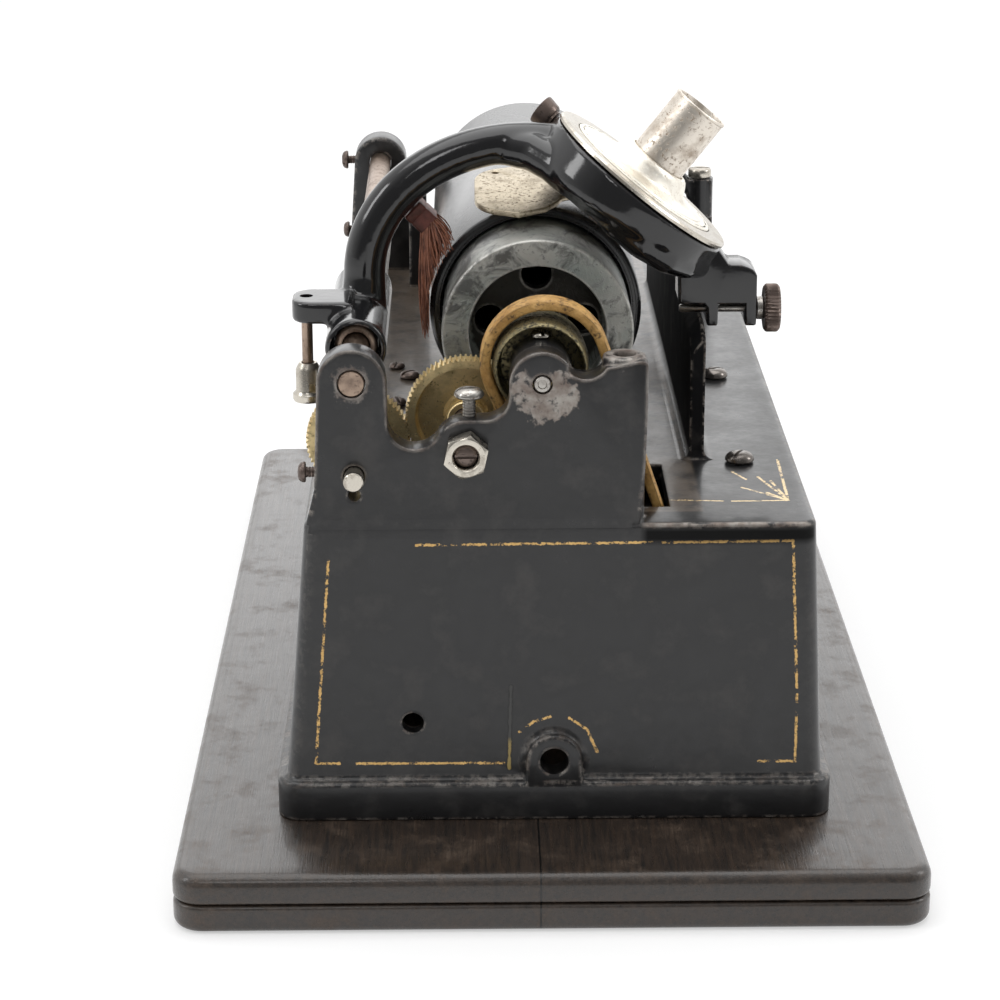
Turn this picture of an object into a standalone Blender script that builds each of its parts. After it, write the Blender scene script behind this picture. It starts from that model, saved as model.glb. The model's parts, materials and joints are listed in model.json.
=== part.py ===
"""Office cylinder phonograph: belt-driven mandrel, gear-driven feed and an arm that slides on a back rod.

Metres, +Z up. The origin is the middle of the plinth's underside. Every piece is modelled from the
shaft datum: X right of the mandrel's axis, Y from the near wall's outer face, Z above the axis.
"""
import math

import bmesh
import bpy
from mathutils import Matrix, Vector

# Clearances and facets
FIT_GAP = 0.0003
OVERRUN = 0.002
WELD = 0.000001
ROUND = 26
HALF_ROUND = 14
SMALL_ROUND = 9
TINY_ROUND = 7
ARC_STEPS = 6
TUBE_SIDES = 11
SHARP_EDGE_DEG = 35

# Plinth of two boards
BASE_WIDTH = 0.1953
BASE_LENGTH = 0.364
BASE_CORNER = 0.0078
BASE_CENTRE_X = 0.002
TOP_BOARD = 0.0078
LOWER_BOARD = 0.0077
TOP_BOARD_ROUND = 0.0034
LOWER_BOARD_ROUND = 0.0026
GROOVE_ROUND = 0.0012
AXIS_ABOVE_BOARD = 0.1193

# Iron body
BODY_TAIL = 0.0080
BODY_LEFT_TOP = -0.0615
BODY_RIGHT_TOP = 0.0710
BODY_LEFT_FOOT = -0.0675
BODY_RIGHT_FOOT = 0.0745
BODY_WALL = 0.0045
BODY_CORNER = 0.0042
BODY_EDGE_ROUND = 0.0014
BODY_STEP = 0.0005
DECK_DROP = 0.0372
DECK_THICK = 0.0045
FLANGE_HEIGHT = 0.0107
FLANGE_REACH = 0.0026
FLANGE_ROUND = 0.0012
FOOT_BOSS_RADIUS = 0.0052
FOOT_BOSS_HEIGHT = 0.0095
FOOT_BOSS_SINK = 0.0020
CABLE_HOLE_X = 0.0033
CABLE_HOLE_HEIGHT = 0.0167
CABLE_HOLE_RADIUS = 0.0038
CABLE_BOSS_RADIUS = 0.0073
OIL_HOLE_X = -0.0339
OIL_HOLE_HEIGHT = 0.0269
OIL_HOLE_RADIUS = 0.0029
PIT_LEFT = -0.0570
PIT_NEAR = 0.0130
PIT_FAR = 0.0490
PIT_SIDE_GAP = 0.0006

# Near end wall
WALL_THICK = 0.0080
WALL_BEVEL = 0.0007
SHOULDER_X = -0.0585
SHOULDER_DROP = 0.0277
LEFT_BOSS_RADIUS = 0.0088
VALLEY_X = -0.0326
VALLEY_DROP = 0.0102
VALLEY_RADIUS = 0.0069
VALLEY_END_DEG = 330
NUT_BOSS_RADIUS = 0.0082
NUT_BOSS_FLAT = 0.0049
NUT_BOSS_START_DEG = 148
CENTRE_BOSS_RADIUS = 0.0084
CENTRE_BOSS_END_DEG = 36
SADDLE_X = 0.0110
SADDLE_RISE = 0.0072
SADDLE_RADIUS = 0.0060
SADDLE_START_DEG = 222
SADDLE_END_DEG = 330
WALL_RIGHT = 0.0269
WALL_RIGHT_FOOT = 0.0254
WALL_RIGHT_RISE = 0.0050
RIGHT_WALL_THICK = 0.0126
RIGHT_WALL_DROP = 0.0150
RIGHT_PAD_RADIUS = 0.0056
RIGHT_PAD_X = 0.0210
RIGHT_PAD_Y = 0.0062
RIGHT_PAD_RISE = 0.0064
RIGHT_PAD_HOLE = 0.0031
RIGHT_PAD_DEPTH = 0.0090
BEARING_BOSS_RADIUS = 0.0080
BEARING_BOSS_REACH = 0.0200
BOSS_SCREW_Y = 0.0168
BOSS_SCREW_RADIUS = 0.0028
BOSS_SCREW_HEIGHT = 0.0018
BOSS_SCREW_SHANK = 0.0014

# Straight-edge rail along the deck
RAIL_LEFT = 0.0418
RAIL_THICK = 0.0040
RAIL_NEAR = 0.0530
RAIL_SETBACK = 0.0110
RAIL_TOP_RIGHT = 0.0001
RAIL_TOP_SLOPE = 0.0040
RAIL_NOSE_RUN = 0.0070
RAIL_NOSE_DROP = 0.0036
RAIL_FOOT_FILLET = 0.0030

# Back rod and the far upright that holds it
ROD_X = -0.0485
ROD_RISE = 0.0004
ROD_RADIUS = 0.00345
FAR_UPRIGHT_SETBACK = 0.0130
FAR_UPRIGHT_THICK = 0.0120

# Mandrel and wax
SHAFT_RADIUS = 0.0022
SHAFT_BODY_RADIUS = 0.0030
SHAFT_TAIL = 0.0087
SHAFT_BODY_START = 0.0205
SHAFT_SHOULDER = 0.0090
BUSH_RADIUS = 0.0040
BUSH_FRONT = 0.0030
SHAFT_WINDOW_GAP = 0.0004
MANDREL_NEAR = 0.0488
MANDREL_TAIL = 0.0044
MANDREL_NEAR_RADIUS = 0.0260
MANDREL_FAR_RADIUS = 0.0243
MANDREL_MOUTH_RADIUS = 0.0185
MANDREL_INNER_RADIUS = 0.0212
MANDREL_LIP = 0.0080
MANDREL_WEB_Y = 0.0640
MANDREL_WEB = 0.0040
MANDREL_HUB_RADIUS = 0.0062
MANDREL_CHAMFER = 0.0008
WEB_HOLE_COUNT = 4
WEB_HOLE_RADIUS = 0.0042
WEB_HOLE_CIRCLE = 0.0128
WAX_RADIUS = 0.0294
WAX_LENGTH = 0.1524
WAX_NEAR = 0.0742
WAX_CHAMFER = 0.0012

# Drive pulley and belt
PULLEY_NEAR = 0.0138
PULLEY_FAR = 0.0290
PULLEY_RADIUS = 0.0126
PULLEY_CROWN = 0.0004
PULLEY_CUP_RADIUS = 0.0111
PULLEY_WEB_Y = 0.0208
PULLEY_LIP = 0.0008
BELT_WIDTH = 0.0070
BELT_THICK = 0.0028
BELT_BORE_RADIUS = 0.0142
BELT_SHIFT_X = 0.0012
BELT_SHIFT_Z = 0.0003
BELT_ARC_STEPS = 14

# Gears
MANDREL_TEETH = 48
INTERMEDIATE_TEETH = 72
FEED_TEETH = 62
INTERMEDIATE_X = -0.0195
INTERMEDIATE_DROP = 0.0177
FEED_X = -0.0482
GEAR_NEAR = 0.0303
GEAR_WIDTH = 0.0050
TOOTH_ROOT_SHARE = 1.10
TOOTH_TIP_SHARE = 0.80
TOOTH_WIDTH_SHARE = 0.80
GEAR_WEB = 0.0018
GEAR_RIM = 0.0018
GEAR_HUB_RADIUS = 0.0050
GEAR_HUB_REACH = 0.0025

# Intermediate gear's stud, its nut and its lock screw
STUD_RADIUS = 0.0029
STUD_FRONT = 0.0047
STUD_COLLAR_RADIUS = 0.0052
STUD_COLLAR = 0.0026
STUD_SEAT_RADIUS = 0.0031
STUD_REACH = 0.0392
NUT_FLATS = 0.0103
NUT_HEIGHT = 0.0052
NUT_CHAMFER = 0.0007
NUT_TURN_DEG = 12
LOCK_SCREW_X = -0.0186
LOCK_SCREW_Y = 0.0046
LOCK_SCREW_HEAD_RADIUS = 0.0039
LOCK_SCREW_HEAD = 0.0024
LOCK_SCREW_SHANK_RADIUS = 0.0013
LOCK_SCREW_STAND = 0.0052
LOCK_SCREW_DEPTH = 0.0040

# Feed screw, its two centre pins and the side screws
FEED_RADIUS = 0.0034
FEED_JOURNAL_RADIUS = 0.0020
FEED_NEAR = 0.0113
FEED_THREAD_NEAR = 0.0380
FEED_JOURNAL = 0.0067
FEED_END_GAP = 0.0013
FEED_THREAD_DEPTH = 0.0004
PIN_RADIUS = 0.00255
PIN_FRONT = 0.0055
PIN_TIP_RADIUS = 0.0006
PIN_TIP = 0.0016
PIN_SLOT_RADIUS = 0.0017
PIN_SLOT_DROP = 0.0051
SIDE_SCREW_HEAD_RADIUS = 0.0027
SIDE_SCREW_HEAD = 0.0021
SIDE_SCREW_SHANK_RADIUS = 0.0014
SIDE_SCREW_STAND = 0.0024
SIDE_SCREW_DEPTH = 0.0030
THUMB_HEAD_RADIUS = 0.0031
THUMB_HEAD = 0.0022
THUMB_STAND = 0.0024
THUMB_HEAD_SHARES = ((0.7, 0.2), (1, 0.3), (1, 0.8), (0.8, 1))

# Round-head screws
HEAD_RIM_SHARE = 0.4
HEAD_CROWN_SHARE = 0.6
DECK_SCREW_X = 0.0555
DECK_SCREW_NEAR_INSET = 0.0070
DECK_SCREW_FAR_INSET = 0.0160
DECK_SCREW_RADIUS = 0.0040
DECK_SCREW_HEIGHT = 0.0027
DECK_SCREW_SHANK = 0.0017
BED_SCREW_PLACES = ((-0.0364, 0.1352), (-0.0400, 0.1069))
BED_SCREW_RADIUS = 0.0031
BED_SCREW_HEIGHT = 0.0020
BED_SCREW_SHANK = 0.0013
BED_SCREW_DEPTH = 0.0034
SLOT_WIDTH = 0.0009
SLOT_DEPTH = 0.0011
BASE_SCREW_HEAD = 0.0040
BASE_SCREW_HEAD_HEIGHT = 0.0024
BASE_SCREW_SHANK = 0.0019
BASE_SCREW_RISE = 0.0065

# Carriage sleeve, arm and ring
SLEEVE_NEAR = 0.0320
SLEEVE_LENGTH = 0.0660
SLEEVE_RADIUS = 0.0082
SLEEVE_RECESS_RADIUS = 0.0069
SLEEVE_RECESS = 0.0080
SLEEVE_CHAMFER = 0.0006
BUSHING_RADIUS = 0.0056
BUSHING_REACH = 0.0035
LUG_NEAR = 0.0440
LUG_DEPTH = 0.0170
LUG_END_X = -0.0663
LUG_TOP = 0.0100
LUG_THICK = 0.0060
LUG_ROUND = 0.0055
LUG_HOLE_X = -0.0623
LUG_HOLE_Y = 0.0525
ARM_RADIUS = 0.0055
ARM_ROOT_RADIUS = 0.0059
ARM_ROOT = (-0.0473, 0.0628, 0.0062)
ARM_KNEE = (-0.0469, 0.0636, 0.0130)
ARM_RISE_HANDLE = 0.0235
ARM_END = (0.0035, 0.0700, 0.0478)
ARM_END_HANDLE = 0.0262
ARM_END_LIFT = 0.0028
ARM_STATIONS = 12
HEAD_X = 0.0285
HEAD_Y = 0.0700
HEAD_RISE = 0.0370
HEAD_TILT_DEG = 38.5
RING_RADIUS = 0.0287
RING_DEPTH = 0.0088
RING_BORE_RADIUS = 0.0246
RING_LOWER_ROUND = 0.0026
RING_EDGE = 0.0006
BLOCK_DEPTH = 0.0130
BLOCK_LEFT = 0.0389
BLOCK_RIGHT = 0.0604
BLOCK_BOTTOM = 0.0040
BLOCK_TOP = 0.0128
SHOULDER_LEFT = 0.0527
SHOULDER_TOP = 0.0150
BLOCK_CORNER = 0.0016
JAW_BOTTOM = -0.0021
JAW_WIDTH = 0.0031
NEAR_JAW_X = 0.0468
GUIDE_RISE = 0.0014
GUIDE_RADIUS = 0.0011
GUIDE_LEFT = 0.0396
GUIDE_COLLAR_RADIUS = 0.0032
GUIDE_COLLAR = 0.0022
GUIDE_KNOB_RADIUS = 0.0067
GUIDE_KNOB = 0.0044

# Reproducer in the ring
FLANGE_PLATE_RADIUS = 0.0285
FLANGE_PLATE = 0.0012
BODY_CUP_RADIUS = 0.0241
BODY_CUP_DEPTH = 0.0076
BODY_CUP_WALL = 0.0032
BODY_LEDGE = 0.0022
BODY_LEDGE_RADIUS = 0.0170
COVER_RADIUS = 0.0226
COVER_THICK = 0.0010
CONE_RADIUS = 0.0118
CONE_TOP_RADIUS = 0.0092
CONE_RISE = 0.0058
TUBE_RADIUS = 0.0080
TUBE_WALL = 0.0010
TUBE_TOP = 0.0262
TUBE_LIP = 0.0003
DIAPHRAGM_RADIUS = 0.0203
DIAPHRAGM = 0.0006
GASKET_RADIUS = 0.0205
GASKET_WIDTH = 0.0024
GASKET = 0.0007
STYLUS_BAR_WIDTH = 0.0022
STYLUS_BAR_DEPTH = 0.0095
STYLUS_RADIUS = 0.0007
STYLUS_LENGTH = 0.0022
LEAF_CENTRE = (-0.0050, 0.0765, 0.0330)
LEAF_LEFT = 0.0118
LEAF_RIGHT = 0.0120
LEAF_HALF_DEPTH = 0.0185
LEAF_NECK_HALF = 0.0060
LEAF_NECK_RUN = 0.0090
LEAF_THICK = 0.0016
LEAF_TILT_DEG = 9.0
LEAF_ROUND = 0.0045
LEAF_HOLE_RADIUS = 0.0009
LEAF_HOLE_SHARE = 0.8
WEIGHT_EYE_RADIUS = 0.0021
WEIGHT_EYE_LENGTH = 0.0100
WEIGHT_PIN_RADIUS = 0.0009
WEIGHT_EAR = 0.0020
WEIGHT_EAR_OFFSET = 0.0198
WEIGHT_EAR_RADIUS = 0.0024
KNOB_ANGLE_DEG = 20.0
KNOB_RADIUS = 0.0042
KNOB_HEIGHT = 0.0042
KNOB_STAND = 0.0016
KNOB_STEM_RADIUS = 0.0014
KNOB_STEM_DEPTH = 0.0026
KNOB_DEPTH_SHARE = 0.32

# Lift rod and clamp under the lug
LIFT_ROD_RADIUS = 0.0015
LIFT_ROD_BOTTOM = -0.0150
CLAMP_TOP = -0.0085
CLAMP_BOTTOM = -0.0196
CLAMP_RADIUS = 0.0034
CLAMP_RIM_RADIUS = 0.0043
CLAMP_RIM = 0.0028
CLAMP_FOOT_SHARE = 0.6
CLAMP_NECK_SHARE = 0.85
CLAMP_NECK_RISE_SHARE = 1.4
CLAMP_TOP_SHARE = 0.7

# Half nut over the feed screw
NUT_SPRING_WIDTH = 0.0056
NUT_SPRING_THICK = 0.0008
NUT_SPRING_NEAR = 0.0560
NUT_SPRING_FAR = 0.0960
NUT_BLOCK_WIDTH = 0.0060
NUT_BLOCK_LENGTH = 0.0110

# Brush against the wax
FERRULE_TOP = (-0.0339, 0.0700, 0.0304)
FERRULE_BOTTOM = (-0.0293, 0.0700, 0.0260)
FERRULE_HALF_WIDTH = 0.0031
FERRULE_HALF_LENGTH = 0.0045
FERRULE_CORNER = 0.0009
FERRULE_STEM_RADIUS = 0.0012
FERRULE_STEM_DEPTH = 0.0022
TUFT_ROWS = 15
TUFT_COLUMNS = 10
TUFT_WIDTH = 0.0044
TUFT_DEPTH = 0.0070
TUFT_SLICE = 0.0014
TUFT_INSET_SHARE = 0.20
TUFT_TOP_DEG = 136.0
TUFT_LOW_DEG = 191.0
TUFT_CLEAR = 0.0008
TUFT_LIFT = 0.0014
TUFT_FAN_DEPTH = 0.0160
TUFT_TIP_SHARE = 0.5

# Far gate that carries the mandrel's far centre
GATE_HINGE_X = 0.0600
GATE_SETBACK = 0.0083
GATE_BAR = 0.0080
GATE_HUB_RADIUS = 0.0045
GATE_HUB_TOP = -0.0023
GATE_HUB_BOTTOM = -0.0157
GATE_END_X = -0.0385
GATE_BAR_HALF = 0.0050
GATE_BOSS_RADIUS = 0.0075
GATE_BOSS_REACH = 0.0020
GATE_PIN_RADIUS = 0.0020
GATE_CAP_RADIUS = 0.0039
GATE_CAP = 0.0030
GATE_PIN_DEPTH = 0.0120
CENTRE_PIN_RADIUS = 0.0022
CENTRE_PIN_TIP = 0.0005
CENTRE_PIN_CONE = 0.0030
CENTRE_PIN_REACH = 0.0090
CENTRE_HEAD_RADIUS = 0.0036
CENTRE_HEAD = 0.0018
STOP_POST_X = -0.0355
STOP_POST_GAP = 0.0010
STOP_POST_HALF = 0.0030

# Motor in the hollow body
MOTOR_X = 0.0312
MOTOR_DROP = 0.0760
MOTOR_NEAR = 0.0440
MOTOR_LENGTH = 0.1060
MOTOR_RADIUS = 0.0260
MOTOR_SHELL = 0.0028
MOTOR_LUG = 0.0110
BELL_THICK = 0.0050
BELL_HUB_RADIUS = 0.0070
BELL_HUB_REACH = 0.0070
BELL_SPIGOT = 0.0030
MOTOR_SHAFT_RADIUS = 0.0030
MOTOR_SHAFT_NEAR = 0.0110
MOTOR_SHAFT_TAIL = 0.0140
FIELD_THICK = 0.0045
FIELD_OVERHANG = 0.0020
FIELD_FAR_OVERHANG = 0.0040
CORE_RADIUS = 0.0175
CORE_NEAR_INSET = 0.0160
CORE_FAR_INSET = 0.0340
COMMUTATOR_RADIUS = 0.0090
COMMUTATOR_GAP = 0.0070
COMMUTATOR_LENGTH = 0.0170
NECK_SHARE = 0.8
CARBON_HALF = 0.0026
CARBON_REACH = 0.0130
MOTOR_PULLEY_RADIUS = 0.0100
MOTOR_PULLEY_FLANGE = 0.0006
MOTOR_PULLEY_SIDE = 0.0016
GOVERNOR_HUB_RADIUS = 0.0060
GOVERNOR_GAP = 0.0160
GOVERNOR_HUB = 0.0060
GOVERNOR_DISC_RADIUS = 0.0150
GOVERNOR_SPAN = 0.0300
GOVERNOR_DISC = 0.0020
GOVERNOR_COUNT = 3
GOVERNOR_BALL_RADIUS = 0.0040
GOVERNOR_BALL_CIRCLE = 0.0125
LEAF_SPRING_THICK = 0.0009
BRAKE_WIDTH = 0.0060
BRAKE_THICK = 0.0012
BRAKE_PAD = 0.0030

# Heights and places that follow
BOARD_TOP_Z = -AXIS_ABOVE_BOARD
BODY_FOOT_Z = BOARD_TOP_Z + FIT_GAP
FLANGE_TOP_Z = BOARD_TOP_Z + FLANGE_HEIGHT
DECK_Z = -DECK_DROP
DECK_UNDER_Z = DECK_Z - DECK_THICK
WAX_FAR = WAX_NEAR + WAX_LENGTH
MANDREL_FAR = WAX_FAR + MANDREL_TAIL
SHAFT_BODY_END = MANDREL_FAR + SHAFT_SHOULDER
SHAFT_LENGTH = SHAFT_BODY_END + SHAFT_TAIL
GATE_Y = SHAFT_LENGTH + GATE_SETBACK
CENTRE_PIN_FAR = GATE_Y + CENTRE_PIN_REACH
STOP_POST_Y = GATE_Y - GATE_BAR / 2 - STOP_POST_GAP - STOP_POST_HALF
RAIL_FAR = GATE_Y - RAIL_SETBACK
FAR_UPRIGHT_Y = GATE_Y + FAR_UPRIGHT_SETBACK
FEED_FAR = FAR_UPRIGHT_Y - FEED_END_GAP
FEED_THREAD_FAR = FEED_FAR - FEED_JOURNAL
BODY_LENGTH = FAR_UPRIGHT_Y + FAR_UPRIGHT_THICK + BODY_TAIL
BASE_CENTRE_Y = BODY_LENGTH / 2
MOTOR_FAR = MOTOR_NEAR + MOTOR_LENGTH
CORE_NEAR = MOTOR_NEAR + CORE_NEAR_INSET
CORE_FAR = MOTOR_FAR - CORE_FAR_INSET
FIELD_NEAR = CORE_NEAR - FIELD_OVERHANG
FIELD_FAR = CORE_FAR + FIELD_FAR_OVERHANG
COMMUTATOR_NEAR = CORE_FAR + COMMUTATOR_GAP
GOVERNOR_HUB_Y = MOTOR_FAR + GOVERNOR_GAP
GOVERNOR_DISC_Y = GOVERNOR_HUB_Y + GOVERNOR_SPAN
MOTOR_SHAFT_FAR = GOVERNOR_DISC_Y + MOTOR_SHAFT_TAIL
DECK_SCREW_YS = (MOTOR_NEAR + DECK_SCREW_NEAR_INSET, MOTOR_FAR - DECK_SCREW_FAR_INSET)
BELT_MID_Y = (PULLEY_NEAR + PULLEY_FAR) / 2
GEAR_MODULE = 2 * math.hypot(INTERMEDIATE_X, INTERMEDIATE_DROP) / (MANDREL_TEETH + INTERMEDIATE_TEETH)
FEED_MESH = GEAR_MODULE * (INTERMEDIATE_TEETH + FEED_TEETH) / 2
FEED_Z = -INTERMEDIATE_DROP - math.sqrt(FEED_MESH ** 2 - (FEED_X - INTERMEDIATE_X) ** 2)
HEAD_NORMAL = Vector((math.sin(math.radians(HEAD_TILT_DEG)), 0, math.cos(math.radians(HEAD_TILT_DEG))))
HEAD_CENTRE = Vector((HEAD_X, HEAD_Y, HEAD_RISE))


# Shapes

def turned(profile, segments=ROUND, closed=False):
    """A solid turned about +Y from (radius, along) points, or a ring where the profile is closed."""
    shape = bmesh.new()
    rings = []
    for radius, along in profile:
        if radius == 0:
            rings.append([shape.verts.new((0, along, 0))])
            continue
        angles = [2 * math.pi * step / segments for step in range(segments)]
        rings.append([shape.verts.new((radius * math.cos(a), along, radius * math.sin(a))) for a in angles])
    following = rings[1:] + (rings[:1] if closed else [])
    for near, far in zip(rings, following):
        for step in range(segments):
            corners = []
            for vert in (near[step % len(near)], near[(step + 1) % segments % len(near)],
                         far[(step + 1) % segments % len(far)], far[step % len(far)]):
                if vert not in corners:
                    corners.append(vert)
            shape.faces.new(corners)
    if not closed:
        for ring in (rings[0], rings[-1]):
            if len(ring) > 1:
                shape.faces.new(ring)
    bmesh.ops.recalc_face_normals(shape, faces=shape.faces)
    return shape


def lofted(rings):
    """A solid through rings of points that all have the same count, with flat ends."""
    shape = bmesh.new()
    levels = [[shape.verts.new(point) for point in ring] for ring in rings]
    for low, high in zip(levels, levels[1:]):
        for step in range(len(low)):
            after = (step + 1) % len(low)
            shape.faces.new((low[step], low[after], high[after], high[step]))
    shape.faces.new(levels[0])
    shape.faces.new(levels[-1])
    bmesh.ops.recalc_face_normals(shape, faces=shape.faces)
    return shape


def slab(outline, near, far, bevel=0):
    """An outline of (x, z) points drawn out along Y, its two rims bevelled if asked."""
    shape = lofted([[(x, y, z) for x, z in outline] for y in (near, far)])
    if bevel:
        rims = [edge for edge in shape.edges if abs(edge.verts[0].co.y - edge.verts[1].co.y) < WELD]
        bmesh.ops.bevel(shape, geom=rims, offset=bevel, segments=1, affect="EDGES")
    return shape


def block(low, high, bevel=0):
    """A box between two corners, all its edges bevelled if asked."""
    (x0, y0, z0), (x1, y1, z1) = low, high
    shape = lofted([[(x0, y0, z), (x1, y0, z), (x1, y1, z), (x0, y1, z)] for z in (z0, z1)])
    if bevel:
        bmesh.ops.bevel(shape, geom=shape.edges[:], offset=bevel, segments=1, affect="EDGES")
    return shape


def arc(centre, radius, start_deg, end_deg, steps=ARC_STEPS):
    """Points along an arc, by angle from +X towards +Z."""
    points = []
    for step in range(steps + 1):
        angle = math.radians(start_deg + (end_deg - start_deg) * step / steps)
        points.append((centre[0] + radius * math.cos(angle), centre[1] + radius * math.sin(angle)))
    return points


def rounded_rectangle(x_low, x_high, y_low, y_high, corner, steps=3):
    """A rectangle in plan with round corners."""
    points = arc((x_high - corner, y_high - corner), corner, 0, 90, steps)
    points += arc((x_low + corner, y_high - corner), corner, 90, 180, steps)
    points += arc((x_low + corner, y_low + corner), corner, 180, 270, steps)
    points += arc((x_high - corner, y_low + corner), corner, 270, 360, steps)
    return points


def tube_along(points, radii, sides):
    """A round solid along a smooth line of points, with a radius at each."""
    rings = []
    side = None
    for index, point in enumerate(points):
        before = points[max(index - 1, 0)]
        after = points[min(index + 1, len(points) - 1)]
        along = (after - before).normalized()
        side = (Vector((0, 1, 0)) if side is None else side)
        side = (side - along * side.dot(along)).normalized()
        up = along.cross(side)
        angles = [2 * math.pi * step / sides for step in range(sides)]
        rings.append([point + (side * math.cos(a) + up * math.sin(a)) * radii[index] for a in angles])
    return lofted(rings)


def toward(direction, origin=(0, 0, 0)):
    """The matrix that turns +Y to a direction and puts a shape at an origin."""
    turn = Vector((0, 1, 0)).rotation_difference(Vector(direction))
    return Matrix.Translation(Vector(origin)) @ turn.to_matrix().to_4x4()


def placed(shape, matrix):
    """A shape moved by a matrix."""
    bmesh.ops.transform(shape, matrix=matrix, verts=shape.verts)
    return shape


def shifted(shape, x, y, z):
    """A shape moved by a distance."""
    return placed(shape, Matrix.Translation((x, y, z)))


def joined(shapes):
    """Several shapes as the separate bodies of one mesh."""
    whole = bmesh.new()
    for shape in shapes:
        mesh = bpy.data.meshes.new("piece")
        shape.to_mesh(mesh)
        whole.from_mesh(mesh)
        bpy.data.meshes.remove(mesh)
    return whole


def as_object(name, shape):
    """A shape as an object in the scene."""
    mesh = bpy.data.meshes.new(name)
    shape.to_mesh(mesh)
    thing = bpy.data.objects.new(name, mesh)
    bpy.context.scene.collection.objects.link(thing)
    return thing


def combined(thing, shape, operation):
    """An object after one exact Boolean with a shape."""
    tool = as_object("tool", shape)
    tool.hide_render = True
    tool.display_type = "WIRE"
    modifier = thing.modifiers.new(operation.lower(), "BOOLEAN")
    modifier.operation = operation
    modifier.solver = "EXACT"
    modifier.object = tool
    bpy.context.view_layer.update()
    seen = thing.evaluated_get(bpy.context.evaluated_depsgraph_get())
    mesh = bpy.data.meshes.new_from_object(seen)
    thing.modifiers.clear()
    thing.data = mesh
    bpy.data.objects.remove(tool)
    return thing


def with_added(thing, *shapes):
    """An object with shapes fused to it."""
    for shape in shapes:
        thing = combined(thing, shape, "UNION")
    return thing


def with_cut(thing, *shapes):
    """An object with shapes cut out of it."""
    for shape in shapes:
        thing = combined(thing, shape, "DIFFERENCE")
    return thing


# Finishes

def finish(name, colour, roughness, metallic):
    """A plain finish that the named pieces share."""
    material = bpy.data.materials.new(name)
    material.use_nodes = True
    shader = material.node_tree.nodes["Principled BSDF"]
    shader.inputs["Base Color"].default_value = (*colour, 1)
    shader.inputs["Roughness"].default_value = roughness
    shader.inputs["Metallic"].default_value = metallic
    return material


FINISHES = {
    "black_japan": ((0.020, 0.020, 0.022), 0.32, 0),
    "black_wood": ((0.028, 0.022, 0.019), 0.42, 0),
    "nickel": ((0.62, 0.58, 0.50), 0.30, 1),
    "steel": ((0.48, 0.47, 0.45), 0.35, 1),
    "old_brass": ((0.38, 0.28, 0.10), 0.45, 1),
    "coppered_steel": ((0.50, 0.33, 0.23), 0.40, 1),
    "brown_steel": ((0.10, 0.065, 0.05), 0.50, 1),
    "zinc": ((0.22, 0.24, 0.24), 0.48, 1),
    "black_wax": ((0.022, 0.022, 0.024), 0.22, 0),
    "tan_leather": ((0.55, 0.34, 0.13), 0.70, 0),
    "red_brown_ferrule": ((0.17, 0.06, 0.04), 0.55, 0),
    "brown_bristle": ((0.055, 0.030, 0.022), 0.60, 0),
    "mica": ((0.55, 0.50, 0.38), 0.20, 0),
    "rubber": ((0.03, 0.03, 0.03), 0.80, 0),
    "copper_winding": ((0.45, 0.18, 0.08), 0.40, 1),
    "carbon": ((0.03, 0.03, 0.03), 0.60, 0),
    "raw_iron": ((0.10, 0.10, 0.10), 0.55, 1),
}


def handed(thing, finish_name, holder, smooth=True):
    """A piece given its finish, shaded, and hung on the empty of its joint or of the datum."""
    material = bpy.data.materials.get(thing.name) or finish(thing.name, *FINISHES[finish_name])
    thing.data.materials.clear()
    thing.data.materials.append(material)
    away = Vector(holder.location) if holder.parent else Vector()
    thing.data.transform(Matrix.Translation(-away))
    thing.parent = holder
    if smooth:
        thing.data.shade_smooth()
        thing.data.set_sharp_from_angle(angle=math.radians(SHARP_EDGE_DEG))
    return thing


def holder(name, place, parent=None):
    """An empty on a joint's axis."""
    empty = bpy.data.objects.new(name, None)
    empty.location = place
    empty.parent = parent
    bpy.context.scene.collection.objects.link(empty)
    return empty


# Fasteners

def slotted_head(radius, height, shank_radius, depth, direction, origin):
    """A domed screw with a slot, its head seated at the origin and its shank behind it."""
    dome = [(shank_radius, -depth), (shank_radius, 0), (radius, 0), (radius, height * HEAD_RIM_SHARE),
            (radius * HEAD_CROWN_SHARE, height)]
    screw = as_object("screw", turned(dome, SMALL_ROUND))
    groove = block((-radius - OVERRUN, height - SLOT_DEPTH, -SLOT_WIDTH / 2),
                   (radius + OVERRUN, height + OVERRUN, SLOT_WIDTH / 2))
    screw = with_cut(screw, groove)
    shape = bmesh.new()
    shape.from_mesh(screw.data)
    bpy.data.objects.remove(screw)
    return placed(shape, toward(direction, origin))


def drill(radius, near, far, x, z, segments=SMALL_ROUND):
    """A round cutter along Y."""
    return shifted(turned([(radius, near), (radius, far)], segments), x, 0, z)


def drill_down(radius, low, high, x, y, segments=SMALL_ROUND):
    """A round cutter or post along Z."""
    post = turned([(radius, low), (radius, high)], segments)
    return placed(post, Matrix.Translation((x, y, 0)) @ Matrix.Rotation(math.pi / 2, 4, "X"))


# Plinth

def board(name, low, high, low_round, high_round):
    """One board of the plinth, with both edges rounded over."""
    rings = []
    for angle in (0, 45, 90):
        slope = math.radians(angle)
        rings.append((low_round * (1 - math.sin(slope)), low + low_round * (1 - math.cos(slope))))
    for angle in (90, 45, 0):
        slope = math.radians(angle)
        rings.append((high_round * (1 - math.sin(slope)), high - high_round * (1 - math.cos(slope))))
    sections = []
    for inset, z in rings:
        half_width = BASE_WIDTH / 2 - inset
        half_length = BASE_LENGTH / 2 - inset
        plan = rounded_rectangle(BASE_CENTRE_X - half_width, BASE_CENTRE_X + half_width,
                                 BASE_CENTRE_Y - half_length, BASE_CENTRE_Y + half_length,
                                 BASE_CORNER - inset)
        sections.append([(x, y, z) for x, y in plan])
    return as_object(name, lofted(sections))


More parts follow.
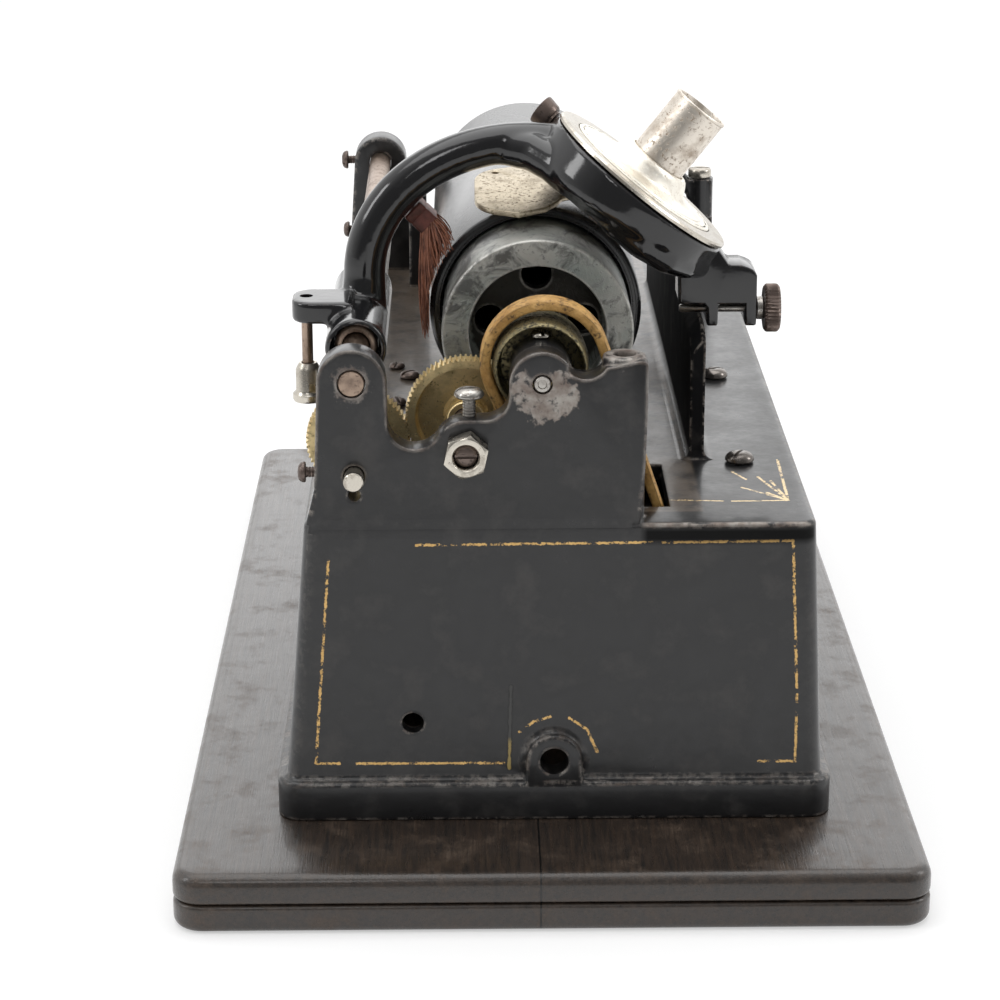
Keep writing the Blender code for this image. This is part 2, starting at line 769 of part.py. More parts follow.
def base_screw_places():
    """Where the two screws rise through the plinth into the body's end walls."""
    inset = BODY_WALL + FOOT_BOSS_RADIUS - FOOT_BOSS_SINK
    middle = (BODY_LEFT_FOOT + BODY_RIGHT_FOOT) / 2
    return [(middle, inset), (middle, BODY_LENGTH - inset)]


def make_plinth(datum):
    """The two boards and the two screws that hold the body down."""
    split = BOARD_TOP_Z - TOP_BOARD
    bottom = split - FIT_GAP - LOWER_BOARD
    top = board("base_top_board", split, BOARD_TOP_Z, GROOVE_ROUND, TOP_BOARD_ROUND)
    lower = board("base_lower_board", bottom, split - FIT_GAP, LOWER_BOARD_ROUND, GROOVE_ROUND)
    shank_hole = BASE_SCREW_SHANK + FIT_GAP
    head_hole = BASE_SCREW_HEAD + FIT_GAP
    seat = bottom + BASE_SCREW_HEAD_HEIGHT + 2 * FIT_GAP
    for end, (x, y) in zip(("near", "far"), base_screw_places()):
        top = with_cut(top, drill_down(shank_hole, split - OVERRUN, BOARD_TOP_Z + OVERRUN, x, y))
        lower = with_cut(lower, drill_down(shank_hole, bottom - OVERRUN, split + OVERRUN, x, y),
                         drill_down(head_hole, bottom - OVERRUN, seat, x, y))
        screw = slotted_head(BASE_SCREW_HEAD, BASE_SCREW_HEAD_HEIGHT, BASE_SCREW_SHANK,
                             BODY_FOOT_Z + BASE_SCREW_RISE - seat, (0, 0, -1), (x, y, seat - FIT_GAP))
        handed(as_object(f"base_screw_{end}", screw), "steel", datum)
    handed(top, "black_wood", datum)
    handed(lower, "black_wood", datum)


# Iron body

def body_levels(inset, levels):
    """Plan sections of the body at heights given as (height, reach, foot share)."""
    sections = []
    for z, reach, share in levels:
        left = BODY_LEFT_TOP + (BODY_LEFT_FOOT - BODY_LEFT_TOP) * share + inset - reach
        right = BODY_RIGHT_TOP + (BODY_RIGHT_FOOT - BODY_RIGHT_TOP) * share - inset + reach
        plan = rounded_rectangle(left, right, inset - reach - BODY_STEP, BODY_LENGTH - inset + reach,
                                 BODY_CORNER)
        sections.append([(x, y, z) for x, y in plan])
    return sections


def centre_and_saddle(inset):
    """The wall's top from the centre boss through the dip at its right."""
    boss = arc((0, 0), CENTRE_BOSS_RADIUS - inset, 180, CENTRE_BOSS_END_DEG, 9)
    dip = arc((SADDLE_X, SADDLE_RISE - inset), SADDLE_RADIUS, SADDLE_START_DEG, SADDLE_END_DEG, 7)
    return boss + dip


def wall_outline():
    """The near wall's front view: three bosses, the dips between them and the flared left foot."""
    rod = (ROD_X, ROD_RISE)
    nut = (INTERMEDIATE_X, -INTERMEDIATE_DROP)
    foot_x = BODY_LEFT_TOP + BODY_STEP
    points = [(foot_x, DECK_UNDER_Z + BODY_EDGE_ROUND), (foot_x, DECK_Z), (SHOULDER_X, -SHOULDER_DROP)]
    points += arc(rod, LEFT_BOSS_RADIUS, 180, 0, 12)
    points += arc((VALLEY_X, -VALLEY_DROP), VALLEY_RADIUS, 180, VALLEY_END_DEG)
    points += arc(nut, NUT_BOSS_RADIUS, NUT_BOSS_START_DEG, 90, 4)
    rise_radius = (abs(INTERMEDIATE_X) - NUT_BOSS_FLAT - CENTRE_BOSS_RADIUS)
    nut_top = -INTERMEDIATE_DROP + NUT_BOSS_RADIUS
    points += arc((INTERMEDIATE_X + NUT_BOSS_FLAT, nut_top + rise_radius), rise_radius, 270, 360, 5)
    points += centre_and_saddle(0)
    points += [(WALL_RIGHT, WALL_RIGHT_RISE), (WALL_RIGHT, -WALL_THICK)]
    points += [(WALL_RIGHT_FOOT, DECK_Z), (WALL_RIGHT_FOOT, DECK_UNDER_Z + BODY_EDGE_ROUND)]
    return points


def thick_wall_outline():
    """The part of the near wall, from the centre boss to the right edge, that is cast deeper."""
    points = [(-CENTRE_BOSS_RADIUS, -RIGHT_WALL_DROP)]
    points += centre_and_saddle(WALL_BEVEL)
    edge = WALL_RIGHT - WALL_BEVEL
    return points + [(edge, WALL_RIGHT_RISE - WALL_BEVEL), (edge, -RIGHT_WALL_DROP)]


def upright_outline():
    """The far upright's view: a round top on a plain column."""
    points = arc((ROD_X, ROD_RISE), LEFT_BOSS_RADIUS, 180, 0, 12)
    foot = DECK_UNDER_Z + BODY_EDGE_ROUND
    return points + [(ROD_X + LEFT_BOSS_RADIUS, foot), (ROD_X - LEFT_BOSS_RADIUS, foot)]


def rail_shape():
    """The straight edge along the deck, its top sloped and its near end dropped to a nose."""
    right = RAIL_LEFT + RAIL_THICK
    foot = DECK_Z - FIT_GAP
    low = RAIL_TOP_RIGHT - RAIL_TOP_SLOPE
    corner = (right + RAIL_FOOT_FILLET, DECK_Z + RAIL_FOOT_FILLET)
    section = [(RAIL_LEFT, foot), (right + RAIL_FOOT_FILLET, foot)]
    section += arc(corner, RAIL_FOOT_FILLET, 270, 180, 3)
    ring = section + [(right, RAIL_TOP_RIGHT), (RAIL_LEFT, low)]
    nose = section + [(right, RAIL_TOP_RIGHT - RAIL_NOSE_DROP), (RAIL_LEFT, low - RAIL_NOSE_DROP)]
    places = [(RAIL_NEAR, nose), (RAIL_NEAR + RAIL_NOSE_RUN, ring), (RAIL_FAR, ring)]
    return lofted([[(x, y, z) for x, z in points] for y, points in places])


def belt_edge_x(z):
    """How far right the belt's right run reaches at a height."""
    loop = belt_loop(BELT_THICK)
    upper, lower = loop[0], loop[-1]
    share = (upper[1] - z) / (upper[1] - lower[1])
    return upper[0] + (lower[0] - upper[0]) * share


def make_body(datum):
    """The casting: hollow box, deck, near wall, bearing boss, far upright, rail and posts."""
    shell = lofted(body_levels(0, [
        (BODY_FOOT_Z, FLANGE_REACH, 1), (FLANGE_TOP_Z - FLANGE_ROUND, FLANGE_REACH, 1),
        (FLANGE_TOP_Z, FLANGE_REACH - FLANGE_ROUND, 1), (FLANGE_TOP_Z + FLANGE_ROUND, 0, 1),
        (DECK_Z - BODY_EDGE_ROUND, 0, 0), (DECK_Z, -BODY_EDGE_ROUND, 0)]))
    body = as_object("body_casting", shell)
    hollow = lofted(body_levels(BODY_WALL, [(BODY_FOOT_Z - OVERRUN, 0, 1), (FLANGE_TOP_Z, 0, 1),
                                            (DECK_UNDER_Z, 0, 0)]))
    body = with_cut(body, hollow)
    posts = []
    for x, y in base_screw_places():
        posts.append(drill_down(FOOT_BOSS_RADIUS, BODY_FOOT_Z, BODY_FOOT_Z + FOOT_BOSS_HEIGHT, x, y))
    body = with_added(body, joined(posts))
    cable_z = BOARD_TOP_Z + CABLE_HOLE_HEIGHT
    body = with_added(
        body, slab(wall_outline(), 0, WALL_THICK),
        slab(thick_wall_outline(), WALL_THICK - BODY_STEP, RIGHT_WALL_THICK),
        drill(BEARING_BOSS_RADIUS, WALL_THICK - BODY_STEP, BEARING_BOSS_REACH, 0, 0, HALF_ROUND),
        drill_down(RIGHT_PAD_RADIUS, DECK_Z - FIT_GAP, RIGHT_PAD_RISE, RIGHT_PAD_X, RIGHT_PAD_Y, HALF_ROUND),
        slab(upright_outline(), FAR_UPRIGHT_Y, FAR_UPRIGHT_Y + FAR_UPRIGHT_THICK),
        rail_shape(),
        drill_down(GATE_HUB_RADIUS, DECK_Z - FIT_GAP, GATE_HUB_BOTTOM - FIT_GAP, GATE_HINGE_X, GATE_Y),
        block((STOP_POST_X - STOP_POST_HALF, STOP_POST_Y - STOP_POST_HALF, DECK_Z - FIT_GAP),
              (STOP_POST_X + STOP_POST_HALF, STOP_POST_Y + STOP_POST_HALF, GATE_BAR_HALF)),
        drill(CABLE_BOSS_RADIUS, -FLANGE_REACH - BODY_STEP, BODY_WALL / 2, CABLE_HOLE_X, cable_z, HALF_ROUND))
    pit_right = belt_edge_x(DECK_Z - DECK_THICK) + PIT_SIDE_GAP
    body = with_cut(
        body, block((PIT_LEFT, PIT_NEAR, DECK_UNDER_Z - OVERRUN), (pit_right, PIT_FAR, DECK_Z + FIT_GAP)),
        drill(CABLE_HOLE_RADIUS, -FLANGE_REACH - OVERRUN, BODY_WALL + OVERRUN, CABLE_HOLE_X, cable_z),
        drill(OIL_HOLE_RADIUS, -OVERRUN, BODY_WALL + OVERRUN, OIL_HOLE_X, BOARD_TOP_Z + OIL_HOLE_HEIGHT),
        drill(SHAFT_RADIUS + SHAFT_WINDOW_GAP, -OVERRUN, BUSH_FRONT + OVERRUN, 0, 0),
        drill(BUSH_RADIUS + FIT_GAP, BUSH_FRONT, BEARING_BOSS_REACH + OVERRUN, 0, 0),
        drill(ROD_RADIUS + FIT_GAP, -OVERRUN, WALL_THICK + OVERRUN, ROD_X, ROD_RISE, HALF_ROUND),
        drill(ROD_RADIUS + FIT_GAP, FAR_UPRIGHT_Y - OVERRUN, FAR_UPRIGHT_Y + FAR_UPRIGHT_THICK + OVERRUN,
              ROD_X, ROD_RISE, HALF_ROUND),
        drill(STUD_RADIUS + FIT_GAP, -OVERRUN, WALL_THICK + OVERRUN, INTERMEDIATE_X, -INTERMEDIATE_DROP),
        drill(PIN_RADIUS + FIT_GAP, -OVERRUN, WALL_THICK + OVERRUN, FEED_X, FEED_Z),
        drill(PIN_SLOT_RADIUS, -OVERRUN, WALL_THICK + OVERRUN, FEED_X, FEED_Z - PIN_SLOT_DROP, TINY_ROUND),
        drill(PIN_RADIUS + FIT_GAP, FAR_UPRIGHT_Y - OVERRUN, FAR_UPRIGHT_Y + FAR_UPRIGHT_THICK + OVERRUN,
              FEED_X, FEED_Z))
    nut_top = -INTERMEDIATE_DROP + NUT_BOSS_RADIUS
    holes = [drill_down(RIGHT_PAD_HOLE, RIGHT_PAD_RISE - RIGHT_PAD_DEPTH, RIGHT_PAD_RISE + OVERRUN,
                        RIGHT_PAD_X, RIGHT_PAD_Y),
             drill_down(LOCK_SCREW_SHANK_RADIUS + FIT_GAP, nut_top - LOCK_SCREW_DEPTH - FIT_GAP,
                        nut_top + OVERRUN, LOCK_SCREW_X, LOCK_SCREW_Y, TINY_ROUND),
             drill_down(GATE_PIN_RADIUS + FIT_GAP, GATE_HUB_BOTTOM - GATE_PIN_DEPTH - FIT_GAP,
                        GATE_HUB_BOTTOM + OVERRUN, GATE_HINGE_X, GATE_Y)]
    for y in DECK_SCREW_YS:
        holes.append(drill_down(DECK_SCREW_SHANK + FIT_GAP, DECK_UNDER_Z - OVERRUN, DECK_Z + OVERRUN,
                                DECK_SCREW_X, y))
    for x, y in BED_SCREW_PLACES:
        holes.append(drill_down(BED_SCREW_SHANK + FIT_GAP, DECK_Z - BED_SCREW_DEPTH - FIT_GAP,
                                DECK_Z + OVERRUN, x, y, TINY_ROUND))
    for x, y in base_screw_places():
        holes.append(drill_down(BASE_SCREW_SHANK + FIT_GAP, BODY_FOOT_Z - OVERRUN,
                                BODY_FOOT_Z + BASE_SCREW_RISE + FIT_GAP, x, y))
    for start, end, y, z in side_screw_bores():
        bore = turned([(SIDE_SCREW_SHANK_RADIUS + FIT_GAP, start), (SIDE_SCREW_SHANK_RADIUS + FIT_GAP, end)],
                      TINY_ROUND)
        holes.append(placed(bore, toward((1, 0, 0), (0, y, z))))
    body = with_cut(body, *holes)
    handed(body, "black_japan", datum)


def left_face_x(z):
    """The near wall's left edge at a height between the rod and the shoulder."""
    share = (ROD_RISE - z) / (ROD_RISE + SHOULDER_DROP)
    upper = ROD_X - LEFT_BOSS_RADIUS
    return upper + (SHOULDER_X - upper) * share


def side_screw_bores():
    """Start and end along X, then Y and Z, of the three holes in the left faces."""
    far_left = ROD_X - LEFT_BOSS_RADIUS
    near_left = left_face_x(FEED_Z)
    far_y = FAR_UPRIGHT_Y + FAR_UPRIGHT_THICK / 2
    reach = SIDE_SCREW_DEPTH + FIT_GAP
    return [(near_left - OVERRUN, near_left + reach, WALL_THICK / 2, FEED_Z),
            (far_left - OVERRUN, far_left + reach, far_y, FEED_Z),
            (far_left - OVERRUN, far_left + reach, far_y, ROD_RISE)]


def make_side_screws(datum):
    """Two slotted screws on the left faces that lock the feed screw's centre pins."""
    for name, (start, end, y, z) in zip(("near", "far"), side_screw_bores()):
        face = start + OVERRUN
        screw = slotted_head(SIDE_SCREW_HEAD_RADIUS, SIDE_SCREW_HEAD, SIDE_SCREW_SHANK_RADIUS,
                             SIDE_SCREW_DEPTH + SIDE_SCREW_STAND, (-1, 0, 0), (face - SIDE_SCREW_STAND, y, z))
        handed(as_object(f"side_lock_screw_{name}", screw), "brown_steel", datum)


def make_rod_thumb_screw(datum):
    """The thumb screw at the far upright that locks the back rod."""
    start, end, y, z = side_screw_bores()[2]
    face = start + OVERRUN
    axis = holder("rod_thumb_screw_axis", (face, y, z), datum)
    neck = SIDE_SCREW_SHANK_RADIUS
    head = THUMB_HEAD_RADIUS
    profile = [(neck, -SIDE_SCREW_DEPTH), (neck, THUMB_STAND)]
    for out_share, along_share in THUMB_HEAD_SHARES:
        profile.append((head * out_share, THUMB_STAND + THUMB_HEAD * along_share))
    screw = placed(turned(profile, SMALL_ROUND), toward((-1, 0, 0), (face, y, z)))
    handed(as_object("rod_thumb_screw", screw), "brown_steel", axis)


def make_fixed_fittings(datum):
    """The back rod, bush, screws on the boss and deck, nut and lock screw."""
    rod_end = FAR_UPRIGHT_Y + FAR_UPRIGHT_THICK
    edge = SLEEVE_CHAMFER / 2
    rod = turned([(ROD_RADIUS - edge, 0), (ROD_RADIUS, edge), (ROD_RADIUS, rod_end - edge),
                  (ROD_RADIUS - edge, rod_end)], HALF_ROUND)
    handed(as_object("back_rod", shifted(rod, ROD_X, 0, ROD_RISE)), "coppered_steel", datum)
    near = BUSH_FRONT + FIT_GAP
    inner = SHAFT_RADIUS + FIT_GAP
    bush = turned([(inner, near), (BUSH_RADIUS, near), (BUSH_RADIUS, BEARING_BOSS_REACH),
                   (inner, BEARING_BOSS_REACH)], HALF_ROUND, True)
    handed(as_object("near_bearing_bush", bush), "old_brass", datum)
    oiler = slotted_head(BOSS_SCREW_RADIUS, BOSS_SCREW_HEIGHT, BOSS_SCREW_SHANK, 0, (0, 0, 1),
                         (0, BOSS_SCREW_Y, BEARING_BOSS_RADIUS + FIT_GAP))
    handed(as_object("bearing_oil_screw", oiler), "steel", datum)
    for end, y in zip(("near", "far"), DECK_SCREW_YS):
        depth = DECK_THICK + MOTOR_LUG / 2
        screw = slotted_head(DECK_SCREW_RADIUS, DECK_SCREW_HEIGHT, DECK_SCREW_SHANK, depth, (0, 0, 1),
                             (DECK_SCREW_X, y, DECK_Z + FIT_GAP))
        handed(as_object(f"motor_hanger_screw_{end}", screw), "brown_steel", datum)
    for number, (x, y) in enumerate(BED_SCREW_PLACES, 1):
        screw = slotted_head(BED_SCREW_RADIUS, BED_SCREW_HEIGHT, BED_SCREW_SHANK, BED_SCREW_DEPTH, (0, 0, 1),
                             (x, y, DECK_Z + FIT_GAP))
        handed(as_object(f"bed_screw_{number}", screw), "brown_steel", datum)
    make_stud(datum)


def make_stud(datum):
    """The intermediate gear's stud through the near wall, its hexagon nut and the lock screw above."""
    collar_near = WALL_THICK + FIT_GAP
    collar_far = collar_near + STUD_COLLAR
    stud = turned([(STUD_RADIUS - NUT_CHAMFER, -STUD_FRONT), (STUD_RADIUS, -STUD_FRONT + NUT_CHAMFER),
                   (STUD_RADIUS, collar_near), (STUD_COLLAR_RADIUS, collar_near),
                   (STUD_COLLAR_RADIUS, collar_far), (STUD_SEAT_RADIUS, collar_far),
                   (STUD_SEAT_RADIUS, STUD_REACH)], HALF_ROUND)
    stud = shifted(stud, INTERMEDIATE_X, 0, -INTERMEDIATE_DROP)
    handed(as_object("intermediate_stud", stud), "steel", datum)
    corner = NUT_FLATS / 2 / math.cos(math.pi / 6)
    front = -FIT_GAP - NUT_HEIGHT
    bore = STUD_RADIUS + FIT_GAP
    nut = as_object("stud_lock_nut", turned([(corner, front), (corner, -FIT_GAP)], 6))
    bevel = turned([(corner - NUT_CHAMFER, front - OVERRUN), (corner - NUT_CHAMFER, front),
                    (corner + NUT_CHAMFER, front + NUT_CHAMFER), (corner + NUT_CHAMFER, OVERRUN)], HALF_ROUND)
    nut = combined(nut, bevel, "INTERSECT")
    nut = with_cut(nut, turned([(bore, front - OVERRUN), (bore, OVERRUN)], SMALL_ROUND))
    nut.data.transform(Matrix.Translation((INTERMEDIATE_X, 0, -INTERMEDIATE_DROP))
                       @ Matrix.Rotation(math.radians(NUT_TURN_DEG), 4, "Y"))
    handed(nut, "nickel", datum)
    nut_top = -INTERMEDIATE_DROP + NUT_BOSS_RADIUS
    screw = slotted_head(LOCK_SCREW_HEAD_RADIUS, LOCK_SCREW_HEAD, LOCK_SCREW_SHANK_RADIUS,
                         LOCK_SCREW_STAND + LOCK_SCREW_DEPTH, (0, 0, 1),
                         (LOCK_SCREW_X, LOCK_SCREW_Y, nut_top + LOCK_SCREW_STAND))
    handed(as_object("stud_lock_screw", screw), "steel", datum)


# Mandrel group

def make_mandrel(datum):
    """Everything that turns with the mandrel: shaft, sleeve, wax, pulley and pinion."""
    axis = holder("mandrel_axis", (0, 0, 0), datum)
    edge = SLEEVE_CHAMFER / 2
    shaft = turned([(SHAFT_RADIUS - edge, edge), (SHAFT_RADIUS, 2 * edge), (SHAFT_RADIUS, SHAFT_BODY_START),
                    (SHAFT_BODY_RADIUS, SHAFT_BODY_START), (SHAFT_BODY_RADIUS, SHAFT_BODY_END),
                    (SHAFT_RADIUS, SHAFT_BODY_END), (SHAFT_RADIUS, SHAFT_LENGTH)], HALF_ROUND)
    handed(as_object("mandrel_shaft", shaft), "steel", axis)
    make_mandrel_sleeve(axis)
    near_bore = mandrel_radius(WAX_NEAR) + FIT_GAP
    far_bore = mandrel_radius(WAX_FAR) + FIT_GAP
    wax = turned([(near_bore + WAX_CHAMFER / 2, WAX_NEAR), (WAX_RADIUS - WAX_CHAMFER, WAX_NEAR),
                  (WAX_RADIUS, WAX_NEAR + WAX_CHAMFER), (WAX_RADIUS, WAX_FAR - WAX_CHAMFER),
                  (WAX_RADIUS - WAX_CHAMFER, WAX_FAR), (far_bore, WAX_FAR),
                  (near_bore, WAX_NEAR + WAX_CHAMFER)], ROUND, True)
    handed(as_object("wax_cylinder", wax), "black_wax", axis)
    make_drive_pulley(axis)
    bore = SHAFT_BODY_RADIUS + FIT_GAP
    pinion = gear(MANDREL_TEETH, bore, 0)
    handed(as_object("mandrel_pinion", pinion), "old_brass", axis)


def mandrel_radius(y):
    """The mandrel's taper."""
    share = (y - MANDREL_NEAR) / (MANDREL_FAR - MANDREL_NEAR)
    return MANDREL_NEAR_RADIUS + (MANDREL_FAR_RADIUS - MANDREL_NEAR_RADIUS) * share


def make_mandrel_sleeve(axis):
    """The hollow tapered mandrel with a web and hub at each end."""
    bore = SHAFT_BODY_RADIUS + FIT_GAP
    web_far = MANDREL_WEB_Y + MANDREL_WEB
    end_web = MANDREL_FAR - MANDREL_WEB
    far_inner = MANDREL_INNER_RADIUS - (MANDREL_NEAR_RADIUS - MANDREL_FAR_RADIUS)
    profile = [
        (MANDREL_MOUTH_RADIUS + MANDREL_CHAMFER, MANDREL_NEAR),
        (MANDREL_NEAR_RADIUS - MANDREL_CHAMFER, MANDREL_NEAR),
        (MANDREL_NEAR_RADIUS, MANDREL_NEAR + MANDREL_CHAMFER),
        (MANDREL_FAR_RADIUS, MANDREL_FAR - MANDREL_CHAMFER),
        (MANDREL_FAR_RADIUS - MANDREL_CHAMFER, MANDREL_FAR),
        (bore, MANDREL_FAR), (bore, end_web), (far_inner, end_web),
        (MANDREL_INNER_RADIUS, web_far), (bore, web_far),
        (bore, MANDREL_WEB_Y - MANDREL_WEB), (MANDREL_HUB_RADIUS, MANDREL_WEB_Y - MANDREL_WEB),
        (MANDREL_HUB_RADIUS, MANDREL_WEB_Y), (MANDREL_INNER_RADIUS, MANDREL_WEB_Y),
        (MANDREL_INNER_RADIUS, MANDREL_NEAR + MANDREL_LIP),
        (MANDREL_MOUTH_RADIUS, MANDREL_NEAR + MANDREL_CHAMFER)]
    sleeve = as_object("mandrel", turned(profile, ROUND, True))
    holes = []
    for step in range(WEB_HOLE_COUNT):
        angle = math.pi / 2 + 2 * math.pi * step / WEB_HOLE_COUNT
        x = WEB_HOLE_CIRCLE * math.cos(angle)
        z = WEB_HOLE_CIRCLE * math.sin(angle)
        holes.append(drill(WEB_HOLE_RADIUS, MANDREL_WEB_Y - OVERRUN, web_far + OVERRUN, x, z, TINY_ROUND))
    handed(with_cut(sleeve, joined(holes)), "zinc", axis)


def make_drive_pulley(axis):
    """The brass cup that the belt runs on: its hollow front goes round the bearing boss."""
    bore = SHAFT_BODY_RADIUS + FIT_GAP
    low = PULLEY_RADIUS - PULLEY_CROWN
    middle = (PULLEY_NEAR + PULLEY_FAR) / 2
    pulley = turned([(PULLEY_CUP_RADIUS, PULLEY_NEAR), (low - PULLEY_LIP, PULLEY_NEAR),
                     (low, PULLEY_NEAR + PULLEY_LIP), (PULLEY_RADIUS, middle), (low, PULLEY_FAR - PULLEY_LIP),
                     (low - PULLEY_LIP, PULLEY_FAR), (bore, PULLEY_FAR), (bore, PULLEY_WEB_Y),
                     (PULLEY_CUP_RADIUS - PULLEY_LIP, PULLEY_WEB_Y)], ROUND, True)
    handed(as_object("drive_pulley", pulley), "old_brass", axis)


# Gears

def gear(teeth, bore, first_tooth, hub_radius=0):
    """A spur gear with fine pointed teeth, one of them centred on the angle given."""
    pitch = GEAR_MODULE * teeth / 2
    root = pitch - GEAR_MODULE * TOOTH_ROOT_SHARE
    tip = pitch + GEAR_MODULE * TOOTH_TIP_SHARE
    step = 2 * math.pi / teeth
    outline = []
    for tooth in range(teeth):
        middle = first_tooth + tooth * step
        for radius, offset in ((root, -TOOTH_WIDTH_SHARE / 2), (tip, 0), (root, TOOTH_WIDTH_SHARE / 2)):
            angle = middle + offset * step
            outline.append((radius * math.cos(angle), radius * math.sin(angle)))
    far = GEAR_NEAR + GEAR_WIDTH
    wheel = as_object("wheel", slab(outline, GEAR_NEAR, far))
    if hub_radius:
        start = GEAR_NEAR - OVERRUN
        end = far - GEAR_WEB
        rim = root - GEAR_RIM
        dish = turned([(hub_radius, start), (rim, start), (rim, end), (hub_radius, end)], HALF_ROUND, True)
        hub = turned([(hub_radius, GEAR_NEAR - GEAR_HUB_REACH), (hub_radius, far - FIT_GAP)], HALF_ROUND)
        wheel = with_added(with_cut(wheel, dish), hub)
    near = GEAR_NEAR - GEAR_HUB_REACH
    wheel = with_cut(wheel, drill(bore, near - OVERRUN, far + OVERRUN, 0, 0, HALF_ROUND))
    shape = bmesh.new()
    shape.from_mesh(wheel.data)
    bpy.data.objects.remove(wheel)
    return shape


def mesh_angle(teeth, from_angle, driver_teeth, driver_first, driver_angle):
    """The angle of a gear's first tooth that puts a gap where the driver has a tooth."""
    driver_step = 2 * math.pi / driver_teeth
    phase = ((driver_angle - driver_first) / driver_step) % 1
    step = 2 * math.pi / teeth
    return from_angle + step * (1 / 2 + phase)


def make_feed_train(datum):
    """The intermediate gear, and the feed screw with its gear and its two centre pins."""
    inter = holder("intermediate_axis", (INTERMEDIATE_X, 0, -INTERMEDIATE_DROP), datum)
    to_inter = math.atan2(-INTERMEDIATE_DROP, INTERMEDIATE_X)
    inter_first = mesh_angle(INTERMEDIATE_TEETH, to_inter + math.pi, MANDREL_TEETH, 0, to_inter)
    wheel = gear(INTERMEDIATE_TEETH, STUD_SEAT_RADIUS + FIT_GAP, inter_first, GEAR_HUB_RADIUS)
    wheel = shifted(wheel, INTERMEDIATE_X, 0, -INTERMEDIATE_DROP)
    handed(as_object("intermediate_gear", wheel), "old_brass", inter)
    feed = holder("feed_axis", (FEED_X, 0, FEED_Z), datum)
    to_feed = math.atan2(FEED_Z + INTERMEDIATE_DROP, FEED_X - INTERMEDIATE_X)
    feed_first = mesh_angle(FEED_TEETH, to_feed + math.pi, INTERMEDIATE_TEETH, inter_first, to_feed)
    wheel = gear(FEED_TEETH, FEED_RADIUS - FEED_THREAD_DEPTH + FIT_GAP, feed_first)
    handed(as_object("feed_gear", shifted(wheel, FEED_X, 0, FEED_Z)), "old_brass", feed)
    seat = FEED_RADIUS - FEED_THREAD_DEPTH
    step = GEAR_NEAR - GEAR_HUB_REACH
    screw = turned([(FEED_JOURNAL_RADIUS, FEED_NEAR), (FEED_JOURNAL_RADIUS, step), (seat, step),
                    (seat, FEED_THREAD_NEAR), (FEED_RADIUS, FEED_THREAD_NEAR), (FEED_RADIUS, FEED_THREAD_FAR),
                    (FEED_JOURNAL_RADIUS, FEED_THREAD_FAR), (FEED_JOURNAL_RADIUS, FEED_FAR)], HALF_ROUND)
    screw = shifted(screw, FEED_X, 0, FEED_Z)
    handed(as_object("feed_screw", screw), "steel", feed)
    for end, tip, head in (("near", FEED_NEAR - FIT_GAP, -PIN_FRONT),
                           ("far", FEED_FAR + FIT_GAP, FAR_UPRIGHT_Y + FAR_UPRIGHT_THICK + PIN_FRONT / 2)):
        shoulder = tip + math.copysign(PIN_TIP, head - tip)
        rim = head - math.copysign(PIN_TIP_RADIUS, head - tip)
        pin = turned([(PIN_TIP_RADIUS, tip), (PIN_RADIUS, shoulder), (PIN_RADIUS, rim),
                      (PIN_RADIUS - PIN_TIP_RADIUS, head)], SMALL_ROUND)
        handed(as_object(f"feed_centre_pin_{end}", shifted(pin, FEED_X, 0, FEED_Z)), "nickel", datum)


# Belt

def belt_loop(offset):
    """The belt's loop as (x, z) points, offset outwards from its inner face."""
    upper = Vector((BELT_SHIFT_X, BELT_SHIFT_Z))
    lower = Vector((MOTOR_X, -MOTOR_DROP))
    upper_radius = BELT_BORE_RADIUS + offset
    lower_radius = MOTOR_PULLEY_RADIUS + FIT_GAP + offset
    along = lower - upper
    heading = math.atan2(along.y, along.x)
    lean = math.acos((upper_radius - lower_radius) / along.length)
    points = []
    for centre, radius, start, end in ((upper, upper_radius, heading + lean, heading - lean + 2 * math.pi),
                                       (lower, lower_radius, heading - lean, heading + lean)):
        for step in range(BELT_ARC_STEPS + 1):
            angle = start + (end - start) * step / BELT_ARC_STEPS
            points.append((centre.x + radius * math.cos(angle), centre.y + radius * math.sin(angle)))
    return points


def make_belt(datum):
    """The flat leather belt from the mandrel's pulley down to the motor's."""
    shape = bmesh.new()
    near = BELT_MID_Y - BELT_WIDTH / 2
    far = BELT_MID_Y + BELT_WIDTH / 2
    loops = [(belt_loop(0), near), (belt_loop(BELT_THICK), near), (belt_loop(BELT_THICK), far),
             (belt_loop(0), far)]
    rings = [[shape.verts.new((x, y, z)) for x, z in loop] for loop, y in loops]
    for index, ring in enumerate(rings):
        after_ring = rings[(index + 1) % len(rings)]
        for step in range(len(ring)):
            after = (step + 1) % len(ring)
            shape.faces.new((ring[step], ring[after], after_ring[after], after_ring[step]))
    bmesh.ops.recalc_face_normals(shape, faces=shape.faces)
    handed(as_object("drive_belt", shape), "tan_leather", datum)


# Carriage and arm

def arm_line():
    """The arm's centre line from the sleeve, up and over to the ring."""
    knee = Vector(ARM_KNEE)
    end = Vector(ARM_END)
    rise = knee + Vector((0, 0, ARM_RISE_HANDLE))
    reach = end + Vector((-ARM_END_HANDLE, 0, ARM_END_LIFT))
    points = [Vector(ARM_ROOT)]
    for step in range(ARM_STATIONS + 1):
        t = step / ARM_STATIONS
        weights = ((1 - t) ** 3, 3 * t * (1 - t) ** 2, 3 * t * t * (1 - t), t ** 3)
        points.append(sum((p * w for p, w in zip((knee, rise, reach, end), weights)), Vector()))
    return points


def head_place(depth=0):
    """The matrix of a shape turned about +Y that stands on the ring's top face."""
    return toward(HEAD_NORMAL, HEAD_CENTRE + HEAD_NORMAL * depth)


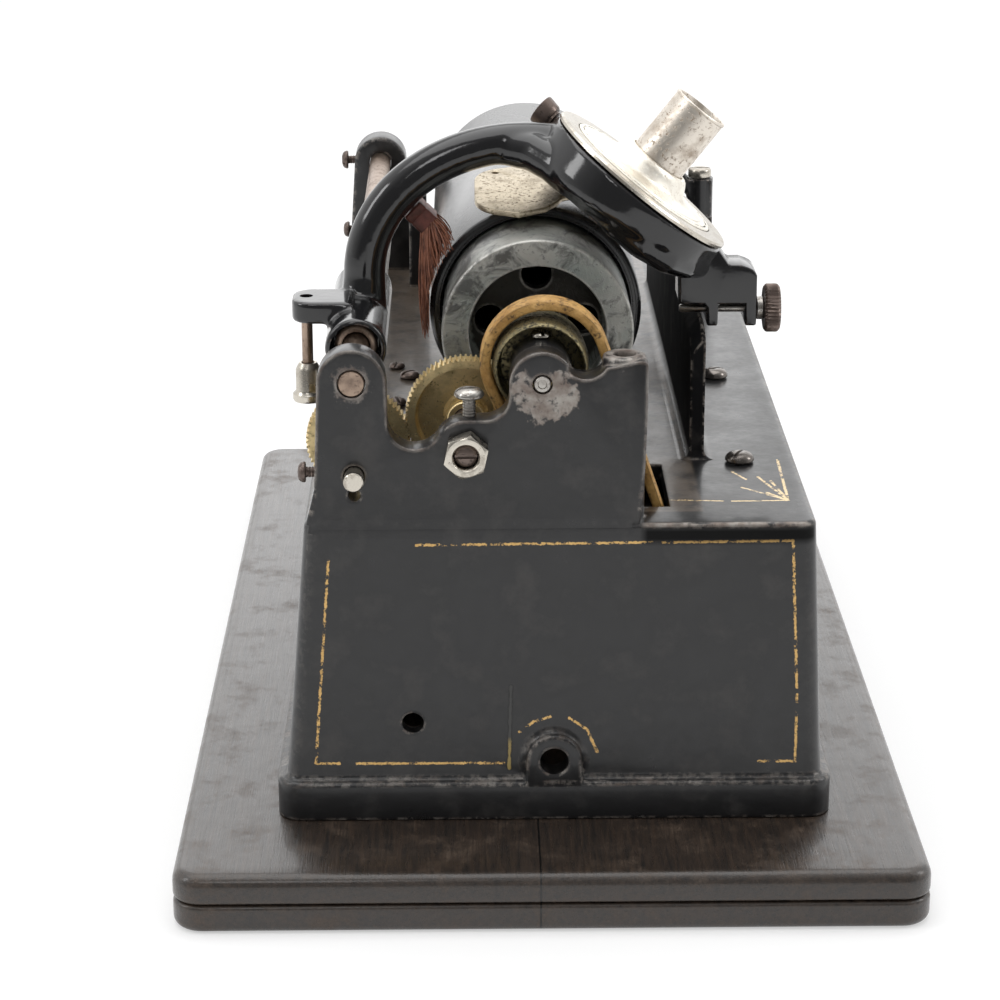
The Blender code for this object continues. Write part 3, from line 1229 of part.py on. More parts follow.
def guide_outline():
    """The guide block under the ring: a raised shoulder at the right and two jaws below."""
    far_jaw = BLOCK_RIGHT - JAW_WIDTH
    ring_low = HEAD_CENTRE - HEAD_NORMAL * RING_DEPTH
    return [(BLOCK_LEFT, BLOCK_TOP), (BLOCK_LEFT, BLOCK_BOTTOM + BLOCK_CORNER),
            (BLOCK_LEFT + BLOCK_CORNER, BLOCK_BOTTOM), (NEAR_JAW_X, BLOCK_BOTTOM), (NEAR_JAW_X, JAW_BOTTOM),
            (NEAR_JAW_X + JAW_WIDTH, JAW_BOTTOM), (NEAR_JAW_X + JAW_WIDTH, BLOCK_BOTTOM),
            (far_jaw, BLOCK_BOTTOM), (far_jaw, JAW_BOTTOM), (BLOCK_RIGHT, JAW_BOTTOM),
            (BLOCK_RIGHT, SHOULDER_TOP - BLOCK_CORNER), (BLOCK_RIGHT - BLOCK_CORNER, SHOULDER_TOP),
            (SHOULDER_LEFT, SHOULDER_TOP), (SHOULDER_LEFT - BLOCK_CORNER, SHOULDER_TOP + BLOCK_CORNER),
            (ring_low.x + RING_RADIUS / 2, SHOULDER_TOP + BLOCK_CORNER)]


def make_carriage(datum):
    """The sliding bush on the rod, and the axis that the arm lifts about."""
    slide = holder("carriage_axis", (ROD_X, 0, ROD_RISE), datum)
    bore = ROD_RADIUS + FIT_GAP
    near = SLEEVE_NEAR + SLEEVE_RECESS - BUSHING_REACH
    far = SLEEVE_NEAR + SLEEVE_LENGTH
    bushing = turned([(bore, near), (BUSHING_RADIUS, near), (BUSHING_RADIUS, far + BUSHING_REACH / 2),
                      (bore, far + BUSHING_REACH / 2)], HALF_ROUND, True)
    handed(as_object("carriage_bushing", shifted(bushing, ROD_X, 0, ROD_RISE)), "coppered_steel", slide)
    make_arm(slide)
    return slide


def make_arm(slide):
    """The arm casting: sleeve, lug, curved arm, ring and guide block."""
    far = SLEEVE_NEAR + SLEEVE_LENGTH
    edge = SLEEVE_CHAMFER
    sleeve = turned([(SLEEVE_RADIUS - edge, SLEEVE_NEAR), (SLEEVE_RADIUS, SLEEVE_NEAR + edge),
                     (SLEEVE_RADIUS, far - edge), (SLEEVE_RADIUS - edge, far)], ROUND)
    arm = as_object("carriage_arm", shifted(sleeve, ROD_X, 0, ROD_RISE))
    lug = lofted([[(x, y, z) for x, y in rounded_rectangle(LUG_END_X, ROD_X, LUG_NEAR, LUG_NEAR + LUG_DEPTH,
                                                           LUG_ROUND)]
                  for z in (LUG_TOP - LUG_THICK, LUG_TOP)])
    line = arm_line()
    radii = [ARM_ROOT_RADIUS] + [ARM_RADIUS] * (len(line) - 1)
    ring = placed(turned([(RING_RADIUS - RING_LOWER_ROUND, -RING_DEPTH),
                          (RING_RADIUS, -RING_DEPTH + RING_LOWER_ROUND), (RING_RADIUS, -RING_EDGE),
                          (RING_RADIUS - RING_EDGE, 0)], ROUND), head_place())
    guide = slab(guide_outline(), HEAD_Y - BLOCK_DEPTH / 2, HEAD_Y + BLOCK_DEPTH / 2)
    arm = with_added(arm, lug, tube_along(line, radii, TUBE_SIDES), ring, guide)
    bush = BUSHING_RADIUS + FIT_GAP
    mouth = SLEEVE_NEAR + SLEEVE_RECESS
    bore = turned([(SLEEVE_RECESS_RADIUS, SLEEVE_NEAR - OVERRUN), (SLEEVE_RECESS_RADIUS, mouth),
                   (bush, mouth), (bush, far + OVERRUN)], HALF_ROUND)
    hole = placed(turned([(RING_BORE_RADIUS, -RING_DEPTH - 4 * OVERRUN), (RING_BORE_RADIUS, OVERRUN)], ROUND),
                  head_place())
    rod = turned([(GUIDE_RADIUS + FIT_GAP, GUIDE_LEFT - OVERRUN), (GUIDE_RADIUS + FIT_GAP,
                                                                   BLOCK_RIGHT + OVERRUN)], SMALL_ROUND)
    rod = placed(rod, toward((1, 0, 0), (0, HEAD_Y, GUIDE_RISE)))
    eye = drill_down(LIFT_ROD_RADIUS + FIT_GAP, LUG_TOP - LUG_THICK - OVERRUN, LUG_TOP + OVERRUN,
                     LUG_HOLE_X, LUG_HOLE_Y, TINY_ROUND)
    arm = with_cut(arm, shifted(bore, ROD_X, 0, ROD_RISE), hole, rod, eye, knob_bore(), brush_stem(FIT_GAP))
    lift = holder("arm_axis", (ROD_X, 0, ROD_RISE), slide.parent)
    handed(arm, "black_japan", lift)
    make_half_nut(lift)
    make_lift_rod(slide.parent)
    make_guide_screw(slide.parent)
    make_reproducer(lift)
    make_clamp_knob(slide.parent)
    make_brush(lift)


def make_half_nut(lift):
    """The flat spring under the sleeve and the brass half nut that it holds over the feed screw."""
    top = ROD_RISE - SLEEVE_RADIUS - FIT_GAP
    low = top - NUT_SPRING_THICK
    half = NUT_SPRING_WIDTH / 2
    spring = block((ROD_X - half, NUT_SPRING_NEAR, low), (ROD_X + half, NUT_SPRING_FAR, top))
    handed(as_object("half_nut_spring", spring), "steel", lift, False)
    side = NUT_BLOCK_WIDTH / 2
    far = NUT_SPRING_FAR
    nut = block((ROD_X - side, far - NUT_BLOCK_LENGTH, FEED_Z + FEED_RADIUS + FIT_GAP),
                (ROD_X + side, far, low - FIT_GAP), BODY_STEP)
    handed(as_object("half_nut", nut), "old_brass", lift, False)


def make_lift_rod(datum):
    """The thin rod that hangs through the lug, and the nickel clamp on its foot."""
    ball = LUG_TOP - LUG_THICK - FIT_GAP - LIFT_ROD_RADIUS
    axis = holder("lift_rod_axis", (LUG_HOLE_X, LUG_HOLE_Y, ball), datum)
    upright = Matrix.Translation((LUG_HOLE_X, LUG_HOLE_Y, 0)) @ Matrix.Rotation(math.pi / 2, 4, "X")
    radius = LIFT_ROD_RADIUS
    rod = turned([(radius, LIFT_ROD_BOTTOM), (radius, ball), (radius * math.sqrt(3) / 2, ball + radius / 2),
                  (radius / 2, ball + radius * math.sqrt(3) / 2), (0, ball + radius)], SMALL_ROUND)
    handed(as_object("lift_rod", placed(rod, upright)), "coppered_steel", axis)
    bore = LIFT_ROD_RADIUS + FIT_GAP
    rim = CLAMP_RIM_RADIUS
    profile = [(bore, CLAMP_BOTTOM + CLAMP_RIM), (rim * CLAMP_FOOT_SHARE, CLAMP_BOTTOM),
               (rim, CLAMP_BOTTOM + CLAMP_RIM / 3), (rim, CLAMP_BOTTOM + CLAMP_RIM),
               (CLAMP_RADIUS * CLAMP_NECK_SHARE, CLAMP_BOTTOM + CLAMP_RIM * CLAMP_NECK_RISE_SHARE),
               (CLAMP_RADIUS, CLAMP_TOP - CLAMP_RIM), (CLAMP_RADIUS * CLAMP_TOP_SHARE, CLAMP_TOP),
               (bore, CLAMP_TOP)]
    clamp = placed(turned(profile, SMALL_ROUND, True), upright)
    handed(as_object("lift_rod_clamp", clamp), "nickel", axis)


def make_guide_screw(datum):
    """The rod that rides on the rail, screwed through the two jaws by its knurled head."""
    axis = holder("guide_screw_axis", (BLOCK_RIGHT, HEAD_Y, GUIDE_RISE), datum)
    near = BLOCK_RIGHT + FIT_GAP
    disc = near + GUIDE_COLLAR
    far = disc + GUIDE_KNOB
    edge = SLEEVE_CHAMFER
    screw = turned([(GUIDE_RADIUS, GUIDE_LEFT), (GUIDE_RADIUS, near), (GUIDE_COLLAR_RADIUS, near),
                    (GUIDE_COLLAR_RADIUS, disc), (GUIDE_KNOB_RADIUS - edge, disc),
                    (GUIDE_KNOB_RADIUS, disc + edge), (GUIDE_KNOB_RADIUS, far - edge),
                    (GUIDE_KNOB_RADIUS - edge, far),
                    (GUIDE_COLLAR_RADIUS, far), (GUIDE_COLLAR_RADIUS - edge, far - edge)], HALF_ROUND)
    screw = placed(screw, toward((1, 0, 0), (0, HEAD_Y, GUIDE_RISE)))
    handed(as_object("guide_thumb_screw", screw), "brown_steel", axis)


def make_reproducer(lift):
    """The sound box: body, gaskets, diaphragm, cover, tube, stylus bar and floating weight."""
    seat = FIT_GAP
    top = seat + FLANGE_PLATE
    inner = BODY_CUP_RADIUS - BODY_CUP_WALL
    ledge = -BODY_LEDGE
    edge = RING_EDGE
    cup = turned([(COVER_RADIUS + FIT_GAP, top), (FLANGE_PLATE_RADIUS - edge, top),
                  (FLANGE_PLATE_RADIUS, top - edge), (FLANGE_PLATE_RADIUS, seat), (BODY_CUP_RADIUS, seat),
                  (BODY_CUP_RADIUS, -BODY_CUP_DEPTH + edge), (BODY_CUP_RADIUS - edge, -BODY_CUP_DEPTH),
                  (inner, -BODY_CUP_DEPTH), (inner, ledge - BODY_LEDGE),
                  (BODY_LEDGE_RADIUS, ledge - BODY_LEDGE), (BODY_LEDGE_RADIUS, ledge),
                  (COVER_RADIUS + FIT_GAP, ledge)], ROUND, True)
    cup = as_object("reproducer_body", placed(cup, head_place()))
    handed(make_weight(cup, lift), "nickel", lift)
    lower_gasket = ledge + FIT_GAP
    plate_low = lower_gasket + GASKET + FIT_GAP
    gasket = turned([(GASKET_RADIUS - GASKET_WIDTH, lower_gasket), (GASKET_RADIUS, lower_gasket),
                     (GASKET_RADIUS, lower_gasket + GASKET),
                     (GASKET_RADIUS - GASKET_WIDTH, lower_gasket + GASKET)], HALF_ROUND, True)
    handed(as_object("diaphragm_gasket", placed(gasket, head_place())), "rubber", lift)
    plate = turned([(DIAPHRAGM_RADIUS, plate_low), (DIAPHRAGM_RADIUS, plate_low + DIAPHRAGM)], HALF_ROUND)
    handed(as_object("diaphragm", placed(plate, head_place())), "mica", lift)
    cover_low = plate_low + DIAPHRAGM + FIT_GAP
    cover_top = cover_low + COVER_THICK
    bore = TUBE_RADIUS + FIT_GAP
    cover = turned([(bore, cover_low), (COVER_RADIUS, cover_low), (COVER_RADIUS, cover_top - edge),
                    (COVER_RADIUS - edge, cover_top), (CONE_RADIUS, cover_top),
                    (CONE_TOP_RADIUS + edge, CONE_RISE - edge), (CONE_TOP_RADIUS, CONE_RISE),
                    (bore, CONE_RISE)], ROUND, True)
    handed(as_object("reproducer_cover", placed(cover, head_place())), "nickel", lift)
    lip = TUBE_RADIUS - TUBE_WALL
    foot = cover_low + FIT_GAP
    tube = turned([(lip, foot), (TUBE_RADIUS, foot), (TUBE_RADIUS, TUBE_TOP - TUBE_LIP),
                   (TUBE_RADIUS - TUBE_LIP, TUBE_TOP), (lip, TUBE_TOP)], ROUND, True)
    handed(as_object("sound_tube", placed(tube, head_place())), "nickel", lift)
    make_stylus(lift, plate_low - FIT_GAP)


def make_stylus(lift, top):
    """The stylus bar under the diaphragm, with its pointed tip."""
    half = STYLUS_BAR_WIDTH / 2
    low = top - STYLUS_BAR_DEPTH
    bar = as_object("stylus_bar", block((-half, low, -half), (half, top, half)))
    tip = turned([(0, low - STYLUS_LENGTH), (STYLUS_RADIUS, low - STYLUS_LENGTH / 2),
                  (STYLUS_RADIUS, low + BODY_STEP)], TINY_ROUND)
    bar = with_added(bar, tip)
    bar.data.transform(head_place())
    handed(bar, "steel", lift)


def leaf_place():
    """The tilt and place of the weight's leaf."""
    return Matrix.Translation(LEAF_CENTRE) @ Matrix.Rotation(math.radians(LEAF_TILT_DEG), 4, "X")


def weight_eye():
    """Where the weight's hinge pin crosses, at the end of the leaf's neck."""
    return leaf_place() @ Vector((LEAF_RIGHT + LEAF_NECK_RUN, 0, LEAF_THICK / 2))


def ear_shape(low, high):
    """One ear between two Y planes, from the reproducer's underside to the hinge pin."""
    eye = weight_eye()
    ear = as_object("ear", drill(WEIGHT_EAR_RADIUS, low, high, eye.x, eye.z, SMALL_ROUND))
    along = Vector((-HEAD_NORMAL.z, 0, HEAD_NORMAL.x))
    foot = HEAD_CENTRE - HEAD_NORMAL * (BODY_CUP_DEPTH - BODY_STEP)
    across = (eye - foot).dot(along)
    depth = (eye - foot).dot(HEAD_NORMAL)
    corners = []
    for side, run in ((-1, depth), (1, depth), (1, 0), (-1, 0)):
        point = foot + along * (across + side * WEIGHT_EAR_RADIUS) + HEAD_NORMAL * run
        corners.append((point.x, point.z))
    return with_added(ear, slab(corners, low, high))


def make_weight(cup, lift):
    """The broad nickel leaf that floats over the wax, and the cup with the ears it hinges in."""
    near_side = rounded_rectangle(-LEAF_LEFT, LEAF_RIGHT, -LEAF_HALF_DEPTH, LEAF_HALF_DEPTH, LEAF_ROUND)
    leaf = as_object("weight_leaf", lofted([[(x, y, z) for x, y in near_side] for z in (0, LEAF_THICK)]))
    neck_end = LEAF_RIGHT + LEAF_NECK_RUN
    neck = block((LEAF_RIGHT - LEAF_ROUND, -LEAF_NECK_HALF, 0), (neck_end, LEAF_NECK_HALF, LEAF_THICK))
    leaf = with_added(leaf, neck)
    hole = drill_down(LEAF_HOLE_RADIUS, -OVERRUN, LEAF_THICK + OVERRUN, -LEAF_LEFT / 2,
                      LEAF_HALF_DEPTH * LEAF_HOLE_SHARE, TINY_ROUND)
    leaf = with_cut(leaf, hole)
    leaf.data.transform(leaf_place())
    eye = weight_eye()
    axis = holder("weight_axis", eye, lift.parent)
    half = WEIGHT_EYE_LENGTH / 2
    knuckle = turned([(WEIGHT_EYE_RADIUS, eye.y - half), (WEIGHT_EYE_RADIUS, eye.y + half)], SMALL_ROUND)
    reach = WEIGHT_EAR_OFFSET + WEIGHT_EAR
    pin = drill(WEIGHT_PIN_RADIUS, HEAD_Y - reach, HEAD_Y + reach, eye.x, eye.z, TINY_ROUND)
    leaf = with_added(leaf, shifted(knuckle, eye.x, 0, eye.z), pin)
    handed(leaf, "nickel", axis)
    bore = WEIGHT_PIN_RADIUS + FIT_GAP
    for side in (-1, 1):
        start = HEAD_Y + side * WEIGHT_EAR_OFFSET
        low, high = sorted((start, start + side * WEIGHT_EAR))
        ear = ear_shape(low, high)
        shape = bmesh.new()
        shape.from_mesh(ear.data)
        bpy.data.objects.remove(ear)
        cup = with_added(cup, shape)
        cup = with_cut(cup, drill(bore, low - FIT_GAP, high + FIT_GAP, eye.x, eye.z, TINY_ROUND))
    return cup


def knob_direction():
    """The clamp knob's axis, radial to the ring."""
    along = Vector((-HEAD_NORMAL.z, 0, HEAD_NORMAL.x))
    angle = math.radians(KNOB_ANGLE_DEG)
    return along * math.cos(angle) + Vector((0, 1, 0)) * math.sin(angle)


def knob_seat():
    """Where the knob's stem leaves the ring."""
    return HEAD_CENTRE - HEAD_NORMAL * RING_DEPTH * KNOB_DEPTH_SHARE + knob_direction() * RING_RADIUS


def knob_bore():
    """The hole for the knob's stem."""
    radius = KNOB_STEM_RADIUS + FIT_GAP
    bore = turned([(radius, -KNOB_STEM_DEPTH - FIT_GAP), (radius, OVERRUN)], TINY_ROUND)
    return placed(bore, toward(knob_direction(), knob_seat()))


def make_clamp_knob(datum):
    """The round knob that clamps the reproducer in its ring."""
    axis = holder("clamp_knob_axis", knob_seat(), datum)
    edge = SLEEVE_CHAMFER
    high = KNOB_STAND + KNOB_HEIGHT
    knob = turned([(KNOB_STEM_RADIUS, -KNOB_STEM_DEPTH), (KNOB_STEM_RADIUS, KNOB_STAND),
                   (KNOB_RADIUS - edge, KNOB_STAND), (KNOB_RADIUS, KNOB_STAND + edge),
                   (KNOB_RADIUS, high - edge), (KNOB_RADIUS - edge, high)], HALF_ROUND)
    knob = placed(knob, toward(knob_direction(), knob_seat()))
    handed(as_object("reproducer_clamp_knob", knob), "brown_steel", axis)


# Brush

def brush_frame():
    """The matrix with +Z out of the ferrule's mouth, X across it and Y along the machine."""
    top = Vector(FERRULE_TOP)
    bottom = Vector(FERRULE_BOTTOM)
    down = (bottom - top).normalized()
    across = Vector((0, 1, 0)).cross(down).normalized()
    turn = Matrix((across, Vector((0, 1, 0)), down)).transposed().to_4x4()
    return Matrix.Translation(bottom) @ turn


def brush_stem(clearance):
    """The stem that holds the ferrule in the arm, or its bore where a clearance is given."""
    foot = (Vector(FERRULE_TOP) + Vector(FERRULE_BOTTOM)) / 2
    above = min(arm_line(), key=lambda point: (point - foot).length)
    direction = above - foot
    end = direction.length - ARM_RADIUS + FERRULE_STEM_DEPTH + clearance
    radius = FERRULE_STEM_RADIUS + clearance
    return placed(turned([(radius, 0), (radius, end)], TINY_ROUND), toward(direction, foot))


def make_brush(lift):
    """The block ferrule under the arm and the tuft of bristles in its mouth."""
    length = (Vector(FERRULE_BOTTOM) - Vector(FERRULE_TOP)).length
    plan = rounded_rectangle(-FERRULE_HALF_WIDTH, FERRULE_HALF_WIDTH, -FERRULE_HALF_LENGTH,
                             FERRULE_HALF_LENGTH, FERRULE_CORNER, 1)
    ferrule = as_object("brush_ferrule",
                        placed(lofted([[(x, y, z) for x, y in plan] for z in (-length, 0)]), brush_frame()))
    ferrule = with_added(ferrule, brush_stem(0))
    half = Vector((TUFT_WIDTH / 2 + FIT_GAP, TUFT_DEPTH / 2 + FIT_GAP))
    mouth = block((-half.x, -half.y, -TUFT_SLICE - FIT_GAP), (half.x, half.y, OVERRUN))
    ferrule = with_cut(ferrule, placed(mouth, brush_frame()))
    handed(ferrule, "red_brown_ferrule", lift)
    make_tuft(lift)


def make_tuft(lift):
    """Bristles drawn out of one slice, each cell of its face split into two strands."""
    shape = bmesh.new()
    columns = TUFT_COLUMNS
    rows = TUFT_ROWS
    grid = []
    for row in range(rows + 1):
        line = []
        for column in range(columns + 1):
            x = TUFT_WIDTH * (column / columns - 1 / 2)
            y = TUFT_DEPTH * (row / rows - 1 / 2)
            line.append(shape.verts.new((x, y, 0)))
        grid.append(line)
    strands = []
    for row in range(rows):
        for column in range(columns):
            a, b = grid[row][column], grid[row][column + 1]
            c, d = grid[row + 1][column + 1], grid[row + 1][column]
            strands.append(shape.faces.new((a, b, c)))
            strands.append(shape.faces.new((a, c, d)))
    rim = [edge for edge in shape.edges if edge.is_boundary]
    walls = bmesh.ops.extrude_edge_only(shape, edges=rim)["geom"]
    low = [item for item in walls if isinstance(item, bmesh.types.BMVert)]
    for vert in low:
        vert.co.z -= TUFT_SLICE
    bmesh.ops.holes_fill(shape, edges=[edge for edge in shape.edges if edge.is_boundary])
    cell = min(TUFT_WIDTH / columns, TUFT_DEPTH / rows)
    bmesh.ops.inset_individual(shape, faces=strands, thickness=cell * TUFT_INSET_SHARE)
    centres = [face.calc_center_median().copy() for face in strands]
    drawn = bmesh.ops.extrude_discrete_faces(shape, faces=strands)["faces"]
    to_brush = brush_frame().inverted()
    for face, root in zip(drawn, centres):
        tip = strand_tip(root, to_brush)
        centre = face.calc_center_median()
        for vert in face.verts:
            vert.co = tip + (vert.co - centre) * TUFT_TIP_SHARE
    bmesh.ops.recalc_face_normals(shape, faces=shape.faces)
    handed(as_object("brush_bristles", placed(shape, brush_frame())), "brown_bristle", lift, False)


def strand_tip(root, to_brush):
    """Where a strand ends: just off the wax, lower down the further out it starts."""
    share = root.x / TUFT_WIDTH + 1 / 2
    angle = math.radians(TUFT_TOP_DEG + (TUFT_LOW_DEG - TUFT_TOP_DEG) * share)
    radius = WAX_RADIUS + TUFT_CLEAR + TUFT_LIFT * share
    along = FERRULE_BOTTOM[1] + root.y / TUFT_DEPTH * TUFT_FAN_DEPTH
    return to_brush @ Vector((radius * math.cos(angle), along, radius * math.sin(angle)))


# Far gate

def gate_outline():
    """The gate's bar: deep at its hinge, rising to the mandrel's height and on to the latch."""
    half = GATE_BAR_HALF
    return [(GATE_HINGE_X, GATE_HUB_BOTTOM + FIT_GAP), (GATE_HINGE_X, GATE_HUB_TOP - FIT_GAP),
            (GATE_BOSS_RADIUS, half), (GATE_END_X, half), (GATE_END_X, -half), (-GATE_BOSS_RADIUS, -half),
            (GATE_HINGE_X / 2, -GATE_BOSS_RADIUS - half),
            (GATE_HINGE_X - GATE_HUB_RADIUS, GATE_HUB_BOTTOM + FIT_GAP)]


def make_gate(datum):
    """The gate with its centre pin and hinge pin."""
    axis = holder("gate_axis", (GATE_HINGE_X, GATE_Y, 0), datum)
    near = GATE_Y - GATE_BAR / 2
    far = GATE_Y + GATE_BAR / 2
    gate = as_object("end_gate", slab(gate_outline(), near, far))
    boss = drill(GATE_BOSS_RADIUS, near - GATE_BOSS_REACH, far + GATE_BOSS_REACH, 0, 0, HALF_ROUND)
    hub = drill_down(GATE_HUB_RADIUS, GATE_HUB_BOTTOM, GATE_HUB_TOP, GATE_HINGE_X, GATE_Y, HALF_ROUND)
    gate = with_added(gate, boss, hub)
    gate = with_cut(gate, drill(CENTRE_PIN_RADIUS + FIT_GAP, near - 2 * OVERRUN, far + 2 * OVERRUN, 0, 0),
                    drill_down(GATE_PIN_RADIUS + FIT_GAP, GATE_HUB_BOTTOM - OVERRUN, GATE_HUB_TOP + OVERRUN,
                               GATE_HINGE_X, GATE_Y))
    handed(gate, "black_japan", axis)
    tip = SHAFT_LENGTH + FIT_GAP
    head = CENTRE_PIN_FAR
    pin = turned([(CENTRE_PIN_TIP, tip), (CENTRE_PIN_RADIUS, tip + CENTRE_PIN_CONE),
                  (CENTRE_PIN_RADIUS, head), (CENTRE_HEAD_RADIUS, head),
                  (CENTRE_HEAD_RADIUS, head + CENTRE_HEAD)], HALF_ROUND)
    handed(as_object("gate_centre_pin", pin), "steel", axis)
    cap = GATE_HUB_TOP + FIT_GAP
    edge = SLEEVE_CHAMFER
    hinge = turned([(GATE_PIN_RADIUS, GATE_HUB_BOTTOM - GATE_PIN_DEPTH), (GATE_PIN_RADIUS, cap),
                    (GATE_CAP_RADIUS, cap), (GATE_CAP_RADIUS, cap + GATE_CAP - edge),
                    (GATE_CAP_RADIUS - edge, cap + GATE_CAP)], HALF_ROUND)
    upright = Matrix.Translation((GATE_HINGE_X, GATE_Y, 0)) @ Matrix.Rotation(math.pi / 2, 4, "X")
    hinge = placed(hinge, upright)
    handed(as_object("gate_hinge_pin", hinge), "nickel", datum)


# Motor

def make_motor(datum):
    """The electric motor hung under the deck, with its governor."""
    far = MOTOR_FAR
    inner = MOTOR_RADIUS - MOTOR_SHELL
    near = MOTOR_NEAR - BELL_THICK
    bore = MOTOR_SHAFT_RADIUS + FIT_GAP
    case = as_object("motor_case", turned([(BELL_HUB_RADIUS, near - BELL_HUB_REACH), (BELL_HUB_RADIUS, near),
                                           (MOTOR_RADIUS, near), (MOTOR_RADIUS, far)], ROUND))
    case.data.transform(Matrix.Translation((MOTOR_X, 0, -MOTOR_DROP)))
    lug_half = MOTOR_LUG / 2
    for y in DECK_SCREW_YS:
        case = with_added(case, block((DECK_SCREW_X - lug_half, y - lug_half, -MOTOR_DROP),
                                      (DECK_SCREW_X + lug_half, y + lug_half, DECK_UNDER_Z - FIT_GAP)))
    case = with_cut(case, drill(inner, MOTOR_NEAR, far + OVERRUN, MOTOR_X, -MOTOR_DROP, ROUND),
                    drill(bore, near - BELL_HUB_REACH - OVERRUN, far, MOTOR_X, -MOTOR_DROP, HALF_ROUND))
    for y in DECK_SCREW_YS:
        case = with_cut(case, drill_down(DECK_SCREW_SHANK + FIT_GAP, DECK_UNDER_Z - MOTOR_LUG,
                                         DECK_UNDER_Z + OVERRUN, DECK_SCREW_X, y, TINY_ROUND))
    handed(case, "raw_iron", datum)
    face = far + FIT_GAP
    back = face + BELL_THICK
    spigot = inner - FIT_GAP
    hub_end = back + BELL_HUB_REACH
    bell = turned([(bore, face - BELL_SPIGOT), (spigot, face - BELL_SPIGOT), (spigot, face),
                   (MOTOR_RADIUS, face), (MOTOR_RADIUS, back), (BELL_HUB_RADIUS, back),
                   (BELL_HUB_RADIUS, hub_end), (bore, hub_end)], HALF_ROUND, True)
    bell = as_object("motor_far_bell", shifted(bell, MOTOR_X, 0, -MOTOR_DROP))
    handed(with_added(bell, *brake_shapes(back)), "raw_iron", datum)
    field_out = inner - FIT_GAP
    field = turned([(field_out - FIELD_THICK, FIELD_NEAR), (field_out, FIELD_NEAR), (field_out, FIELD_FAR),
                    (field_out - FIELD_THICK, FIELD_FAR)], HALF_ROUND, True)
    handed(as_object("field_winding", shifted(field, MOTOR_X, 0, -MOTOR_DROP)), "copper_winding", datum)
    for side, direction in (("left", (-1, 0, 0)), ("right", (1, 0, 0))):
        start = COMMUTATOR_RADIUS + FIT_GAP
        half = CARBON_HALF
        carbon = block((-half, start, -half), (half, start + CARBON_REACH, half))
        place = Vector((MOTOR_X, COMMUTATOR_NEAR + COMMUTATOR_LENGTH / 2, -MOTOR_DROP))
        carbon = placed(carbon, toward(direction, place))
        handed(as_object(f"carbon_brush_{side}", carbon), "carbon", datum, False)
    make_rotor(datum)


def make_rotor(datum):
    """The armature, pulley and governor on the motor's shaft."""
    axis = holder("motor_axis", (MOTOR_X, 0, -MOTOR_DROP), datum)
    bore = MOTOR_SHAFT_RADIUS + FIT_GAP

    def on_shaft(name, profile, finish_name, segments=HALF_ROUND):
        """A ring on the motor's shaft."""
        ring = shifted(turned(profile, segments, True), MOTOR_X, 0, -MOTOR_DROP)
        handed(as_object(name, ring), finish_name, axis)

    hub_far = GOVERNOR_HUB_Y + GOVERNOR_HUB
    shaft = turned([(MOTOR_SHAFT_RADIUS, MOTOR_SHAFT_NEAR), (MOTOR_SHAFT_RADIUS, GOVERNOR_HUB_Y),
                    (GOVERNOR_HUB_RADIUS, GOVERNOR_HUB_Y), (GOVERNOR_HUB_RADIUS, hub_far),
                    (MOTOR_SHAFT_RADIUS, hub_far), (MOTOR_SHAFT_RADIUS, MOTOR_SHAFT_FAR)], HALF_ROUND)
    handed(as_object("motor_shaft", shifted(shaft, MOTOR_X, 0, -MOTOR_DROP)), "steel", axis)
    ring_far = COMMUTATOR_NEAR + COMMUTATOR_LENGTH
    neck = BELL_HUB_RADIUS * NECK_SHARE
    on_shaft("armature", [(bore, CORE_NEAR), (CORE_RADIUS, CORE_NEAR), (CORE_RADIUS, CORE_FAR),
                          (neck, CORE_FAR), (neck, COMMUTATOR_NEAR), (COMMUTATOR_RADIUS, COMMUTATOR_NEAR),
                          (COMMUTATOR_RADIUS, ring_far), (bore, ring_far)], "copper_winding")
    near = BELT_MID_Y - BELT_WIDTH / 2 - FIT_GAP
    far = BELT_MID_Y + BELT_WIDTH / 2 + FIT_GAP
    rim = MOTOR_PULLEY_RADIUS + MOTOR_PULLEY_FLANGE
    side = MOTOR_PULLEY_SIDE
    on_shaft("motor_pulley", [(bore, near - side), (rim, near - side), (rim, near),
                              (MOTOR_PULLEY_RADIUS, near), (MOTOR_PULLEY_RADIUS, far), (rim, far),
                              (rim, far + side), (bore, far + side)], "old_brass")
    disc_far = GOVERNOR_DISC_Y + GOVERNOR_DISC
    collar = GOVERNOR_DISC_Y - GOVERNOR_HUB
    on_shaft("governor_disc", [(bore, collar), (GOVERNOR_HUB_RADIUS, collar),
                               (GOVERNOR_HUB_RADIUS, GOVERNOR_DISC_Y),
                               (GOVERNOR_DISC_RADIUS, GOVERNOR_DISC_Y), (GOVERNOR_DISC_RADIUS, disc_far),
                               (bore, disc_far)], "old_brass")
    make_governor_weights(axis, hub_far, collar)


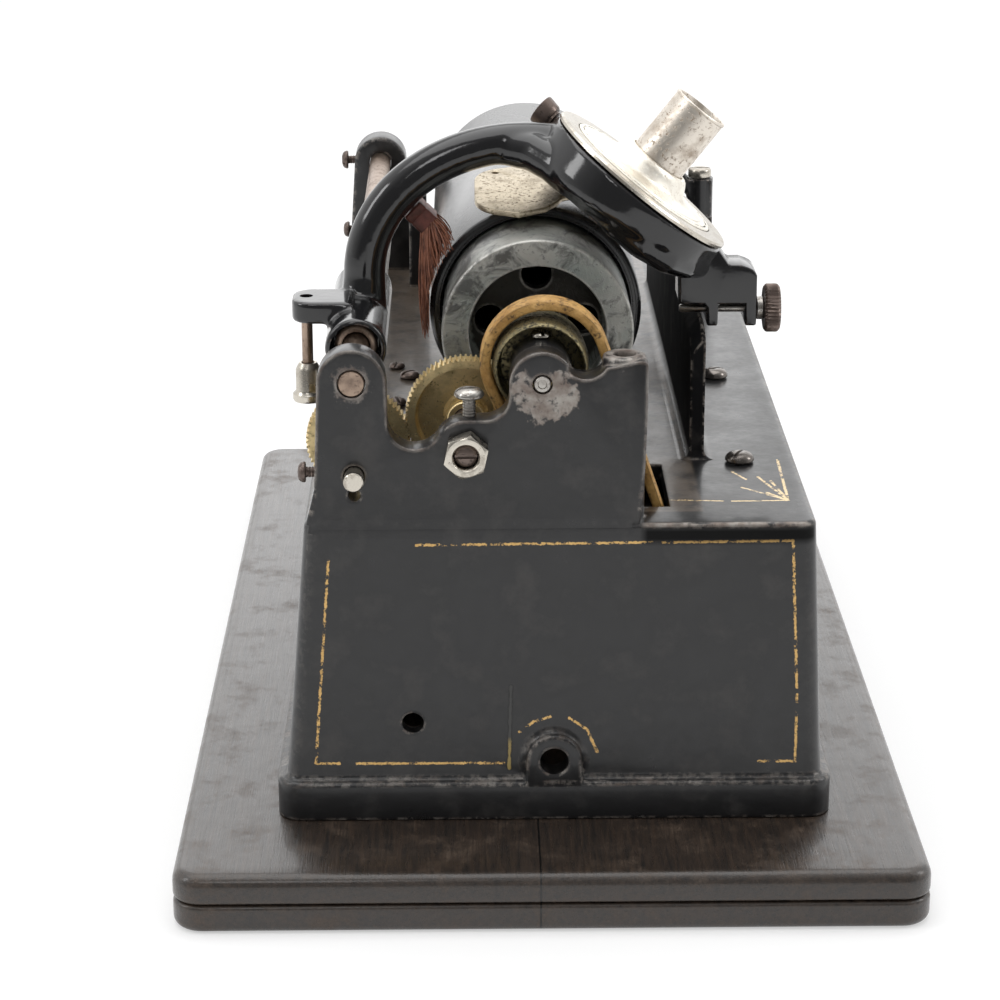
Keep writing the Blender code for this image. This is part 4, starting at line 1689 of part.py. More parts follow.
def make_governor_weights(axis, hub_far, collar):
    """Three weights on bowed leaf springs, whose ends are bands round the hub and the disc's collar."""
    low = GOVERNOR_HUB_RADIUS + 2 * FIT_GAP
    band = low + LEAF_SPRING_THICK
    near = hub_far - GOVERNOR_HUB / 2
    far = collar + GOVERNOR_HUB / 2
    cage = turned([(low, near), (band, near), (band, hub_far), (low, hub_far)], SMALL_ROUND, True)
    cage = as_object("governor_weights", cage)
    far_band = turned([(low, collar), (band, collar), (band, far), (low, far)], SMALL_ROUND, True)
    cage = with_added(cage, far_band)
    middle = (hub_far + collar) / 2
    radius = GOVERNOR_BALL_RADIUS
    half = radius / 2
    for step in range(GOVERNOR_COUNT):
        turn = Matrix.Rotation(2 * math.pi * step / GOVERNOR_COUNT, 4, "Y")
        ball = turned([(half, middle - radius), (radius, middle - half), (radius, middle + half),
                       (half, middle + radius)], TINY_ROUND)
        side = [(near, low + FIT_GAP), (hub_far, low + FIT_GAP), (middle - half, GOVERNOR_BALL_CIRCLE),
                (middle + half, GOVERNOR_BALL_CIRCLE), (collar, low + FIT_GAP), (far, low + FIT_GAP)]
        upper = [(y, z + LEAF_SPRING_THICK) for y, z in reversed(side)]
        leaf = lofted([[(x, y, z) for y, z in side + upper] for x in (-half, half)])
        cage = with_added(cage, placed(leaf, turn), placed(shifted(ball, 0, 0, GOVERNOR_BALL_CIRCLE), turn))
    cage.data.transform(Matrix.Translation((MOTOR_X, 0, -MOTOR_DROP)))
    handed(cage, "old_brass", axis)


def brake_shapes(back):
    """The strip on the far bell and the pad at its end that rubs the governor's disc."""
    top = -MOTOR_DROP - GOVERNOR_DISC_RADIUS - BRAKE_PAD
    half = BRAKE_WIDTH / 2
    rub = GOVERNOR_DISC_Y + GOVERNOR_DISC + FIT_GAP
    end = rub + BRAKE_PAD
    strip = block((MOTOR_X - half, back - BODY_STEP, top - BRAKE_THICK), (MOTOR_X + half, end, top))
    pad = block((MOTOR_X - half, rub, top - FIT_GAP), (MOTOR_X + half, end, top + 2 * BRAKE_PAD))
    return strip, pad


def main():
    """Clears the scene and models every piece."""
    for thing in list(bpy.data.objects):
        bpy.data.objects.remove(thing)
    height = LOWER_BOARD + FIT_GAP + TOP_BOARD + AXIS_ABOVE_BOARD
    datum = holder("shaft_datum", (-BASE_CENTRE_X, -BASE_CENTRE_Y, height))
    make_plinth(datum)
    make_body(datum)
    make_side_screws(datum)
    make_rod_thumb_screw(datum)
    make_fixed_fittings(datum)
    make_mandrel(datum)
    make_feed_train(datum)
    make_belt(datum)
    make_carriage(datum)
    make_gate(datum)
    make_motor(datum)


main()
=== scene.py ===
"""Looks of an office cylinder phonograph: japanned iron on a black wood plinth, with a nickel sound box.

Metres, +Z up, in the part's own frame. Pieces are shaped about the shaft datum, where X runs right of the
mandrel's axis, Y away from the near wall's face and Z above the axis, and are then put in their place.
"""

import json
import math
import random

import bmesh
import bpy
from mathutils import Matrix, Vector
from mathutils.kdtree import KDTree


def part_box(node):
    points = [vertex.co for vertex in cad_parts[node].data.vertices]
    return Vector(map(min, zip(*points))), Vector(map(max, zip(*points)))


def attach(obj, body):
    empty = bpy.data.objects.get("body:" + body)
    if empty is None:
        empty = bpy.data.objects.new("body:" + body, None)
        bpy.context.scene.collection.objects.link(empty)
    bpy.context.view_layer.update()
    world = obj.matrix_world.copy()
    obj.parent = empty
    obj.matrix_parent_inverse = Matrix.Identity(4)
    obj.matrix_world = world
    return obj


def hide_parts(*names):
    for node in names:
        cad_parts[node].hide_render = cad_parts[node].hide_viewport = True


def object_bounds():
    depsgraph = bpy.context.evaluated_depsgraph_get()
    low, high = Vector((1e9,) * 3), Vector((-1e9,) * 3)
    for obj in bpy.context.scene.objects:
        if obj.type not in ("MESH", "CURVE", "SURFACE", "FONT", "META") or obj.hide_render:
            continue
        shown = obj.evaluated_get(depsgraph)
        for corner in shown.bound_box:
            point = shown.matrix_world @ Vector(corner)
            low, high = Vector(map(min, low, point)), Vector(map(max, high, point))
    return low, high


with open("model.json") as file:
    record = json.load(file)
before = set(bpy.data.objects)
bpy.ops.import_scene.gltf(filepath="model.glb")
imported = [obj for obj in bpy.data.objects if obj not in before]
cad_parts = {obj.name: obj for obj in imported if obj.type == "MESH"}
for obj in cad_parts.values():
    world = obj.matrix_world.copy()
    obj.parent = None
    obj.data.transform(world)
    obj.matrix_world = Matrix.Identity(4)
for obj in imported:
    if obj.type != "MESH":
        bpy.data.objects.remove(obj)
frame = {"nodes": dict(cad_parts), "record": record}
cad_low, cad_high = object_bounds()

# Datum and general sizes
wax_low, wax_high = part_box("wax_cylinder")
DATUM = Vector(((wax_low.x + wax_high.x) / 2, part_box("back_rod")[0].y, (wax_low.z + wax_high.z) / 2))
WELD = 0.000002
CLEAR = 0.0003
OVERRUN = 0.002
ROUND = 112
MEDIUM = 64
SMALL = 36
TUBE_SIDES = 24
SMOOTH_DEG = 38
ALONG_Y = Matrix.Rotation(-math.pi / 2, 4, "X")
ACROSS = Vector((0, 1, 0))

# Camera, fitted to the photograph's perspective
CAMERA_PLACE = Vector((-0.01871, -0.69432, 0.20344))
CAMERA_PITCH = 0.325224
CAMERA_YAW = 0.011325
CAMERA_ROLL = -0.002443
CAMERA_LENS = 102.77
SENSOR = 36.0
CLIP_START = 0.01

# Plinth, from the datum
BOARD_TOP_Z = -0.1193
TOP_BOARD = 0.0078
LOWER_BOARD = 0.0077
BOARD_GAP = 0.0003
PLINTH_LEFT = -0.09565
PLINTH_RIGHT = 0.09965
PLINTH_NEAR = -0.037
PLINTH_FAR = 0.327
PLINTH_CORNER = 0.0078
TOP_ROUND = 0.0034
LOWER_ROUND = 0.0026
GROOVE_ROUND = 0.0012
JOINT_X = -0.0010

# Body of the casting
BODY_FAR = 0.290
BODY_LEFT_TOP = -0.0615
BODY_RIGHT_TOP = 0.0710
BODY_LEFT_FOOT = -0.0675
BODY_RIGHT_FOOT = 0.0745
BODY_STEP = 0.0005
BODY_WALL = 0.0045
BODY_CORNER = 0.0042
BODY_LEAST_CORNER = 0.0008
BODY_WAIST_Z = -0.085
DECK_Z = -0.0372
DECK_THICK = 0.0045
DECK_ROUND = 0.0014
DECK_FOOT_Z = DECK_Z - CLEAR
FOOT_Z = -0.1190
FLANGE_TOP_Z = -0.1086
FLANGE_REACH = 0.0026
FLANGE_ROUND = 0.0012
CABLE_HOLE = (0.0033, -0.1026)
CABLE_HOLE_RADIUS = 0.0038
CABLE_BOSS_RADIUS = 0.0073
CABLE_FOOT_SPREAD = 0.0006
CABLE_FLARE = 0.0022
CABLE_FLARE_DEPTH = 0.0016
OIL_HOLE = (-0.0339, -0.0924)
OIL_HOLE_RADIUS = 0.0029
PIT_LEFT = -0.0570
PIT_RIGHT = 0.0339
PIT_NEAR = 0.0130
PIT_FAR = 0.0490

# Rod and gear train
ROD_X = -0.0485
ROD_RISE = 0.0004
ROD_RADIUS = 0.00345
ROD_FAR = 0.2820
ROD_EASE = 0.0003
INTER_X = -0.0195
INTER_Z = -0.0177
FEED_X = -0.0482
MANDREL_TEETH = 48
INTER_TEETH = 72
FEED_TEETH = 62
MODULE = 2 * math.hypot(INTER_X, INTER_Z) / (MANDREL_TEETH + INTER_TEETH)
FEED_MESH = MODULE * (INTER_TEETH + FEED_TEETH) / 2
FEED_Z = INTER_Z - math.sqrt(FEED_MESH ** 2 - (FEED_X - INTER_X) ** 2)
GEAR_NEAR = 0.0303
GEAR_FAR = 0.0353
TOOTH_SHARES = ((-0.30, -0.80), (-0.13, 0.62), (0.13, 0.62), (0.30, -0.80))
RIM_SHARE = 1.1
GEAR_BORE = 0.0034
GEAR_HUB = 0.0050
FEED_GEAR_BORE = 0.0024

# Near wall with its bosses
WALL_FAR = 0.0080
THICK_WALL_FAR = 0.0126
WALL_EASE = 0.0011
WALL_RIGHT = 0.0262
WALL_LEFT_EDGE = [(-0.0610, DECK_FOOT_Z), (-0.0598, -0.0330), (-0.0585, -0.0277)]
WALL_RIGHT_EDGE = [(0.0246, 0.0060), (0.0262, 0.0058), (0.0269, 0.0050), (0.0269, -0.0080),
                   (0.0264, -0.0230), (0.0254, DECK_FOOT_Z)]
VALLEY_PLACE = (-0.0326, -0.0102)
VALLEY_RADIUS = 0.0069
STUD_BOSS_RADIUS = 0.0082
SHAFT_BOSS_RADIUS = 0.0084
SHOULDER_RUN = 0.0049
SHOULDER_Z = -0.0095
SADDLE_PLACE = (0.0110, 0.0072)
SADDLE_RADIUS = 0.0060
THICK_INSET = 0.0007
THICK_RIGHT = 0.0269
THICK_TOP_Z = 0.0043
THICK_FOOT_Z = -0.0150
LIP_REACH = 0.0006
LIP_DEPTH = 0.0009
LIP_END = 0.0030
LIP_FAR = 0.0050
FOLD_RISE = 0.0090
FOLD_DROP = 0.0022
FOLD_FAR = 0.0020
FOLD_LEFT_TOP = -0.0580
FOLD_LEFT_FOOT = -0.0603
BEARING_RADIUS = 0.0080
BEARING_FAR = 0.0200
SHAFT_END_RADIUS = 0.0026
SHAFT_END_FAR = 0.0050
BEARING_BORE = 0.0043
BEARING_BORE_NEAR = 0.0030
STUD_HOLE_RADIUS = 0.0032
FEED_HOLE_RADIUS = 0.00285
DOWEL_HOLE_RADIUS = 0.0017
DOWEL_DROP = 0.0051
RIGHT_PAD_X = 0.0210
RIGHT_PAD_Y = 0.0062
RIGHT_PAD_TOP = 0.0064
RIGHT_PAD_RADIUS = 0.0056
RIGHT_PAD_HOLE = 0.0031
RIGHT_PAD_DEPTH = 0.0090

# Upright, rail and gate
UPRIGHT_NEAR = 0.2700
UPRIGHT_RADIUS = 0.0088
UPRIGHT_LEFT_SPREAD = 0.0025
UPRIGHT_RIGHT_SPREAD = 0.0030
RAIL_LEFT = 0.0418
RAIL_RIGHT = 0.0458
RAIL_NEAR = 0.0530
RAIL_FAR = 0.2460
RAIL_TOP = 0.0001
RAIL_SLOPE = 0.0040
RAIL_NOSE_RUN = 0.0070
RAIL_NOSE_DROP = 0.0036
RAIL_FILLET = 0.0030
HINGE_X = 0.0600
HINGE_Y = 0.2570
HINGE_RADIUS = 0.0045
GATE_POST_TOP = -0.0160
GATE_NEAR = 0.2530
GATE_FAR = 0.2610
GATE_LEFT = -0.0385
GATE_TIP_RADIUS = 0.0050
STOP_RIGHT = -0.0325
STOP_NEAR = 0.2460
STOP_FAR = 0.2520
STOP_TOP = 0.0050

# Screws
SLOT_HALF = 0.00045
SLOT_DEPTH = 0.0011
SHANK_REACH = 0.0060
THREAD_PITCH = 0.0007
SCREW_SHARES = ((0.92, 0), (1, 0.16), (0.985, 0.38), (0.90, 0.62), (0.72, 0.84), (0.42, 0.97), (0.03, 1))
HANGER_X = 0.0555

# Mandrel, wax, pulley and belt
MANDREL_NEAR = 0.0488
MANDREL_FAR = 0.2310
MANDREL_RADIUS = 0.0260
MANDREL_TAPER = 0.0017
MANDREL_INSIDE = 0.0212
MANDREL_MOUTH = 0.0185
MANDREL_HUB = 0.0062
HUB_NEAR = 0.0600
WEB_NEAR = 0.0640
WEB_FAR = 0.0680
WEB_HOLE_RADIUS = 0.0042
WEB_HOLE_REACH = 0.0128
RECESS_RADIUS = 0.0183
SHAFT_BORE = 0.0033
WAX_NEAR = 0.0742
WAX_FAR = 0.2266
WAX_RADIUS = 0.0294
PULLEY_NEAR = 0.0138
PULLEY_FAR = 0.0290
PULLEY_RADIUS = 0.0126
PULLEY_WEB = 0.0208
MOTOR_X = 0.0312
MOTOR_Z = -0.0760
BELT_TOP = Vector((0.0012, 0.0003))
BELT_TOP_REACH = 0.0142
BELT_LOW_REACH = 0.0103
BELT_THICK = 0.0028
BELT_HALF = 0.0035
BELT_EASE = 0.00045
BELT_Y = 0.0214

# Carriage and arm
ARM_ROOT = Vector((-0.0473, 0.0628, 0.0030))
ARM_KNEE = Vector((-0.0469, 0.0636, 0.0130))
ARM_END = Vector((0.0035, 0.0700, 0.0478))
ARM_RISE = Vector((0, 0, 0.0235))
ARM_FALL = Vector((-0.0262, 0, 0.0028))
ARM_REACH_IN = 0.0060
ARM_STEPS = 26
ARM_ROOT_RADII = [0.0066, 0.0061]
ARM_RADIUS = 0.0058
ARM_TAPER = 0.0003
ARM_END_RADIUS = 0.0052
SLEEVE_RADIUS = 0.0082
SLEEVE_NEAR = 0.0322
SLEEVE_FAR = 0.0978
SLEEVE_EASE = 0.0006
SLEEVE_BORE = 0.0060
SLEEVE_RECESS = 0.0069
SLEEVE_RECESS_FAR = 0.0400
LUG_PLACE = (-0.0608, 0.0525)
LUG_HALF = 0.0030
LUG_ROUND = 0.0053
LUG_RIGHT = -0.0500
LUG_LOW = 0.0040
LUG_HIGH = 0.0100
LIFT_ROD_PLACE = (-0.0623, 0.0525)
BOW_POINTS = [Vector(place) for place in (
    (-0.0154, 0.0697, 0.0464), (-0.0081, 0.0687, 0.0470), (-0.0010, 0.0660, 0.0463),
    (0.0045, 0.0612, 0.0440), (0.0095, 0.0556, 0.0402), (0.0150, 0.0508, 0.0356),
    (0.0210, 0.0478, 0.0306), (0.0280, 0.0468, 0.0250), (0.0345, 0.0492, 0.0203),
    (0.0398, 0.0552, 0.0172), (0.0438, 0.0630, 0.0150), (0.0452, 0.0690, 0.0138))]
BOW_RADII = [0.0042, 0.0050, 0.0054, 0.0053, 0.0051, 0.0048, 0.0045, 0.0042, 0.0038, 0.0036, 0.0034, 0.0032]
GUIDE_Z = 0.0014
BLOCK_NEAR = 0.0635
BLOCK_FAR = 0.0765

# Sound box and its weight
HEAD_TILT = math.radians(38.5)
HEAD_NORMAL = Vector((math.sin(HEAD_TILT), 0, math.cos(HEAD_TILT)))
HEAD_CENTRE = Vector((0.0285, 0.0700, 0.0370))
RING_RADIUS = 0.0287
RING_BORE = 0.0246
RING_DEPTH = 0.0088
RING_EXTRA = 0.0042
COVER_RISE = 0.0019
COVER_RADIUS = 0.0226
SEAM_RADIUS = 0.0213
CUP_FLANGE = 0.0285
CUP_RADIUS = 0.0241
CUP_INSIDE = 0.0229
CUP_SEAT = 0.0003
CUP_FLANGE_THICK = 0.0012
CUP_FOOT = -0.0072
TUBE_LOW = 0.0035
TUBE_HIGH = 0.0261
TUBE_RADIUS = 0.0078
TUBE_BORE = 0.0070
TUBE_BEAD = 0.0002
LEAF_LEFT = 0.0118
LEAF_RIGHT = 0.0120
LEAF_HALF = 0.0178
LEAF_NECK = 0.0060
LEAF_NECK_END = 0.0038
LEAF_RUN = 0.0090
LEAF_CORNER = 0.0095
LEAF_CORNER_INSET = 0.0110
LEAF_HALF_THICK = 0.0008
LEAF_PLACE = (-0.0050, 0.0765, 0.0330)
LEAF_LEAN = math.radians(9)

# Brush
FERRULE_TOP = Vector((-0.0339, 0.0700, 0.0304))
FERRULE_FOOT = Vector((-0.0293, 0.0700, 0.0260))
STRANDS = 500
STRAND_ROWS = 20
STRAND_SPREAD = 0.0046
STRAND_WIDTH = 0.0078
STRAND_FAN = 1.9
STRAND_START_DEG = 136
STRAND_END_DEG = 191
STRAND_REACHES = (0.0301, 0.0315)

# Strokes of gold on the front and the deck
FRONT_Y = -0.0005
FRONT_PLACES = (
    ((-0.0325, -0.0427), (0.0648, -0.0421)),
    ((0.0648, -0.0421), (0.0670, -0.0830)),
    ((0.0671, -0.0850), (0.0672, -0.1040)),
    ((0.0672, -0.1040), (0.0575, -0.1040)),
    ((-0.0100, -0.1040), (-0.0490, -0.1039)),
    ((-0.0535, -0.1038), (-0.0597, -0.1038)),
    ((-0.0597, -0.1038), (-0.0552, -0.0465)),
    ((-0.0059, -0.0952), (-0.0022, -0.0922)),
    ((-0.0022, -0.0922), (0.0022, -0.0908)),
    ((0.0072, -0.0912), (0.0119, -0.0944)),
    ((0.0119, -0.0944), (0.0147, -0.1010)),
)
FRONT_STROKES = [((a[0], FRONT_Y, a[1]), (b[0], FRONT_Y, b[1])) for a, b in FRONT_PLACES]
FRONT_HALF = 0.00027
FRONT_BREAK = 0.478
FAN_CORNER = (0.0653, 0.0176)
FAN_PLACES = ((0.0661, 0.0525), (0.0593, 0.0375), (0.0541, 0.0286), (0.0505, 0.0172), (0.0624, 0.0340),
              (0.0604, 0.0243))
FAN_STROKES = [((*FAN_CORNER, DECK_Z), (*place, DECK_Z)) for place in FAN_PLACES]
FAN_STROKES += [((0.0522, 0.0433, DECK_Z), (0.0558, 0.0354, DECK_Z)),
                ((0.0330, 0.0186, DECK_Z), (0.0480, 0.0174, DECK_Z))]
FAN_HALF = 0.00032
FAN_BREAK = 0.450
STROKE_FRAY = 0.00022
STROKE_EDGE = 0.00012
CRACK_TOP = (-0.0081, FRONT_Y, -0.0822)
CRACK_FOOT = (-0.0086, FRONT_Y, -0.1055)

# Worn places on the casting
SHAFT_RUB = (0.0006, 0, -0.0034)
BLACK_SPOT = (-0.0010, 0, 0.0042)
RIM_LOW = -0.0270
RIM_HIGH = -0.0240
RIM_NEAR = 0.0130
RIM_FAR = 0.0140
GILT_LOW = -0.0985
GILT_HIGH = -0.0965

# Colours and coats
BLACK = (0.0080, 0.0080, 0.0088)
DULL_BLACK = (0.030, 0.028, 0.027)
CRACK_AND_SHADOW_BLACK = (0.003, 0.003, 0.003)
DUSTY_BLACK = (0.035, 0.035, 0.033)
BARE_IRON = (0.42, 0.39, 0.355)
RUST = (0.20, 0.158, 0.135)
GOLD = (0.70, 0.42, 0.13)
PALE_GOLD = (0.88, 0.55, 0.18)
FAN_GOLD = (0.88, 0.66, 0.34)
OLD_GOLD = (0.30, 0.22, 0.07)
BED_BROWN = (0.115, 0.090, 0.068)
WOOD_BLACK = (0.016, 0.0135, 0.012)
WOOD_BROWN = (0.046, 0.031, 0.022)
WOOD_SCUFF = (0.150, 0.108, 0.078)
JOINT_BLACK = (0.002, 0.002, 0.002)
JAPAN_COAT = 0.35

# Floor, room and lamps
FLOOR_TONES = ((0.540, 0.540, 0.542), (0.552, 0.552, 0.550))
FLOOR_SIZE = 9.0
FLOOR_SHIFT_SHARE = 0.30
FLOOR_GAP = 0.00002
FLOOR_MIDDLE = (0, (PLINTH_NEAR + PLINTH_FAR) / 2, cad_low.z - DATUM.z)
GLOW_START = 0.22
GLOW_END = 1.40
GLOW_FAR = 0.45
FRONT_GLOSS = 0.18
FRONT_GLOSS_RANGE = (-0.75, 0.15)
FILL_LEVEL = 0.70
LAMP_AIM = (0, 0.02, 0.10)
LAMPS = (
    ("overhead_box", (-0.10, 0.10, 1.30), (1.3, 1.1), 7.5),
    ("back_box", (0.25, 2.00, 0.95), (2.8, 1.3), 8.0),
    ("left_box", (-1.25, -0.35, 0.95), (0.35, 0.60), 3.5),
    ("right_box", (1.25, -0.10, 0.85), (0.35, 0.60), 3.5),
    ("front_box", (-0.30, -1.30, 1.25), (0.30, 0.40), 1.6),
)


# Making by hand

def begin():
    """Leaves edit mode and lets go of everything that is selected."""
    if bpy.context.mode != "OBJECT":
        bpy.ops.object.mode_set(mode="OBJECT")
    bpy.ops.object.select_all(action="DESELECT")


def started(name):
    """The primitive just added, under its own name."""
    piece = bpy.context.active_object
    piece.name = name
    piece.data.name = name
    return piece


def taken(piece):
    """Makes a piece the only one selected."""
    begin()
    piece.select_set(True)
    bpy.context.view_layer.objects.active = piece
    return piece


def applied(piece, kind, **settings):
    """A piece after one modifier."""
    taken(piece)
    modifier = piece.modifiers.new(kind.lower(), kind)
    for setting, value in settings.items():
        setattr(modifier, setting, value)
    bpy.ops.object.modifier_apply(modifier=modifier.name)
    return piece


def lathe(name, profile, steps=ROUND, ring=False):
    """A piece turned about Z from (radius, height) points, closed on itself where it is a ring."""
    begin()
    radius, height = profile[0]
    fill = "NOTHING" if ring else "NGON"
    bpy.ops.mesh.primitive_circle_add(vertices=steps, radius=radius, fill_type=fill)
    piece = started(name)
    piece.data.transform(Matrix.Translation((0, 0, height)))
    bpy.ops.object.mode_set(mode="EDIT")
    bpy.ops.mesh.select_all(action="SELECT")
    for next_radius, next_height in profile[1:] + (profile[:1] if ring else []):
        rise = (0, 0, next_height - height)
        bpy.ops.mesh.extrude_region_move(TRANSFORM_OT_translate={"value": rise})
        spread = next_radius / radius
        bpy.ops.transform.resize(value=(spread, spread, 1), center_override=(0, 0, next_height))
        radius, height = next_radius, next_height
    bpy.ops.mesh.select_all(action="SELECT")
    bpy.ops.mesh.remove_doubles(threshold=WELD)
    bpy.ops.mesh.normals_make_consistent(inside=False)
    bpy.ops.object.mode_set(mode="OBJECT")
    return piece


def lofted(name, rings, loop=False):
    """A piece drawn from ring to ring of points, each the edge of the last one moved on."""
    begin()
    fill = "NOTHING" if loop else "NGON"
    bpy.ops.mesh.primitive_circle_add(vertices=len(rings[0]), radius=1, fill_type=fill)
    piece = started(name)
    for vert, point in zip(piece.data.vertices, rings[0]):
        vert.co = point
    bpy.ops.object.mode_set(mode="EDIT")
    bpy.ops.mesh.select_all(action="SELECT")
    for before, after in zip(rings, rings[1:] + (rings[:1] if loop else [])):
        places = KDTree(len(before))
        for index, point in enumerate(before):
            places.insert(point, index)
        places.balance()
        bpy.ops.mesh.extrude_region_move()
        shape = bmesh.from_edit_mesh(piece.data)
        for vert in shape.verts:
            if vert.select:
                vert.co = after[places.find(vert.co)[1]]
        bmesh.update_edit_mesh(piece.data)
    bpy.ops.mesh.select_all(action="SELECT")
    bpy.ops.mesh.remove_doubles(threshold=WELD)
    bpy.ops.mesh.normals_make_consistent(inside=False)
    bpy.ops.object.mode_set(mode="OBJECT")
    return piece


def box_piece(name, low, high):
    """A box between two corners."""
    begin()
    bpy.ops.mesh.primitive_cube_add(size=1)
    piece = started(name)
    size = Vector(high) - Vector(low)
    middle = (Vector(high) + Vector(low)) / 2
    piece.data.transform(Matrix.Translation(middle) @ Matrix.Diagonal((*size, 1)))
    return piece


def slab(name, outline, near, far):
    """An outline of (x, z) points drawn out along Y."""
    return lofted(name, [[(x, y, z) for x, z in outline] for y in (near, far)])


def eased(piece, width, segments=3, angle=32):
    """A piece with its sharp edges rounded."""
    return applied(piece, "BEVEL", width=width, segments=segments, limit_method="ANGLE",
                   angle_limit=math.radians(angle), use_clamp_overlap=True)


def put(piece, matrix):
    """A piece moved into its place, in its mesh."""
    piece.data.transform(matrix)
    piece.data.update()
    return piece


def toward(direction, origin):
    """The matrix that turns +Z to a direction and puts a shape at an origin."""
    turn = Vector((0, 0, 1)).rotation_difference(Vector(direction))
    return Matrix.Translation(Vector(origin)) @ turn.to_matrix().to_4x4()


def on_axis(piece, x=0, z=0):
    """A turned piece laid along Y at a place in front view."""
    return put(piece, Matrix.Translation((x, 0, z)) @ ALONG_Y)


def on_head(piece):
    """A piece turned about the head's axis."""
    return put(piece, toward(HEAD_NORMAL, HEAD_CENTRE))


def with_part(piece, other, operation="UNION"):
    """A piece after a Boolean with another, which is used up."""
    applied(piece, "BOOLEAN", operation=operation, solver="EXACT", object=other)
    bpy.data.objects.remove(other)
    return piece


def less(piece, *others):
    """A piece with others cut out of it."""
    for other in others:
        with_part(piece, other, "DIFFERENCE")
    return piece


def plus(piece, *others):
    """A piece with others fused to it."""
    for other in others:
        with_part(piece, other)
    return piece


def joined(name, pieces):
    """Separate solids of one kind as one piece."""
    begin()
    for piece in pieces:
        piece.select_set(True)
    bpy.context.view_layer.objects.active = pieces[0]
    bpy.ops.object.join()
    return started(name)


def finished(piece, body, material, slot, *nodes, smooth=SMOOTH_DEG):
    """Puts a piece at the datum, shades and dresses it, and hangs it on its body."""
    put(piece, Matrix.Translation(DATUM))
    taken(piece)
    bpy.ops.object.shade_smooth_by_angle(angle=math.radians(smooth))
    piece.data.materials.clear()
    piece.data.materials.append(material)
    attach(piece, body)
    if nodes:
        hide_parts(*nodes)
    return piece


def arc(centre, radius, start_deg, end_deg, steps):
    """Points along an arc, by angle from +X."""
    points = []
    for step in range(steps + 1):
        angle = math.radians(start_deg + (end_deg - start_deg) * step / steps)
        points.append((centre[0] + radius * math.cos(angle), centre[1] + radius * math.sin(angle)))
    return points


def rounded_plan(x_low, x_high, y_low, y_high, corner, steps=8):
    """A rectangle in plan with round corners."""
    points = arc((x_high - corner, y_high - corner), corner, 0, 90, steps)
    points += arc((x_low + corner, y_high - corner), corner, 90, 180, steps)
    points += arc((x_low + corner, y_low + corner), corner, 180, 270, steps)
    points += arc((x_high - corner, y_low + corner), corner, 270, 360, steps)
    return points


def quarter_turn(steps):
    """Angles from nothing to a right angle."""
    return [math.pi / 2 * step / steps for step in range(steps + 1)]


def turned_bar(radius, low, high, ease):
    """The profile of a plain round bar with eased ends."""
    return [(radius - ease, low), (radius, low + ease), (radius, high - ease), (radius - ease, high)]


# Finishes

